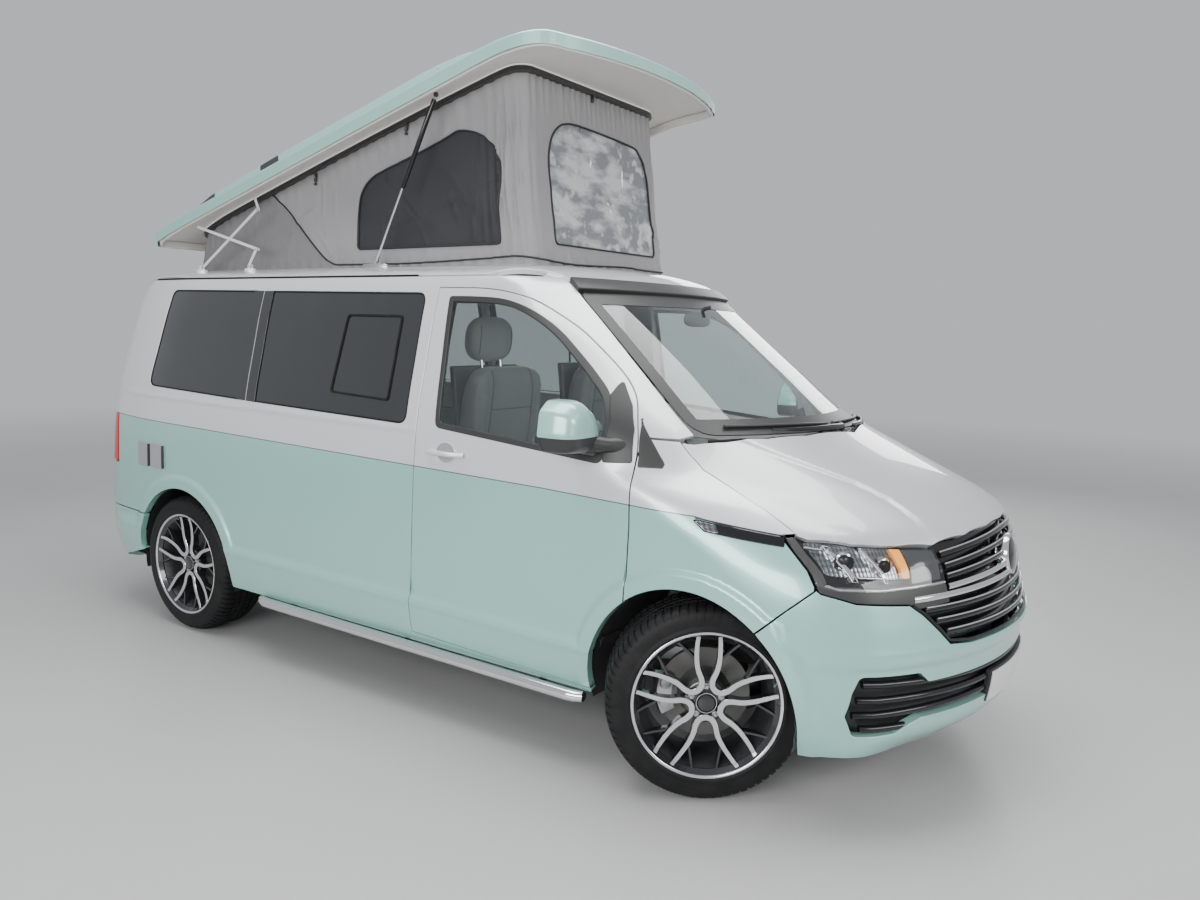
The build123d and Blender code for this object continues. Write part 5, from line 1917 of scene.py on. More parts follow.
@dataclass
class Bonnet:
    """Bonnet with its two long creases."""

    rear: tuple = ((1.772, 0.0), (1.700, 0.330), (1.620, 0.510), (1.520, 0.650), (1.440, 0.735))
    front: tuple = ((1.912, 0.800), (2.034, 0.709), (2.143, 0.594), (2.232, 0.484), (2.300, 0.330), (2.338, 0.170),
                    (2.350, 0.0))
    crease: tuple = ((0.15, 0.640), (0.40, 0.575), (0.649, 0.502), (0.829, 0.447), (0.990, 0.431), (1.128, 0.448),
                     (1.300, 0.478))

    def surface(self, w: np.ndarray, y: np.ndarray) -> np.ndarray:
        """Points at slanted distance x - z and at y, softened, with the raised middle.

        Args:
            w: Slanted distances.
            y: Places across.

        Returns:
            The points.
        """
        begin = np.stack([0.5 + w, y, 0.5 + 0 * w], -1)
        spots = BODY.soft_cast(begin, (0.7071, 0, 0.7071), (0.7071, 0, -0.7071), (0, 1, 0), 0.022)
        crease = np.interp(w, *zip(*self.crease))
        lift = 0.007 * step(crease - np.abs(y), -0.014, 0.014)
        lift -= 0.005 * step(np.abs(y), crease + 0.02, crease + 0.14)
        return spots + lift[:, None] * np.array([0.45, 0, 0.89])

    def build(self) -> None:
        """Makes the bonnet skin, spread over slanted rays."""
        plan = divided(self.rear, 0.06)
        tops = BODY.cast(np.stack([plan[:, 0], plan[:, 1], 0 * plan[:, 0] + 0.7], -1), (0, 0, 1), 0.8)
        line = [(p[0] - p[2], p[1]) for p in tops]
        run = divided(BONNET_EDGE, 0.05)
        x, y = BODY.raw(BODY.s_at_x(run[:, 0], run[:, 1]), run[:, 1])
        line += list(zip(x - run[:, 1], y))
        plan = divided(self.front, 0.05)
        tops = BODY.cast(np.stack([plan[:, 0], plan[:, 1], 0 * plan[:, 0] + 0.7], -1), (0, 0, 1), 0.8)
        line += [(p[0] - p[2], p[1]) for p in tops]
        panel = Panel("bonnet_skin", tidy_line(doubled(line)), self.surface, (), 0.012, spacing=0.030, depth=0.024,
                      dense=self.near_crease)
        finish_piece(panel.build(), "bonnet", (Finishes.silver,), ["bonnet"])

    def near_crease(self, w: np.ndarray, y: np.ndarray) -> np.ndarray:
        """Whether a place is near one of the creases."""
        crease = np.interp(w, *zip(*self.crease))
        return np.abs(np.abs(y) - crease) < 0.045


@dataclass
class RearEnd:
    """Tailgate, its window, rear bumper and tail lamps."""

    gate: tuple = ((0.775, 0.592), (0.800, 1.150), (0.700, 1.812))
    window: tuple = ((0.690, 1.262), (0.620, 1.742))

    def build(self) -> None:
        """Makes every piece of the rear end."""
        outline = end_line(both(self.gate), False, 0.05, 0.03)
        hole = end_line(both(self.window), False, 0.05, 0.06)
        panel = Panel("tailgate_skin", outline, around(False, 0.0, self.press), [hole], 0.0, 0.0, closed=True,
                      depth=0.030)
        finish_piece(panel.build(), "tailgate", (Finishes.paint, Finishes.pale_trim), ["tailgate"])
        pane = Panel("tailgate_pane", hole, around(False, -0.003), (), 0.0, gap=0.001, depth=0.003, closed=True)
        finish_piece(pane.build(), "tailgate", (Finishes.dark_glass, Finishes.dark_glass), ["tailgate_glass"])
        half = end_face_run([(0.0, 0.216), (0.70, 0.222)], False)
        half += end_side_run([(-2.10, 0.300), (-1.80, 0.386)], False)
        half += end_side_run(arch(REAR_AXLE, (-1.857, 0.386), (-1.790, 0.584), 10), False)
        half += end_side_run([(-1.790, 0.584), (-2.20, 0.584)], False)
        half += end_face_run([(0.776, 0.584), (0.0, 0.584)], False)
        panel = Panel("bumper_rear", tidy_line(both(half)), around(False, 0.0, self.shelf), (), 0.0, depth=0.030)
        finish_piece(panel.build(), "chassis", (Finishes.paint,), ["rear_bumper"])
        for side in Side:
            line = end_run([(0.802, 0.834), (0.802, 1.104)], False)
            line = side_run([(-2.124, 1.103), (-2.124, 0.834)]) + line
            lamp = Panel(f"tail_lens_{side.word}", tidy_line(line), on_body(side, 0.004, False), (), 0.012,
                         depth=0.02, hem=0.005)
            finish_piece(lamp.build(), "chassis", (Finishes.red_lens,), ["tail_lamps"])

    def press(self, u: np.ndarray, z: np.ndarray) -> np.ndarray:
        """Plate recess and the fold under the window."""
        recess = step(0.31 - np.abs(u), 0.0, 0.03) * step(z, 0.80, 0.83) * (1 - step(z, 1.02, 1.05))
        return -0.020 * recess + 0.006 * np.exp(-(((z - 1.20) / 0.03) ** 2))

    def shelf(self, u: np.ndarray, z: np.ndarray) -> np.ndarray:
        """Step of the bumper."""
        return 0.012 * step(z, 0.50, 0.54) * (np.abs(u) < 0.7)


@dataclass
class Roof:
    """Fixed roof skin round the bed opening."""

    def build(self) -> None:
        """Makes the roof skin."""
        s_front = end_run([(0.0, 1.797), (0.646, 1.797)], True)
        s_front += end_run([(0.646, 1.80), (0.646, 1.850)], True)
        s_side = side_run([(0.50, 1.851), (-1.60, 1.851)]) + end_run([(0.712, 1.851), (0.709, 1.816)], False)
        s_rear = end_run([(0.70, 1.816), (0.0, 1.816)], False)
        pts = np.array(s_front + s_side + s_rear)
        x, y = BODY.raw(pts[:, 0], pts[:, 1])
        line = [(a, max(b, 0.0)) for a, b in zip(x, y)]
        outline = tidy_line(doubled(line))

        def place(u: np.ndarray, v: np.ndarray) -> np.ndarray:
            """Points above places in plan."""
            start = np.stack([u, v, 0 * u + 1.70], -1)
            return BODY.soft_cast(start, (0, 0, 1), (1, 0, 0), (0, 1, 0), 0.010)

        hole = ((-1.45, -0.52), (0.56, -0.52), (0.56, 0.52), (-1.45, 0.52))
        panel = Panel("roof_skin", outline, place, [hole], 0.0, 0.06, spacing=0.045, closed=True, depth=0.02)
        finish_piece(panel.build(), "chassis", (Finishes.paint, Finishes.lining), ["roof_panel"])


def loft(name: str, rings: np.ndarray, wrap: bool = True, closed: bool = False, caps: bool = True,
         sharp: float = 35.0) -> bpy.types.Object:
    """Skin over rings of points.

    Args:
        name: Name of the piece.
        rings: Points as rows of equal length.
        wrap: Whether each row closes on itself.
        closed: Whether the last row meets the first.
        caps: Whether flat ends close the first and last row.
        sharp: Angle in degrees above which an edge stays sharp.

    Returns:
        The object.
    """
    spots = np.array(rings, float)
    rows, cols = spots.shape[:2]
    i, k = np.meshgrid(np.arange(rows if closed else rows - 1), np.arange(cols if wrap else cols - 1),
                       indexing="ij")
    a, b = i * cols + k, i * cols + (k + 1) % cols
    c, d = (i + 1) % rows * cols + (k + 1) % cols, (i + 1) % rows * cols + k
    faces = np.stack([a, b, c, d], -1).reshape(-1, 4).tolist()
    if caps and wrap and not closed:
        faces += [list(range(cols))[::-1], [(rows - 1) * cols + n for n in range(cols)]]
    return make(name, spots.reshape(-1, 3), faces, sharp)


def tinted(thing: bpy.types.Object, *finishes: Finish) -> bpy.types.Object:
    """Gives one part of a piece its finishes.

    Args:
        thing: The part.
        finishes: Its finishes by material index.

    Returns:
        The part.
    """
    for finish in finishes:
        thing.data.materials.append(finish.material())
    return thing


def applied(name: str, line: np.ndarray, surface: Surface, depth: float, hem: float,
            finish: Finish) -> bpy.types.Object:
    """Part in one finish that lies on a surface, with no gap round it.

    Args:
        name: Name of the part.
        line: Closed outline in the surface's own two values.
        surface: Surface that it follows.
        depth: Depth of its flange.
        hem: Radius of its rolled edge.
        finish: Its finish.

    Returns:
        The part.
    """
    return tinted(Panel(name, line, surface, (), 0.0, gap=0.0, depth=depth, hem=hem).build(), finish)


def copied(thing: bpy.types.Object, name: str) -> bpy.types.Object:
    """Copy of an object with its own mesh.

    Args:
        thing: The object.
        name: Name of the copy.

    Returns:
        The copy.
    """
    copy = thing.copy()
    copy.data = thing.data.copy()
    copy.name = copy.data.name = name
    return link(copy)


def box_of(name: str, low: Sequence[float], high: Sequence[float], bevel: float = 0.0) -> bpy.types.Object:
    """Upright box between two corners."""
    (x0, y0, z0), (x1, y1, z1) = low, high
    return prism(name, ((x0, z0), (x1, z0), (x1, z1), (x0, z1)), y0, y1, "side", bevel)


RAISED = (Matrix.Translation(POP_PIVOT) @ Matrix.Rotation(-ROOF_RAISE, 4, "Y")
          @ Matrix.Translation(-POP_PIVOT))


def raised(spots: np.ndarray) -> np.ndarray:
    """Points of the closed pop-top turned to where it stands open."""
    turn = np.array(RAISED)
    return spots @ turn[:3, :3].T + turn[:3, 3]


@dataclass
class Wheels:
    """Four wheels with tread blocks, two-coloured rims and brakes."""

    blocks: int = 72
    inner: tuple = ((0.250, -0.105), (0.262, -0.124), (0.272, -0.1265), (0.285, -0.1275), (0.310, -0.1275))
    tread: tuple = ((0.332, 0.122), (0.344, 0.112), (0.351, 0.100), (0.3545, 0.088), (0.356, 0.070),
                    (0.356, 0.0565), (0.349, 0.0555), (0.349, 0.0485), (0.356, 0.0475), (0.356, 0.0205),
                    (0.349, 0.0195), (0.349, 0.0125), (0.356, 0.0115))
    outer: tuple = ((0.310, 0.1275), (0.290, 0.1280), (0.284, 0.1285), (0.278, 0.1325), (0.272, 0.1325),
                    (0.266, 0.128), (0.262, 0.124), (0.250, 0.105))
    loop: tuple = ((0.053, 0.0), (0.060, 0.020), (0.080, 0.0335), (0.115, 0.043), (0.150, 0.060),
                   (0.190, 0.088), (0.222, 0.115))
    face: tuple = ((0.060, 0.098), (0.120, 0.101), (0.200, 0.107), (0.235, 0.113), (0.250, 0.1195))
    spokes: int = 5

    def build(self) -> None:
        """Makes every wheel from one tyre and one rim, and the calipers."""
        tyre, rim, caliper = self.tyre(), self.rim(), self.caliper()
        for front in (True, False):
            for side in Side:
                word = f"{'front' if front else 'rear'}_{side.word}"
                place = self.place(front, side)
                body = f"wheel_{word}"
                piece = moved(copied(tyre, f"road_tyre_{word}"), place)
                finish_piece(piece, body, (Finishes.tyre,), [f"tyre_{word}"])
                piece = moved(copied(rim, f"wheel_rim_{word}"), place)
                finish_piece(piece, body, (), [f"rim_{word}"])
                piece = moved(copied(caliper, f"caliper_{word}"), place)
                finish_piece(piece, f"knuckle_{side.word}" if front else "chassis", ())
        for thing in (tyre, rim, caliper):
            bpy.data.objects.remove(thing)

    def place(self, front: bool, side: Side) -> Matrix:
        """Where a wheel stands, from its own axis to the van.

        Args:
            front: Whether it is a front wheel, which is turned.
            side: Side of the van.

        Returns:
            The matrix.
        """
        turn = Matrix.Rotation(math.radians(-90.0 * side.value), 4, "X")
        if not front:
            return Matrix.Translation((REAR_AXLE, side.value * HALF_TRACK, TYRE_R)) @ turn
        out = Matrix.Translation((0.0, side.value * (HALF_TRACK - KINGPIN_Y), 0.0))
        knee = Matrix.Translation((FRONT_AXLE, side.value * KINGPIN_Y, TYRE_R))
        return knee @ Matrix.Rotation(STEER_REST, 4, "Z") @ out @ turn

    def tyre(self) -> bpy.types.Object:
        """Tyre about the Z axis, with level grooves and blocks cut on the shoulders.

        Returns:
            The tyre.
        """
        rows = np.array(self.inner + tuple((r, -h) for r, h in self.tread) + self.tread[::-1] + self.outer)
        radius, level = rows[:, 0], np.abs(rows[:, 1])
        cut = np.where((radius >= 0.344) & (level >= 0.0565), 1.0, 0.0)
        cut = np.where(radius == 0.332, 0.3, cut)
        cut = np.where((radius == 0.356) & (level > 0.02) & (level < 0.048), 0.6, cut)
        skew = 0.035 * np.clip((level - 0.056) / 0.06, 0, 1)
        rings = []
        for block in range(self.blocks):
            for share, low in ((0.0, 0.0), (0.03, 1.0), (0.27, 1.0), (0.30, 0.0), (0.65, 0.0)):
                angle = (block + share) / self.blocks * 2 * math.pi + skew
                r = radius - 0.005 * low * cut
                rings.append(np.stack([r * np.cos(angle), r * np.sin(angle), rows[:, 1]], 1))
        return loft("tyre", np.array(rings), closed=True)

    def rim(self) -> bpy.types.Object:
        """Rim about the Z axis: barrel, lip, spokes, hub and brake disc.

        Returns:
            The rim.
        """
        black = Finishes.wheel_black
        profiles = (
            (Finishes.machined, ((0.2655, 0.128), (0.2635, 0.1292), (0.260, 0.1285), (0.2565, 0.127),
                                 (0.2545, 0.1245), (0.2600, 0.118), (0.2655, 0.118))),
            (black, ((0.2560, 0.1262), (0.2440, 0.1120), (0.2385, 0.1060), (0.2385, 0.0980), (0.2600, 0.0980),
                     (0.2600, 0.1180))),
            (Finishes.barrel, ((0.2385, 0.1000), (0.2220, 0.0700), (0.2150, 0.0200), (0.2140, -0.0600),
                               (0.2360, -0.1000), (0.2550, -0.1050), (0.2550, -0.1180), (0.2660, -0.1180),
                               (0.2660, -0.1050), (0.2500, -0.1000), (0.2400, -0.0800), (0.2330, 0.0),
                               (0.2400, 0.0700), (0.2500, 0.0950))),
            (black, ((0.0005, 0.0850), (0.070, 0.0850), (0.076, 0.081), (0.080, 0.050), (0.0005, 0.050))),
            (black, ((0.0005, 0.1045), (0.020, 0.1040), (0.029, 0.1015), (0.033, 0.096), (0.034, 0.080),
                     (0.0005, 0.080))),
            (Finishes.machined, ((0.034, 0.098), (0.0345, 0.1000), (0.0365, 0.1000), (0.037, 0.096), (0.037, 0.084),
                                 (0.034, 0.084))),
            (Finishes.steel, ((0.165, -0.010), (0.165, -0.019), (0.158, -0.0195), (0.158, -0.0225),
                              (0.165, -0.023), (0.165, -0.032), (0.095, -0.032), (0.095, -0.010))),
            (Finishes.cast, ((0.098, -0.012), (0.094, -0.008), (0.080, 0.012), (0.074, 0.048), (0.0005, 0.050),
                             (0.0005, 0.030), (0.070, 0.005), (0.094, -0.030))),
        )
        parts = [tinted(lathe("turned", profile, 96), finish) for finish, profile in profiles]
        for k in range(self.spokes):
            angle = math.radians(-90.0 + 360.0 / self.spokes * k)
            parts += [moved(part, Matrix.Rotation(angle, 4, "Z")) for part in self.spoke()]
        return joined("rim", parts)

    def spoke(self) -> list[bpy.types.Object]:
        """One U-shaped loop with its thin side spokes and the bolt beside it.

        Returns:
            Its parts.
        """
        half = curve_points(self.loop, 6)
        made = [self.bar(np.concatenate([half[::-1], half[1:] * (1, -1)]), (0.011, 0.008), 0.0, Finishes.machined)]
        for sign in (-1, 1):
            line = np.linspace((0.147, sign * 0.058), (0.2466, sign * 0.0413), 5)
            made.append(self.bar(line, (0.0045, 0.0045), -0.006, Finishes.wheel_black))
        turn = math.radians(36)
        nut = lathe("bolt", ((0.0005, 0.0925), (0.0060, 0.0925), (0.0078, 0.0905), (0.0078, 0.0860),
                             (0.0115, 0.0855), (0.0115, 0.0840), (0.0005, 0.0840)), 6, 20)
        made.append(moved(tinted(nut, Finishes.satin_alloy),
                          Matrix.Translation((0.056 * math.cos(turn), 0.056 * math.sin(turn), 0.0))))
        return made

    def bar(self, line: np.ndarray, half_width: tuple, drop: float, top: Finish) -> bpy.types.Object:
        """Bar of a rim along a line, with its top in one finish and its sides black.

        Args:
            line: Middle line in the plane of the wheel.
            half_width: Half width near the hub and near the rim.
            drop: Height of its top over that of the wheel's face.
            top: Finish of its top.

        Returns:
            The bar.
        """
        way = np.gradient(line, axis=0)
        way /= np.linalg.norm(way, axis=1)[:, None]
        across = np.stack([-way[:, 1], way[:, 0]], 1)
        r = np.hypot(line[:, 0], line[:, 1])
        high = np.interp(r, *zip(*self.face)) + drop
        low = np.interp(r, (0.06, 0.20, 0.245), (0.056, 0.078, 0.094)) + drop
        width = np.interp(r, (0.05, 0.24), half_width)
        rings = []
        for share, rise in ((-1.0, None), (-1.0, -0.0018), (-0.86, 0.0), (0.86, 0.0), (1.0, -0.0018), (1.0, None)):
            spot = line + across * (width * share)[:, None]
            rings.append(np.column_stack([spot, low if rise is None else high + rise]))
        thing = loft("bar", np.array(rings).transpose(1, 0, 2), sharp=25)
        marks = [0 if abs(f.normal.z) > 0.35 and f.center.z > np.interp(
            math.hypot(f.center.x, f.center.y), *zip(*self.face)) + drop - 0.004 else 1
            for f in thing.data.polygons]
        thing.data.polygons.foreach_set("material_index", marks)
        return tinted(thing, top, Finishes.wheel_black)

    def caliper(self) -> bpy.types.Object:
        """Caliper that straddles the disc behind the axle.

        Returns:
            The caliper.
        """
        section = ((0.118, -0.055), (0.172, -0.055), (0.178, -0.048), (0.178, 0.006), (0.170, 0.015),
                   (0.118, 0.015), (0.118, -0.004), (0.169, -0.004), (0.169, -0.038), (0.118, -0.038))
        rings = [[(r * math.cos(a), r * math.sin(a), h) for r, h in section]
                 for a in np.radians(np.linspace(152, 208, 14))]
        parts = [tinted(loft("caliper", np.array(rings), sharp=30), Finishes.satin_alloy)]
        for angle in (166, 194):
            a = math.radians(angle)
            boss = lathe("piston", ((0.0005, 0.021), (0.017, 0.020), (0.020, 0.016), (0.020, 0.010), (0.0005, 0.010)),
                         24)
            parts.append(moved(tinted(boss, Finishes.satin_alloy),
                               Matrix.Translation((0.145 * math.cos(a), 0.145 * math.sin(a), 0.0))))
        return joined("caliper", parts)


@dataclass
class WheelHouses:
    """Black liners inside the arches."""

    radius: float = 0.4045
    inner: float = 0.478
    outer: float = 0.918

    def build(self) -> None:
        """Makes the four liners."""
        for front, axle in ((True, FRONT_AXLE), (False, REAR_AXLE)):
            for side in Side:
                rings = []
                for angle in np.radians(np.linspace(-12, 192, 52)):
                    ripple = 0.0015 * math.cos(angle * 40)
                    row = []
                    for y in np.linspace(self.inner, self.outer, 9):
                        r = self.radius + ripple
                        row.append((axle + r * math.cos(angle), side.value * y, TYRE_R + r * math.sin(angle)))
                    rings.append(row)
                name = f"arch_liner_{'front' if front else 'rear'}_{side.word}"
                piece = loft(name, np.array(rings), wrap=False, caps=False)
                finish_piece(piece, "chassis", (Finishes.plastic,))


@dataclass
class Mirror:
    """One door mirror with its foot and the black triangle."""

    side: Side
    outline: tuple = ((0.925, 1.208), (1.000, 1.196), (1.122, 1.206), (1.150, 1.272), (1.138, 1.352),
                      (1.090, 1.390), (1.020, 1.392), (0.956, 1.352), (0.920, 1.278))
    centre: tuple = (1.035, 1.262)

    def build(self) -> None:
        """Makes the mirror as one piece that opens with the door."""
        line = rounded(self.outline, 0.035, 0.010)
        cap_line = self.clipped(line, self.centre[1] + 0.0015)
        rows = ((1.0415, 1.0), (1.100, 1.0), (1.120, 0.98), (1.140, 0.925), (1.155, 0.85), (1.166, 0.75),
                (1.173, 0.60), (1.176, 0.40))
        parts = [tinted(self.shell(line, [(x - 0.0015, s * 0.972) for x, s in rows]), Finishes.plastic),
                 tinted(self.shell(cap_line, rows), Finishes.mint)]
        rim = [(1.046, 0.985), (1.038, 0.975), (1.036, 0.955), (1.038, 0.93), (1.050, 0.915), (1.052, 0.90)]
        parts.append(tinted(self.shell(line, rim, caps=False), Finishes.plastic))
        parts.append(tinted(self.shell(line, [(1.0500, 0.905), (1.0480, 0.900)]), Finishes.chrome))
        path = curve_points([(1.214, 0.872, 1.224), (1.184, 0.915, 1.228), (1.148, 0.955, 1.234),
                             (1.105, 0.992, 1.246)], 5)
        path[:, 1] *= self.side.value
        sizes = np.interp(np.linspace(0, 1, len(path)), (0.0, 0.35, 1.0), (1.35, 0.95, 1.15))
        parts.append(tinted(tube("foot", path, 0.038, 20, 0.80, sizes, across=(0, 0, 1)), Finishes.plastic))
        triangle = ((1.172, 1.165), (1.284, 1.172), (1.262, 1.290), (1.222, 1.370), (1.150, 1.462), (1.140, 1.405),
                    (1.176, 1.316))
        parts.append(applied("triangle", side_line(triangle, 0.010), on_body(self.side, 0.0060, False), 0.006,
                             0.003, Finishes.plastic))
        word = self.side.word
        finish_piece(joined(f"door_mirror_{word}", parts), f"front_door_{word}", (), [f"mirror_{word}"])

    def clipped(self, line: np.ndarray, level: float) -> np.ndarray:
        """Part of a closed line above a level, closed along it.

        Args:
            line: Corners in order.
            level: Height of the cut.

        Returns:
            The part that is left.
        """
        kept = []
        for here, then in zip(line, np.roll(line, -1, 0)):
            if here[1] >= level:
                kept.append(here)
            if (here[1] >= level) != (then[1] >= level):
                t = (level - here[1]) / (then[1] - here[1])
                kept.append(here + (then - here) * t)
        return np.array(kept)

    def shell(self, line: np.ndarray, rows: Points, caps: bool = True) -> bpy.types.Object:
        """Skin over scaled copies of the outline.

        Args:
            line: Outline in y and z.
            rows: x and scale of each copy.
            caps: Whether the ends are closed.

        Returns:
            The object.
        """
        middle = np.array(self.centre)
        rings = []
        for x, scale in rows:
            spot = middle + (line - middle) * scale
            rings.append(np.column_stack([np.full(len(spot), x), self.side.value * spot[:, 0], spot[:, 1]]))
        return loft("shell", np.array(rings), caps=caps, sharp=40)


@dataclass
class PopTop:
    """Raised roof shell with its edge, strakes, lining and the rail of the tent."""

    plan: tuple = ((0.958, 0.0), (0.945, 0.25), (0.905, 0.48), (0.862, 0.62), (0.825, 0.705), (0.74, 0.742),
                   (0.60, 0.745), (-1.92, 0.745), (-1.99, 0.70), (-1.99, 0.0))
    ridge: tuple = ((-1.990, 1.985), (-1.565, 2.034), (-0.532, 2.052), (0.520, 2.021), (0.848, 1.962),
                    (0.965, 1.916))
    arch: tuple = ((0.0, 2.055), (0.300, 2.050), (0.600, 2.032), (0.745, 2.004))
    strake_top: tuple = ((-1.733, 2.052), (-1.50, 2.084), (-0.90, 2.094), (0.10, 2.094), (0.24, 2.088),
                         (0.36, 2.076), (0.45, 2.056))
    strake_y: float = 0.62

    def top(self, x: np.ndarray, y: np.ndarray) -> np.ndarray:
        """Height of the closed shell's skin at places in plan.

        Args:
            x: Length positions.
            y: Places across.

        Returns:
            The heights.
        """
        along = sum(np.interp(x + o, *zip(*self.ridge)) for o in np.linspace(-0.10, 0.10, 7)) / 7
        across = sum(np.interp(np.abs(y) + o, *zip(*self.arch)) for o in np.linspace(-0.05, 0.05, 5)) / 5
        return 0.5 * (along + across - np.sqrt((along - across) ** 2 + 0.012**2))

    def skin(self, drop: float = 0.0) -> Surface:
        """Surface of the raised shell, lowered by an amount.

        Args:
            drop: How far it is lowered.

        Returns:
            Function from places in plan to points.
        """

        def place(u: np.ndarray, v: np.ndarray) -> np.ndarray:
            """Raised points above places in plan."""
            field = 0.006 * step(0.50 - np.abs(v), 0.0, 0.05) * step(0.62 - u, 0.0, 0.08) * step(u + 1.74, 0.0, 0.08)
            return raised(np.stack([u, v, self.top(u, v) - drop - (field if drop == 0.0 else 0.0)], -1))

        return place

    def build(self) -> None:
        """Makes the shell's pieces."""
        half = [*map(tuple, curve_points(self.plan[:7], 4)), *self.plan[7:]]
        plan = doubled(half)
        shell = Panel("pop_top_skin", plan, self.skin(), (), 0.03, spacing=0.035, hem=0.011, depth=0.044, edge=1,
                      gap=0.0, dense=self.near_field)
        finish_piece(shell.build(), "pop_top", (Finishes.mint, Finishes.mint), ["pop_top_shell"])
        lip = Panel("pop_top_lip", shrink(plan, 0.014), self.skin(0.024), [shrink(plan, 0.030)], 0.026, 0.02,
                    spacing=0.05, hem=0.003, depth=0.034, gap=0.0, closed=True)
        finish_piece(lip.build(), "pop_top", (Finishes.lining, Finishes.lining))
        lining = Panel("pop_top_lining", shrink(plan, 0.020), self.skin(0.014), (), 0.02, spacing=0.06, depth=0.006,
                       gap=0.0, closed=True)
        finish_piece(lining.build(), "pop_top", (Finishes.lining, Finishes.lining))
        for side in Side:
            self.strake(side)
        self.rail()

    def near_field(self, u: np.ndarray, v: np.ndarray) -> np.ndarray:
        """Whether a place is near the edge of the lowered middle.

        Args:
            u: Length positions.
            v: Places across.

        Returns:
            A flag for each place.
        """
        side = (np.abs(np.abs(v) - 0.475) < 0.045) & (u > -1.80) & (u < 0.66)
        end = (np.abs(v) < 0.52) & ((np.abs(u - 0.58) < 0.06) | (np.abs(u + 1.70) < 0.06))
        return side | end

    def strake(self, side: Side) -> None:
        """Makes one of the two ribs along the shell, with its black ends and insert.

        Args:
            side: Side of the van.
        """
        parts = []
        for start, end, finish in ((-1.733, -1.475, Finishes.plastic), (-1.473, -1.070, Finishes.mint),
                                   (-1.068, -0.920, Finishes.plastic), (-0.918, 0.203, Finishes.mint),
                                   (0.206, 0.450, Finishes.mint)):
            x = np.linspace(start, end, max(int((end - start) / 0.03), 6))
            base = self.top(x, self.strake_y + 0 * x) - 0.012
            high = np.interp(x, *zip(*self.strake_top))
            rings = []
            for out, z in ((-0.031, base), (-0.027, high - 0.012), (-0.023, high - 0.004), (-0.016, high),
                           (0.016, high), (0.023, high - 0.004), (0.027, high - 0.012), (0.031, base)):
                y = side.value * (self.strake_y + out)
                rings.append(raised(np.stack([x, y + 0 * x, z], -1)))
            thing = loft("strake", np.array(rings).transpose(1, 0, 2), sharp=50)
            round_edges(thing, 0.0015, 1)
            parts.append(tinted(thing, finish))
        finish_piece(joined(f"roof_strake_{side.word}", parts), "pop_top", ())

    def rail(self) -> None:
        """Makes the black rail that holds the tent, and the pale line above it, which glows faintly as a painted
        highlight.
        """
        loop = rounded(((-1.81, -0.545), (0.565, -0.545), (0.565, 0.545), (-1.81, 0.545)), 0.09, 0.05)
        way = np.roll(loop, -1, 0) - np.roll(loop, 1, 0)
        out = np.stack([way[:, 1], -way[:, 0]], 1)
        out /= np.linalg.norm(out, axis=1)[:, None]
        high = self.top(loop[:, 0], loop[:, 1])
        parts = []
        # The first section is the pale line, which glows faintly as a painted highlight.
        for finish, section in ((Finishes.glowing_highlight_line, ((-0.006, -0.034), (0.005, -0.034), (0.007, -0.031),
                                                        (0.005, -0.027), (-0.006, -0.027))),
                                (Finishes.plastic, ((-0.010, -0.062), (0.006, -0.062), (0.010, -0.058),
                                                    (0.010, -0.040), (0.006, -0.035), (-0.010, -0.022)))):
            rings = [np.column_stack([loop + out * a, high + b]) for a, b in section]
            spots = raised(np.array(rings).transpose(1, 0, 2).reshape(-1, 3))
            parts.append(tinted(loft("rail", spots.reshape(len(loop), len(section), 3), closed=True), finish))
        finish_piece(joined("tent_rail", parts), "pop_top", ())


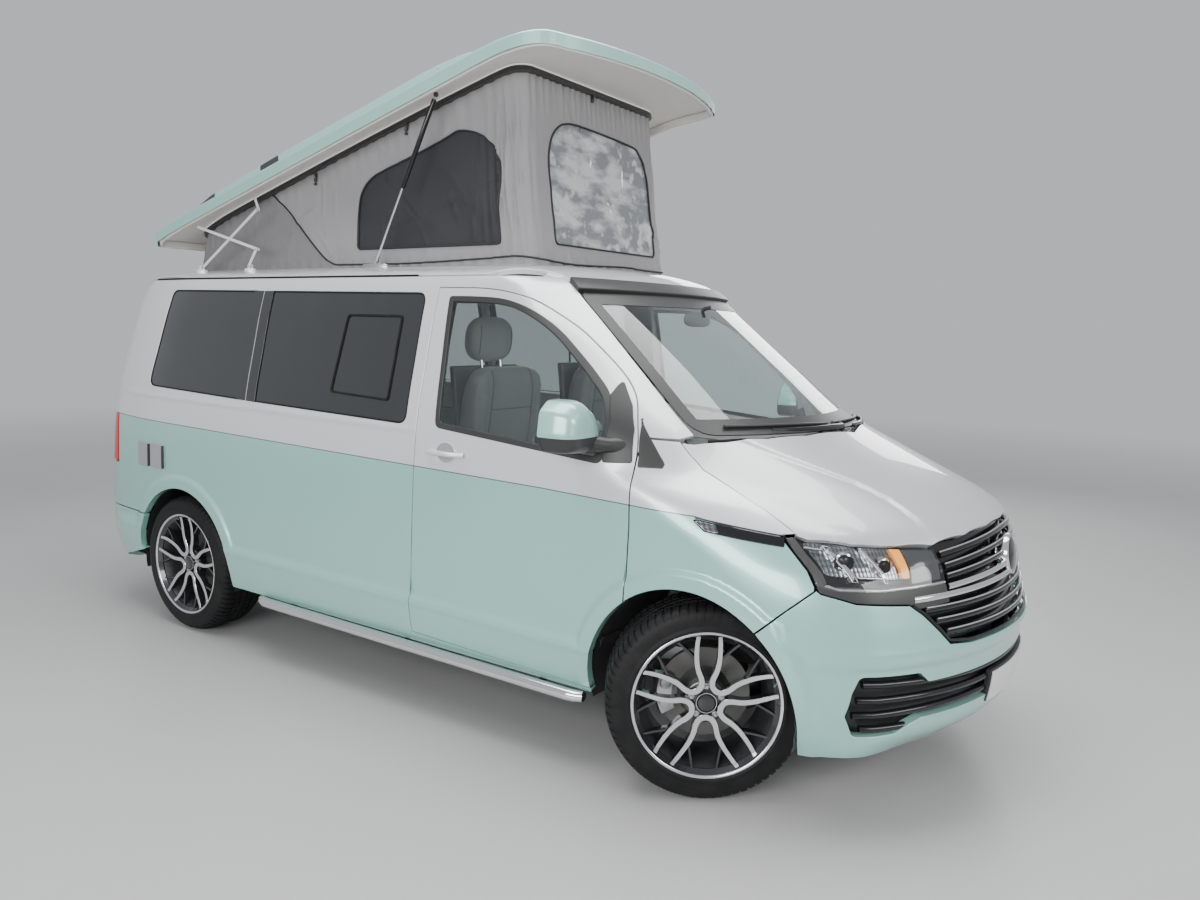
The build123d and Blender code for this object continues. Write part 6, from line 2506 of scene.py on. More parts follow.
@dataclass
class Tent:
    """Canvas walls of the raised roof, with mesh and clear windows, piping and hooks."""

    shell: PopTop
    rear: float = -1.84
    front: float = 0.55
    half: float = 0.575
    corner: float = 0.085
    low: float = 1.882
    mesh_window: tuple = ((-0.522, 1.990), (-0.522, 2.187), (-0.500, 2.269), (-0.438, 2.324), (-0.330, 2.361),
                          (-0.125, 2.415), (0.020, 2.458), (0.094, 2.485), (0.154, 2.484), (0.237, 2.460),
                          (0.301, 2.414), (0.344, 2.358), (0.357, 2.285), (0.376, 1.991))
    clear_window: tuple = ((-0.384, 2.002), (-0.387, 2.172), (-0.391, 2.345), (-0.363, 2.444), (-0.311, 2.506),
                           (-0.239, 2.538), (-0.104, 2.548), (0.257, 2.532), (0.348, 2.513), (0.415, 2.439),
                           (0.438, 2.321), (0.447, 2.170), (0.454, 2.006))
    side_piping: tuple = ((-1.300, 2.372), (-1.207, 2.297), (-1.070, 2.203), (-0.923, 2.078), (-0.773, 1.962),
                          (-0.695, 1.925), (-0.597, 1.919), (-0.167, 1.918), (0.263, 1.930), (0.460, 1.938))
    front_piping: tuple = ((-0.500, 1.930), (-0.250, 1.921), (0.157, 1.936), (0.307, 1.933), (0.500, 1.933))

    def __post_init__(self) -> None:
        """Works out the walls' line round the roof and the folds."""
        self.mesh_window, self.clear_window = curve_points(self.mesh_window, 4), curve_points(self.clear_window, 4)
        c = self.corner
        spots, ways = [(self.rear, 0.0)], [(-1.0, 0.0)]
        for x, y, first in ((self.rear + c, c - self.half, 180), (self.front - c, c - self.half, 270),
                            (self.front - c, self.half - c, 0), (self.rear + c, self.half - c, 90)):
            for a in np.radians(np.linspace(first, first + 90, 10)):
                spots.append((x + c * math.cos(a), y + c * math.sin(a)))
                ways.append((math.cos(a), math.sin(a)))
        self.line = np.array(spots + [(self.rear, 0.0)])
        self.ways = np.array(ways + [(-1.0, 0.0)])
        self.run = np.concatenate([[0], np.cumsum(np.linalg.norm(np.diff(self.line, axis=0), axis=1))])
        self.length = self.run[-1]
        side, flat = self.front - self.rear - 2 * c, 2 * (self.half - c)
        bend = self.run[10] - self.run[1]
        self.starts = {"right": flat / 2 + bend, "front": flat / 2 + 2 * bend + side,
                       "left": flat / 2 + 3 * bend + side + flat}
        rng = np.random.default_rng(11)
        rows = []
        for count, low_u, high_u, low_z, high_z in (
                (26, self.starts["right"], self.starts["right"] + 1.15, 1.93, 2.35),
                (30, self.starts["right"] + 0.9, self.starts["front"], 1.90, 2.60),
                (22, self.starts["front"] - 0.1, self.starts["front"] + flat + 0.1, 1.90, 2.72),
                (30, self.starts["left"], self.starts["left"] + side, 1.90, 2.50)):
            for _ in range(count):
                lean = rng.normal(0.0, 0.55)
                rows.append((rng.uniform(low_u, high_u), rng.uniform(low_z, high_z), lean, rng.uniform(0.05, 0.16),
                             rng.uniform(0.008, 0.018), rng.choice((-1, 1)) * rng.uniform(0.0030, 0.0075)))
        self.creases = rows

    def top_of(self, x: np.ndarray, y: np.ndarray) -> np.ndarray:
        """Raised points where the wall that starts at a place meets the rail.

        Args:
            x: Length positions.
            y: Places across.

        Returns:
            The points.
        """
        along = -1.81 + (x - self.rear) / (self.front - self.rear) * 2.367
        across = y * 0.94
        return raised(np.stack([along, across, self.shell.top(along, across) - 0.058], -1))

    def folds(self, u: np.ndarray, z: np.ndarray, g: np.ndarray, way: np.ndarray) -> np.ndarray:
        """How far the cloth stands out: slack, folds at the corners, gathers and creases.

        Args:
            u: Distance round the tent.
            z: Heights.
            g: Share of the way up the wall.
            way: Outward direction of the wall.

        Returns:
            Outward distance at each place.
        """
        hang = np.sin(np.pi * np.clip(g, 0, 1))
        out = -0.050 * hang * step(-way[:, 0], 0.6, 1.0) - 0.007 * hang
        fade = (0.35 + 0.65 * step(g, 0.0, 0.3)) * (0.25 + 0.75 * (1 - step(g, 0.7, 1.0)))
        for at, wide in ((self.starts["front"] - 0.16, 0.11),
                         (self.starts["front"] + 2 * (self.half - self.corner) + 0.16, 0.11),
                         (self.starts["right"] - 0.04, 0.12),
                         (self.length - self.starts["right"] + 0.04, 0.12)):
            near = np.exp(-(((u - at) / wide) ** 2))
            wave = np.sin((u - at) * 2 * np.pi / 0.052 + 1.2 * np.sin(z * 9.0))
            out = out + 0.013 * near * wave * fade
        out = out + 0.0065 * np.sin(u * 2 * np.pi / 0.083 + 2.0 * np.sin(u * 3.1)) * (1 - step(z, 1.905, 1.960))
        fine = np.sin(u * 2 * np.pi / 0.046 + 1.6 * np.sin(u * 9.0)) * step(z, 2.53, 2.64)
        out = out + 0.0048 * fine * step(way[:, 0], 0.8, 1.0)
        wide = np.sin(u * 2 * np.pi / 0.075 + 1.8 * np.sin(u * 6.0)) * step(g, 0.72, 0.96)
        out = out + 0.0035 * wide * step(np.abs(way[:, 1]), 0.8, 1.0)
        slack = np.sin(u * 5.3 + 1.3 * np.sin(z * 6.1 + u)) * np.sin(z * 8.7 + 1.7 * np.sin(u * 2.9))
        out = out + 0.0045 * slack * hang
        for at, level, lean, long, wide, size in self.creases:
            du, dz = u - at, z - level
            along, across = du * math.sin(lean) + dz * math.cos(lean), du * math.cos(lean) - dz * math.sin(lean)
            out = out + size * np.exp(-((across / wide) ** 2) - (along / long) ** 2)
        return out

    def wall(self, lift: float = 0.0) -> Surface:
        """The canvas as a surface over distance round the tent and height.

        Args:
            lift: Distance outwards.

        Returns:
            Function from distance and height to points.
        """

        def place(u: np.ndarray, z: np.ndarray) -> np.ndarray:
            """Points of the cloth.

            Args:
                u: Distance round the tent.
                z: Heights.

            Returns:
                The points.
            """
            x, y = np.interp(u, self.run, self.line[:, 0]), np.interp(u, self.run, self.line[:, 1])
            way = np.stack([np.interp(u, self.run, self.ways[:, k]) for k in (0, 1)], 1)
            way /= np.linalg.norm(way, axis=1)[:, None]
            high = self.top_of(x, y)
            g = (z - self.low) / (high[:, 2] - self.low)
            out = self.folds(u, z, g, way) + lift
            return np.stack([x + (high[:, 0] - x) * g + way[:, 0] * out, y + (high[:, 1] - y) * g + way[:, 1] * out,
                             z], -1)

        return place

    def on_side(self, points: Points, side: Side) -> np.ndarray:
        """Turns x and z on a side wall into distance and height.

        Args:
            points: Points in x and z.
            side: Side of the van.

        Returns:
            Pairs of distance and height.
        """
        p = np.array(points, float)
        x = p[:, 0].copy()
        for _ in range(6):
            high = self.top_of(x, self.half + 0 * x)
            g = (p[:, 1] - self.low) / (high[:, 2] - self.low)
            x = x + (p[:, 0] - (x + (high[:, 0] - x) * g))
        ahead = x - (self.rear + self.corner)
        u = self.starts["right"] + ahead if side is Side.RIGHT else self.length - self.starts["right"] - ahead
        return np.column_stack([u, p[:, 1]])

    def on_front(self, points: Points) -> np.ndarray:
        """Turns y and z on the front wall into distance and height.

        Args:
            points: Points in y and z.

        Returns:
            Pairs of distance and height.
        """
        p = np.array(points, float)
        g = (p[:, 1] - self.low) / 0.85
        return np.column_stack([self.starts["front"] + p[:, 0] / (1 - 0.06 * g) + self.half - self.corner, p[:, 1]])

    def build(self) -> None:
        """Makes the cloth and what is sewn to it."""
        u = np.linspace(0.002, self.length - 0.002, 300)
        high = self.top_of(np.interp(u, self.run, self.line[:, 0]), np.interp(u, self.run, self.line[:, 1]))
        outline = [(v, self.low) for v in u[::4]] + list(zip(u[::-1], high[::-1, 2] + 0.004))
        windows = {side: self.on_side(self.mesh_window, side) for side in Side}
        clear = self.on_front(self.clear_window)
        panel = Panel("tent_canvas", outline, self.wall(), [*windows.values(), clear], 0.0, 0.03, spacing=0.019,
                      hem=0.0012, depth=0.0012, gap=0.0)
        canvas = finish_piece(panel.build(), "chassis", (Finishes.canvas,), ["canvas"])
        soft = [canvas]
        for side, line in windows.items():
            panel = Panel(f"mesh_window_{side.word}", shrink(line, -0.006), self.wall(-0.004), (), 0.03, spacing=0.022,
                          hem=0.0008, depth=0.0008, gap=0.0)
            mesh = finish_piece(panel.build(), "chassis", (Finishes.netting,))
            soft.append(mesh)
        panel = Panel("clear_window", shrink(clear, -0.006), self.wall(-0.004), (), 0.03, spacing=0.020, hem=0.0006,
                      depth=0.0006, gap=0.0)
        vinyl = finish_piece(panel.build(), "chassis", (Finishes.vinyl,))
        soft.append(vinyl)
        soft.append(self.piping(windows, clear))
        soft.append(self.hooks())
        for piece in soft:
            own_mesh(piece)

    def piping(self, windows: dict, clear: np.ndarray) -> bpy.types.Object:
        """Black piping round the windows and along the seams.

        Args:
            windows: Window line of each side.
            clear: Window line of the front.

        Returns:
            The piping.
        """
        parts = []
        lines = [np.array(line) for line in windows.values()] + [clear]
        for line in lines:
            ring = rounded(line, 0.03, 0.016)
            ring = np.concatenate([ring, ring[:2]])
            parts.append(tube("edge", self.wall(0.0012)(ring[:, 0], ring[:, 1]), 0.0058, 8, 0.75))
        sides = {side: self.on_side(self.side_piping, side) for side in Side}
        whole = np.concatenate([sides[Side.RIGHT], self.on_front(self.front_piping), sides[Side.LEFT][::-1]])
        run = curve_points(whole, 12)
        parts.append(tube("seam", self.wall(0.0012)(run[:, 0], run[:, 1]), 0.0058, 8, 0.75))
        return finish_piece(joined("tent_piping", [tinted(part, Finishes.piping) for part in parts]), "chassis", ())

    def hooks(self) -> bpy.types.Object:
        """Small black toggles that hold the rolled flaps.

        Returns:
            The toggles, as one piece.
        """
        spots = [self.on_side(((-0.841, 2.340), (-0.200, 2.523)), side) for side in Side]
        spots.append(self.on_front(((-0.020, 2.700),)))
        parts = []
        for row in spots:
            for u, z in row:
                heights = np.linspace(z - 0.026, z + 0.026, 7)
                path = self.wall(0.011)(u + 0.005 * np.sin((heights - z) * 90), heights)
                parts.append(tube("hook", path, 0.0075, 10))
                strap = np.linspace(z + 0.012, z + 0.034, 4)
                parts.append(tube("strap", self.wall(0.003)(u + 0 * strap, strap), 0.006, 8, 0.3, across=(0, 1, 0)))
        return finish_piece(joined("tent_hooks", [tinted(part, Finishes.plastic) for part in parts]), "chassis", ())


@dataclass
class RoofLinks:
    """Stays and scissor bars of the pop-top, with their feet."""

    stay_y: float = 0.644
    foot: tuple = (-0.310, 1.922)
    head: tuple = (0.075, 2.635)
    scissor_foot: tuple = (-1.616, 1.914)
    link_foot: tuple = (-1.182, 1.914)
    scissor_head: tuple = (-1.638, 2.127)
    link_head: tuple = (-1.168, 2.250)
    upper_end: tuple = (-1.140, 2.195)
    lower_end: tuple = (-1.120, 1.995)

    def build(self) -> None:
        """Makes every bar on both sides."""
        self.stays()
        self.feet()
        for name, start, end, y in (("scissor_arms_lower", self.scissor_foot, self.upper_end, 0.675),
                                    ("scissor_arms_upper", self.scissor_head, self.lower_end, 0.686),
                                    ("scissor_links_lower", self.link_foot, self.lower_end, 0.700),
                                    ("scissor_links_upper", self.link_head, self.upper_end, 0.664)):
            parts = []
            for side in Side:
                parts.append(tinted(self.strap(start, end, side.value * y, side.value * (y + 0.005)),
                                    Finishes.white_steel))
                for x, z in (start, end):
                    pin = lathe("pin", ((0.0005, 0.0065), (0.0045, 0.0060), (0.0050, 0.0045), (0.0050, -0.0020),
                                        (0.0005, -0.0020)), 20)
                    turn = Matrix.Translation((x, side.value * y, z)) @ Matrix.Rotation(
                        math.radians(-90.0 * side.value), 4, "X")
                    parts.append(tinted(moved(pin, turn), Finishes.satin_alloy))
            finish_piece(joined(name.replace("scissor_", "bars_"), parts), name, (), [name])

    def strap(self, start: Sequence[float], end: Sequence[float], low: float, high: float,
              half: float = 0.007) -> bpy.types.Object:
        """Flat bar with round ends between two pivots.

        Args:
            start: Pivot in x and z.
            end: Other pivot.
            low: One face.
            high: Other face.
            half: Half width.

        Returns:
            The bar.
        """
        lean = math.atan2(end[1] - start[1], end[0] - start[0])
        outline = []
        for spot, first in ((start, lean + math.pi / 2), (end, lean - math.pi / 2)):
            outline += [(spot[0] + half * math.cos(first + a), spot[1] + half * math.sin(first + a))
                        for a in np.linspace(0, math.pi, 10)]
        return prism("strap", outline, min(low, high), max(low, high), "side", 0.0008)

    def stay_points(self, side: Side, *shares: float) -> list[np.ndarray]:
        """Points of a stay at shares of the way from its foot to its head."""
        a, b = (np.array([x, side.value * self.stay_y, z]) for x, z in (self.foot, self.head))
        return [a + (b - a) * t for t in shares]

    def stays(self) -> None:
        """Makes the two struts: a thin rod below and a black tube above."""
        lower, upper = [], []
        profile = ((0.0005, 0.011), (0.006, 0.010), (0.010, 0.006), (0.0112, 0.0), (0.010, -0.006), (0.006, -0.010),
                   (0.0005, -0.011))
        for side in Side:
            rod = tube("rod", self.stay_points(side, 0.015, 0.25, 0.50), 0.0055, 16)
            eye = tube("eye", self.stay_points(side, 0.0, 0.012, 0.034), 0.0095, 16, taper=(0.8, 1.0, 0.9))
            lower += [tinted(rod, Finishes.chrome), tinted(eye, Finishes.satin_alloy)]
            body = tube("tube", self.stay_points(side, 0.452, 0.455, 0.470, 0.472, 0.955, 0.960), 0.0108, 20,
                        taper=(0.80, 0.92, 0.92, 1.0, 1.0, 0.8))
            neck = tube("neck", self.stay_points(side, 0.955, 0.985), 0.006, 12)
            ball = moved(lathe("ball", profile, 20), Matrix.Translation(self.stay_points(side, 0.985)[0]))
            upper += [tinted(body, Finishes.gloss_black), tinted(neck, Finishes.satin_alloy),
                      tinted(ball, Finishes.plastic)]
        finish_piece(joined("stay_rods_thin", lower), "stay_tubes", (), ["stay_tubes"])
        finish_piece(joined("stay_tubes_black", upper), "stay_rods", (), ["stay_rods"])

    def feet(self) -> None:
        """Makes the oval stay feet and the white scissor feet on the roof."""
        parts = []
        white = (0.034, 0.026, 0.012)
        rows = (((self.foot[0] - 0.007, self.stay_y), self.foot, (0.086, 0.024, 0.013), 0.012, Finishes.satin_alloy),
                ((self.scissor_foot[0], 0.684), self.scissor_foot, white, 0.009, Finishes.white_steel),
                ((self.link_foot[0], 0.694), self.link_foot, white, 0.009, Finishes.white_steel))
        for side in Side:
            for (x, y), eye, (long, wide, high), pivot, finish in rows:
                level = BODY.cast(np.array([[x, y, 1.70]]), (0.0, 0.0, 1.0))[0][2]
                rings = []
                for scale, rise in ((1.0, -0.006), (1.0, 0.003), (0.965, 0.008), (0.88, high), (0.5, high + 0.0015)):
                    rings.append([(x + long * scale * math.cos(t), side.value * (y + wide * scale * math.sin(t)),
                                   level + rise) for t in np.linspace(0, 2 * math.pi, 41)[:-1]])
                parts.append(tinted(loft("foot", np.array(rings)), finish))
                for off in (-pivot, pivot):
                    face = side.value * (y + off)
                    lug = self.strap((eye[0], level), eye, face - 0.0015, face + 0.0015, 0.009)
                    parts.append(tinted(lug, finish))
        finish_piece(joined("roof_feet", parts), "chassis", (), ["stay_brackets"])


@dataclass
class SideBars:
    """Polished oval bars below the doors, with their brackets and end caps."""

    y: float = 0.962
    ends: tuple = ((-0.800, 0.2865), (1.120, 0.2735))

    def build(self) -> None:
        """Makes both bars."""
        parts = []
        for side in Side:
            x = np.array([0.0, 0.012, 0.030, 0.5, 0.97, 0.988, 1.0]) * (self.ends[1][0] - self.ends[0][0])
            x = x + self.ends[0][0]
            z = np.interp(x, *zip(*self.ends))
            inward = np.array([0.016, 0.006, 0.0, 0.0, 0.0, 0.006, 0.016])
            path = np.column_stack([x, side.value * (self.y - inward), z])
            parts.append(tinted(tube("bar", path, 0.0240, 28, 1.0, (0.86, 0.96, 1, 1, 1, 0.96, 0.86)),
                                Finishes.chrome))
            for k, way in ((0, -1), (-1, 1)):
                cap = [path[k] + np.array([way * d, 0.0, 0.0]) for d in (0.0, 0.003, 0.006)]
                parts.append(tinted(tube("cap", cap, 0.0205, 24, 1.0, (1.0, 0.98, 0.6)), Finishes.plastic))
            for at in (-0.600, 0.160, 0.900):
                z_at = float(np.interp(at, *zip(*self.ends)))
                arm = curve_points([(at, side.value * 0.935, z_at), (at, side.value * 0.880, z_at + 0.004),
                                    (at, side.value * 0.800, z_at + 0.016)], 4)
                parts.append(tinted(tube("arm", arm, 0.014, 14, 0.6), Finishes.chassis))
        finish_piece(joined("step_bars", parts), "chassis", (), ["side_bars"])


@dataclass
class Cowl:
    """Black tray at the foot of the windscreen, with the wipers."""

    bonnet_edge: tuple = Bonnet.rear

    def build(self) -> None:
        """Makes the tray, its seal and both wipers."""
        front = np.array([(x + 0.020, y) for x, y in self.bonnet_edge])
        y = np.linspace(0.0, 0.738, 9)
        level = np.full(9, 1.262)
        glass = BODY.raw(BODY.s_at_y(y, level, True), level)[0] - 0.012
        half = list(map(tuple, front)) + [(x, v) for x, v in zip(glass[::-1], y[::-1])]
        outline = tidy_line(doubled(half))

        def place(u: np.ndarray, v: np.ndarray) -> np.ndarray:
            """Points a little below the body's own line.

            Args:
                u: Length positions.
                v: Places across.

            Returns:
                The points.
            """
            start = np.stack([u, v, 0 * u + 0.70], -1)
            ribs = 0.0018 * np.sin(v * 2 * np.pi / 0.022) * step(0.62 - np.abs(v), 0.0, 0.02)
            return BODY.soft_cast(start, (0, 0, 1), (1, 0, 0), (0, 1, 0), 0.010) - np.stack(
                [0 * u, 0 * u, 0.018 - ribs], -1)

        tray = Panel("cowl_tray", outline, place, (), 0.0, spacing=0.022, depth=0.010, gap=0.0)
        parts = [tinted(tray.build(), Finishes.plastic)]
        y = np.linspace(-0.690, 0.690, 40)
        x = np.interp(np.abs(y), [p[1] for p in self.bonnet_edge], [p[0] for p in self.bonnet_edge])
        tops = BODY.cast(np.stack([x - 0.010, y, 0 * y + 0.70], -1), (0, 0, 1), 0.8)
        parts.append(tinted(tube("seal", tops - (0, 0, 0.006), 0.0065, 8), Finishes.rubber))
        for start, end, low, rise in ((0.520, -0.060, 1.266, 0.012), (-0.020, -0.600, 1.276, 0.010)):
            parts += self.wiper(start, end, low, rise)
        finish_piece(joined("cowl_and_wipers", parts), "chassis", (), ["scuttle"])

    def over_glass(self, y: np.ndarray, z: np.ndarray, lift: np.ndarray) -> np.ndarray:
        """Points above the windscreen at places across it and heights.

        Args:
            y: Places across.
            z: Heights.
            lift: Distance from the glass.

        Returns:
            The points.
        """
        u = from_middle(np.column_stack([y, z]), True)[:, 0]
        spots, normal = around(True, 0.0)(u, z), around(True, 0.01)(u, z)
        return spots + (normal - spots) / 0.01 * lift[:, None]

    def wiper(self, start: float, end: float, low: float, rise: float) -> list[bpy.types.Object]:
        """Arm, blade and pivot of one wiper.

        Args:
            start: Place of the pivot across the van.
            end: Place of the blade's tip.
            low: Height at the pivot.
            rise: Gain in height towards the tip.

        Returns:
            The parts.
        """
        t = np.linspace(0, 1, 16)
        y = start + (end - start) * t
        arm = self.over_glass(y[:12], low + rise * t[:12], 0.017 + 0.006 * np.sin(t[:12] * 4))
        blade_y = start + (end - start) * np.linspace(0.16, 1.0, 20)
        blade_z = low + 0.012 + rise * np.linspace(0.16, 1.0, 20) + 0.003 * np.sin(np.linspace(0, np.pi, 20))
        blade = self.over_glass(blade_y, blade_z, np.full(20, 0.006))
        back = self.over_glass(blade_y, blade_z, np.full(20, 0.012))
        pivot = self.over_glass(y[:1], np.array([low - 0.004]), np.array([0.0]))[0]
        cap = lathe("cap", ((0.0005, 0.016), (0.012, 0.014), (0.017, 0.008), (0.019, -0.010), (0.0005, -0.010)), 24)
        taper = np.interp(t[:12], (0, 0.12, 0.5, 0.75), (1.35, 1.5, 1.0, 0.6))
        made = [tube("arm", arm, 0.0085, 12, 0.5, taper, across=(1, 0, 0.6)),
                tube("blade", blade, 0.0035, 8, 1.4), tube("back", back, 0.0062, 8, 0.9),
                moved(cap, Matrix.Translation(pivot) @ Matrix.Rotation(math.radians(35), 4, "Y"))]
        return [tinted(part, Finishes.gloss_black) for part in made[:1]] + [tinted(part, Finishes.plastic)
                                                                            for part in made[1:]]


@dataclass
class Pad:
    """Cushion with a crowned form, swollen by cloth simulation and sewn along seams."""

    name: str
    middle: tuple
    half: tuple
    lean: float = 0.0
    bolster: float = 0.0
    power: float = 4.5
    seams: tuple = ()
    cells: int = 22
    voxel: float = 0.011
    cap: float = 0.010
    finish: Finish = Finishes.seat_cloth

    def shape(self) -> bpy.types.Object:
        """Rounded block with raised sides, a little smaller than the cushion.

        Returns:
            The object about its own middle, with its outer face up.
        """
        n = self.cells
        t = np.tan(np.linspace(-math.pi / 4, math.pi / 4, n + 1))
        verts, faces = [], []
        for axis in range(3):
            for sign in (-1, 1):
                a, b = np.meshgrid(t, t, indexing="ij")
                cube = np.zeros((n + 1, n + 1, 3))
                cube[..., axis], cube[..., (axis + 1) % 3], cube[..., (axis + 2) % 3] = sign, a, b
                start = len(verts)
                verts += cube.reshape(-1, 3).tolist()
                for i in range(n):
                    for k in range(n):
                        c = start + i * (n + 1) + k
                        faces.append((c, c + 1, c + n + 2, c + n + 1))
        p = np.array(verts)
        p /= (np.abs(p) ** self.power).sum(1)[:, None] ** (1 / self.power)
        crown = 1 - 0.10 * (p[:, 0] ** 2) * (p[:, 2] > 0)
        rise = self.bolster * step(np.abs(p[:, 1]), 0.55, 0.86) * (p[:, 2] > 0)
        waist = 1 - 0.035 * (1 - p[:, 1] ** 2) * (np.abs(p[:, 0]) > 0.7)
        spots = np.column_stack([p[:, 0] * self.half[0] * waist, p[:, 1] * self.half[1],
                                 p[:, 2] * self.half[2] * crown + rise])
        mesh = bpy.data.meshes.new(self.name)
        mesh.from_pydata(spots.tolist(), [], faces)
        work = bmesh.new()
        work.from_mesh(mesh)
        bmesh.ops.remove_doubles(work, verts=work.verts, dist=1e-5)
        bmesh.ops.recalc_face_normals(work, faces=work.faces)
        work.to_mesh(mesh)
        work.free()
        mesh.shade_smooth()
        return link(bpy.data.objects.new(self.name, mesh))

    def swell(self, thing: bpy.types.Object) -> None:
        """Remeshes the block, blows it up as cloth for a moment and keeps the result.

        Args:
            thing: The block.
        """
        self.bake(thing, "REMESH", {"mode": "VOXEL", "voxel_size": self.voxel, "use_smooth_shade": True})
        rest = np.array([v.co for v in thing.data.vertices])
        group = thing.vertex_groups.new(name="held")
        low = rest[:, 2].min()
        group.add([i for i, z in enumerate(rest[:, 2]) if z < low + self.half[2] * 0.25], 1.0, "REPLACE")
        cloth = thing.modifiers.new("cloth", "CLOTH")
        cloth.settings.use_pressure = True
        cloth.settings.uniform_pressure_force = 4.0
        cloth.settings.vertex_group_mass = "held"
        cloth.settings.effector_weights.gravity = 0.0
        cloth.point_cache.frame_start, cloth.point_cache.frame_end = 1, 20
        scene = bpy.context.scene
        for number in range(1, 21):
            scene.frame_set(number)
        shapes = bpy.context.evaluated_depsgraph_get()
        found = thing.evaluated_get(shapes).to_mesh()
        now = np.array([v.co for v in found.vertices])
        thing.evaluated_get(shapes).to_mesh_clear()
        thing.modifiers.clear()
        scene.frame_set(1)
        way = now - rest
        size = np.linalg.norm(way, axis=1)
        way *= np.minimum(1.0, self.cap / np.maximum(size, 1e-9))[:, None]
        thing.data.vertices.foreach_set("co", (rest + way).ravel())
        self.bake(thing, "SUBSURF", {"levels": 1, "render_levels": 1})

    def bake(self, thing: bpy.types.Object, kind: str, options: dict) -> None:
        """Adds a modifier, keeps its result in the mesh and takes it off.

        Args:
            thing: The object.
            kind: Kind of modifier.
            options: Its settings.
        """
        mod = thing.modifiers.new(kind.lower(), kind)
        for key, value in options.items():
            setattr(mod, key, value)
        shapes = bpy.context.evaluated_depsgraph_get()
        mesh = bpy.data.meshes.new_from_object(thing.evaluated_get(shapes), depsgraph=shapes)
        thing.modifiers.clear()
        thing.data = mesh
        mesh.shade_smooth()

    def build(self) -> bpy.types.Object:
        """Returns:
            The cushion.
        """
        thing = self.shape()
        self.swell(thing)
        tree = BVHTree.FromPolygons([v.co for v in thing.data.vertices], [p.vertices for p in thing.data.polygons])
        lines = []
        for seam in self.seams:
            run = curve_points(seam, 12)
            path = []
            for x, y in run:
                hit = tree.ray_cast(Vector((x * self.half[0], y * self.half[1], 1.0)), Vector((0, 0, -1)))[0]
                if hit is not None:
                    path.append(hit)
            if len(path) > 3:
                lines.append(tube("seam", path, 0.0024, 6))
        place = Matrix.Translation(self.middle) @ Matrix.Rotation(math.radians(self.lean), 4, "Y")
        for part in [thing, *lines]:
            moved(part, place)
        finish_piece(thing, "chassis", (self.finish,))
        if lines:
            finish_piece(joined(self.name + "_seams", [tinted(part, Finishes.piping) for part in lines]), "chassis",
                         ())
        return thing


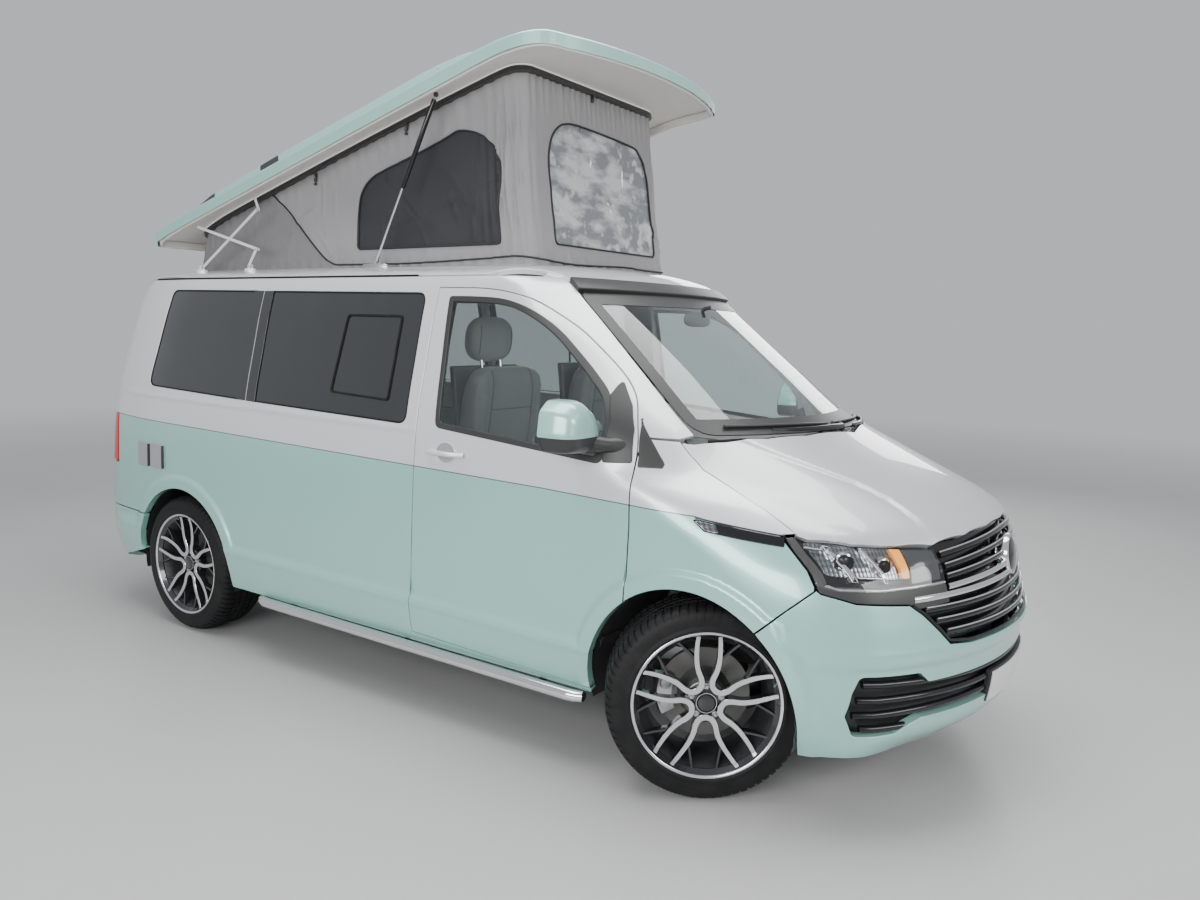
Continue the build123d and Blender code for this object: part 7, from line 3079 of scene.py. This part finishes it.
@dataclass
class Cabin:
    """Seats, bench and what shows of the dashboard."""

    seat_x: float = 0.560
    seat_y: float = 0.400

    def build(self) -> None:
        """Makes everything inside the van."""
        seams = tuple(tuple((x, s * (0.60 - 0.06 * x * x)) for x in np.linspace(-0.93, 0.93, 7)) for s in (-1, 1))
        seams += tuple(((v, -0.58), (v, 0.0), (v, 0.58)) for v in (-0.30, 0.30))
        head_seams = tuple(((-0.6, s * 0.72), (0.0, s * 0.76), (0.6, s * 0.72)) for s in (-1, 1))
        for side in Side:
            y, word = side.value * self.seat_y, side.word
            Pad(f"seat_cushion_{word}", (self.seat_x + 0.010, y, 0.858), (0.250, 0.245, 0.058), 3.0, 0.018,
                seams=seams).build()
            Pad(f"seat_back_{word}", (self.seat_x - 0.325, y, 1.195), (0.285, 0.240, 0.055), 98.0, 0.016,
                seams=seams).build()
            Pad(f"head_rest_{word}", (self.seat_x - 0.388, y, 1.580), (0.108, 0.142, 0.056), 96.0, 0.0, 2.7,
                seams=head_seams, cells=14, voxel=0.008, cap=0.006, finish=Finishes.bolster).build()
            self.frame(y, word)
        rows = (((-0.98, 0.0), (0.98, 0.0)), ((-0.9, -0.34), (0.9, -0.34)), ((-0.9, 0.34), (0.9, 0.34)))
        for name, middle, half, lean in (("bench_cushion", (-1.300, 0.0, 0.900), (0.255, 0.545, 0.060), 2.0),
                                         ("bench_back", (-1.540, 0.0, 1.210), (0.290, 0.545, 0.055), 100.0)):
            Pad(name, middle, half, lean, 0.0, 5.0, seams=rows, voxel=0.014).build()
        base = prism("bench_base", ((-1.555, 0.50), (-1.005, 0.50), (-1.005, 0.838), (-1.555, 0.838)), -0.555, 0.555,
                     "side", 0.008)
        finish_piece(base, "chassis", (Finishes.laminate,), ["rear_bench"])
        self.dash_details()

    def frame(self, y: float, word: str) -> None:
        """Makes the base, the back shell and the head rest posts of one seat.

        Args:
            y: Middle of the seat.
            word: Side in words.
        """
        parts = []
        base = prism("base", ((self.seat_x - 0.215, 0.50), (self.seat_x + 0.215, 0.50), (self.seat_x + 0.190, 0.800),
                              (self.seat_x - 0.190, 0.800)), y - 0.195, y + 0.195, "side", 0.015)
        parts.append(tinted(base, Finishes.trim))
        shell = prism("shell", ((self.seat_x - 0.365, 0.92), (self.seat_x - 0.345, 0.92),
                                (self.seat_x - 0.395, 1.46), (self.seat_x - 0.430, 1.46)), y - 0.225, y + 0.225,
                      "side", 0.012)
        parts.append(tinted(shell, Finishes.trim))
        for off in (-0.065, 0.065):
            post = [(self.seat_x - 0.372, y + off, 1.445), (self.seat_x - 0.385, y + off, 1.560)]
            parts.append(tinted(tube("post", post, 0.006, 12), Finishes.chrome))
        for sign in (-1, 1):
            knob = tube("knob", [(self.seat_x - 0.27, y + sign * 0.232, 0.868), (self.seat_x - 0.27,
                                                                                 y + sign * 0.248, 0.868)], 0.036, 24)
            parts.append(tinted(round_edges(knob, 0.003), Finishes.plastic))
        finish_piece(joined(f"seat_frame_{word}", parts), "chassis", (), ["front_seats"])

    def dash_details(self) -> None:
        """Makes the instrument hood, the screen, the vents and the inner mirror."""
        parts = []
        hood = prism("hood", ((1.150, 1.075), (1.155, 1.150), (1.200, 1.172), (1.290, 1.160), (1.330, 1.120)),
                     -0.560, -0.210, "side", 0.012, 0.015)
        parts.append(tinted(hood, Finishes.trim))
        screen = moved(box_of("screen", (-0.010, -0.130, -0.080), (0.010, 0.130, 0.080), 0.006),
                       Matrix.Translation((1.128, 0.02, 1.060)) @ Matrix.Rotation(math.radians(12), 4, "Y"))
        parts.append(tinted(screen, Finishes.gloss_black))
        for y in (-0.700, -0.170, 0.210, 0.700):
            turn = Matrix.Translation((1.134, y, 0.985)) @ Matrix.Rotation(math.radians(8), 4, "Y")
            vent = box_of("vent", (-0.008, -0.055, -0.028), (0.012, 0.055, 0.028), 0.004)
            parts.append(tinted(moved(vent, turn), Finishes.gloss_black))
            for z in (-0.016, 0.0, 0.016):
                slat = box_of("slat", (-0.012, -0.050, z - 0.002), (0.0, 0.050, z + 0.002), 0.001)
                parts.append(tinted(moved(slat, turn), Finishes.satin_alloy))
        line = tube("line", [(1.137, -0.760, 1.030), (1.137, 0.0, 1.030), (1.137, 0.760, 1.030)], 0.004, 8)
        parts.append(tinted(line, Finishes.satin_alloy))
        slot = [(1.335, y, 1.132) for y in np.linspace(-0.70, 0.70, 9)]
        parts.append(tinted(tube("slot", slot, 0.010, 8, 0.3), Finishes.gloss_black))
        x = BODY.raw(BODY.s_at_y(np.array([0.0]), np.array([1.70]), True), np.array([1.70]))[0][0]
        mirror = Pad("inner_mirror", (x - 0.085, 0.0, 1.690), (0.012, 0.118, 0.033), 0.0, 0.0, 3.0, cells=10).shape()
        parts.append(tinted(moved(mirror, Matrix.Translation((x - 0.085, 0.0, 1.690))), Finishes.plastic))
        stalk = curve_points([(x - 0.080, 0.0, 1.700), (x - 0.055, 0.0, 1.735), (x - 0.022, 0.0, 1.745)], 4)
        parts.append(tinted(tube("stalk", stalk, 0.009, 12), Finishes.plastic))
        finish_piece(joined("dashboard_details", parts), "chassis", ())


@dataclass
class RearDetails:
    """Plate, handle, high lamp, wiper, reflectors and lower valance of the rear."""

    def build(self) -> None:
        """Makes the small pieces on the tailgate and the bumper."""
        parts = []
        for finish, half, low, high, lift, hem, corner in (
                (Finishes.plastic, 0.262, 0.868, 0.984, -0.016, 0.004, 0.006),
                (Finishes.plate, 0.258, 0.872, 0.980, -0.010, 0.001, 0.005),
                (Finishes.gloss_black, 0.330, 1.050, 1.092, 0.016, 0.008, 0.014),
                (Finishes.red_lens, 0.170, 1.774, 1.790, 0.010, 0.003, 0.004),
                (Finishes.chrome, 0.060, 1.120, 1.126, 0.006, 0.002, 0.002)):
            line = ((-half, low), (half, low), (half, high), (-half, high))
            parts.append(applied("part", end_line(line, False, 0.04, corner), around(False, lift), 0.014, hem,
                                 finish))
        parts += self.wiper()
        finish_piece(joined("tailgate_details", parts), "tailgate", ())
        parts = []
        for side in Side:
            line = [(side.value * y, z) for y, z in ((0.600, 0.405), (0.735, 0.405), (0.735, 0.430), (0.600, 0.430))]
            parts.append(applied("reflector", end_line(line, False, 0.04, 0.005), around(False, 0.003), 0.006, 0.002,
                                 Finishes.red_lens))
        valance = end_line(((-0.640, 0.222), (0.640, 0.222), (0.600, 0.335), (-0.600, 0.335)), False, 0.05, 0.02)
        parts.append(applied("valance", valance, around(False, 0.004), 0.010, 0.004, Finishes.plastic))
        finish_piece(joined("rear_bumper_details", parts), "chassis", ())

    def wiper(self) -> list[bpy.types.Object]:
        """Arm, blade and cap of the rear wiper.

        Returns:
            Its parts.
        """
        place = around(False, 0.0)

        def over(u: np.ndarray, z: np.ndarray, lift: float) -> np.ndarray:
            """Points at a distance from the tailgate."""
            spots, far = place(u, z), around(False, 0.01)(u, z)
            return spots + (far - spots) / 0.01 * lift

        t = np.linspace(0, 1, 12)
        arm = over(-0.02 + 0.30 * t, 1.228 + 0.055 * t, 0.020)
        blade = over(0.06 + 0.38 * t, 1.290 + 0.012 * np.sin(t * 3.1), 0.010)
        cap = lathe("cap", ((0.0005, 0.022), (0.016, 0.020), (0.022, 0.012), (0.024, -0.004), (0.0005, -0.004)), 24)
        spot = over(np.array([-0.02]), np.array([1.226]), 0.0)[0]
        made = [tube("arm", arm, 0.009, 12, 0.5, np.linspace(1.3, 0.7, 12), across=(1, 0, 0)),
                tube("blade", blade, 0.006, 8, 1.3, across=(1, 0, 0)),
                moved(cap, Matrix.Translation(spot) @ Matrix.Rotation(math.radians(-90), 4, "Y"))]
        return [tinted(part, Finishes.plastic) for part in made]


@dataclass
class SideDetails:
    """Sliding door's rail and handle, and the strips along and below the roof's joints."""

    rail_ends: tuple = (-2.02, -0.95)
    rail_drop: float = 0.012
    joint_ends: tuple = (-1.95, 0.10)
    joint: float = 1.8485
    foot: float = 1.786
    gutters: tuple = (("roof_gutter_rear", False, -2.02, 1.876), ("roof_gutter_front", True, 0.72, 1.862))

    def build(self) -> None:
        """Makes the pieces on both sides."""
        x = np.linspace(*self.rail_ends, 30)
        z = np.interp(x, *zip(*WAIST)) - self.rail_drop
        rail = tube("rail", on_body(Side.LEFT, 0.0, False)(BODY.s_at_x(x, z), z), 0.0075, 10, 0.6)
        finish_piece(tinted(rail, Finishes.plastic), "chassis", ())
        rail.name = "sliding_rail"
        door_handle(Side.LEFT, 0.080, "sliding_door_handle", "chassis")
        for name, front, end, top in self.gutters:
            half = end_face_run([(0.0, self.foot), (0.60, self.foot)], front)
            half += end_side_run([(end, self.foot), (end, top)], front)
            half += end_face_run([(0.58, top), (0.0, top)], front)
            under = applied(name, tidy_line(both(half)), around(front, -0.012), 0.006, 0.002, Finishes.paint)
            finish_piece(under, "chassis", ())
        for side in Side:
            x = np.linspace(*self.joint_ends, 50)
            z = 0 * x + self.joint
            strip = tube("strip", on_body(side, -0.001, False)(BODY.s_at_x(x, z), z), 0.0042, 8)
            strip.name = f"roof_joint_{side.word}"
            finish_piece(tinted(strip, Finishes.rubber), "chassis", ())


def door_handle(side: Side, middle: float, name: str, body: str) -> None:
    """Makes a door's oval cup, filled in a darker grey as painted shade of its dish, and grip bar.

    Args:
        side: Side of the van.
        middle: Place along the van.
        name: Name of the piece.
        body: Body that it rides on.
    """
    cup_painted_shade = side_line([(middle + 0.052 * math.cos(a), 1.128 + 0.042 * math.sin(a))
                     for a in np.linspace(0, 2 * math.pi, 25)[:-1]])
    # The cup is a flat patch in the vents' darker grey: painted shade where a real dish would be shaded.
    thing = applied("cup_painted_shade", cup_painted_shade, on_body(side, 0.0018, False), 0.003, 0.002, Finishes.vent_grey)
    edge = on_body(side, 0.0032, False)(*np.concatenate([cup_painted_shade, cup_painted_shade[:2]]).T)
    line = tinted(tube("line", edge, 0.0020, 6), Finishes.paint)
    x = middle + np.linspace(-0.097, 0.097, 12)
    z = 1.130 - 0.04 * np.abs(x - middle)
    out = (0.004, 0.018, 0.030, 0.036, 0.039, 0.040, 0.040, 0.039, 0.036, 0.030, 0.018, 0.004)
    s = BODY.s_at_x(x, z)
    path = [on_body(side, o, False)(s[k:k + 1], z[k:k + 1])[0] for k, o in enumerate(out)]
    grip = tinted(tube("grip", path, 0.0135, 14, 0.80), Finishes.paint)
    finish_piece(joined(name, [thing, line, grip]), body, ())


def main() -> None:
    """Builds the van piece by piece."""
    logging.basicConfig(level=logging.INFO, format="%(message)s")
    Studio().build()
    parts = [SideWalls(), FrontDoor(Side.RIGHT), FrontDoor(Side.LEFT), Windscreen(), FrontEnd(), Bonnet(),
             RearEnd(), RearDetails(), Roof(), SideDetails(), Wheels(), WheelHouses(), Mirror(Side.RIGHT),
             Mirror(Side.LEFT), PopTop(), Tent(PopTop()), RoofLinks(), SideBars(), Cowl(), Cabin()]
    for part in parts:
        part.build()
        LOG.info("%s made", type(part).__name__)
    dress_nodes()


def dress_nodes() -> None:
    """Gives every carried-over node the finish of its slot."""
    by_slot = {"paint": Finishes.paint, "shell": Finishes.mint, "glass": Finishes.clear_glass,
               "dark_glass": Finishes.dark_glass, "cast": Finishes.cast, "tyre": Finishes.tyre,
               "alloy": Finishes.barrel, "lens": Finishes.lens, "red_lens": Finishes.red_lens,
               "black_plastic": Finishes.plastic, "steel": Finishes.chassis, "fabric": Finishes.seat_cloth,
               "wood": Finishes.laminate, "chrome": Finishes.chrome, "canvas": Finishes.canvas,
               "aluminium": Finishes.satin_alloy, "steel_black": Finishes.plastic,
               "white_steel": Finishes.white_steel}
    slots = {part["node"]: part["material_slot"] for part in frame["record"]["subparts"]}
    for name, thing in frame["nodes"].items():
        finish = by_slot[slots[name]]
        thing.data.materials.clear()
        thing.data.materials.append(finish.material())


if __name__ == "__main__":
    main()
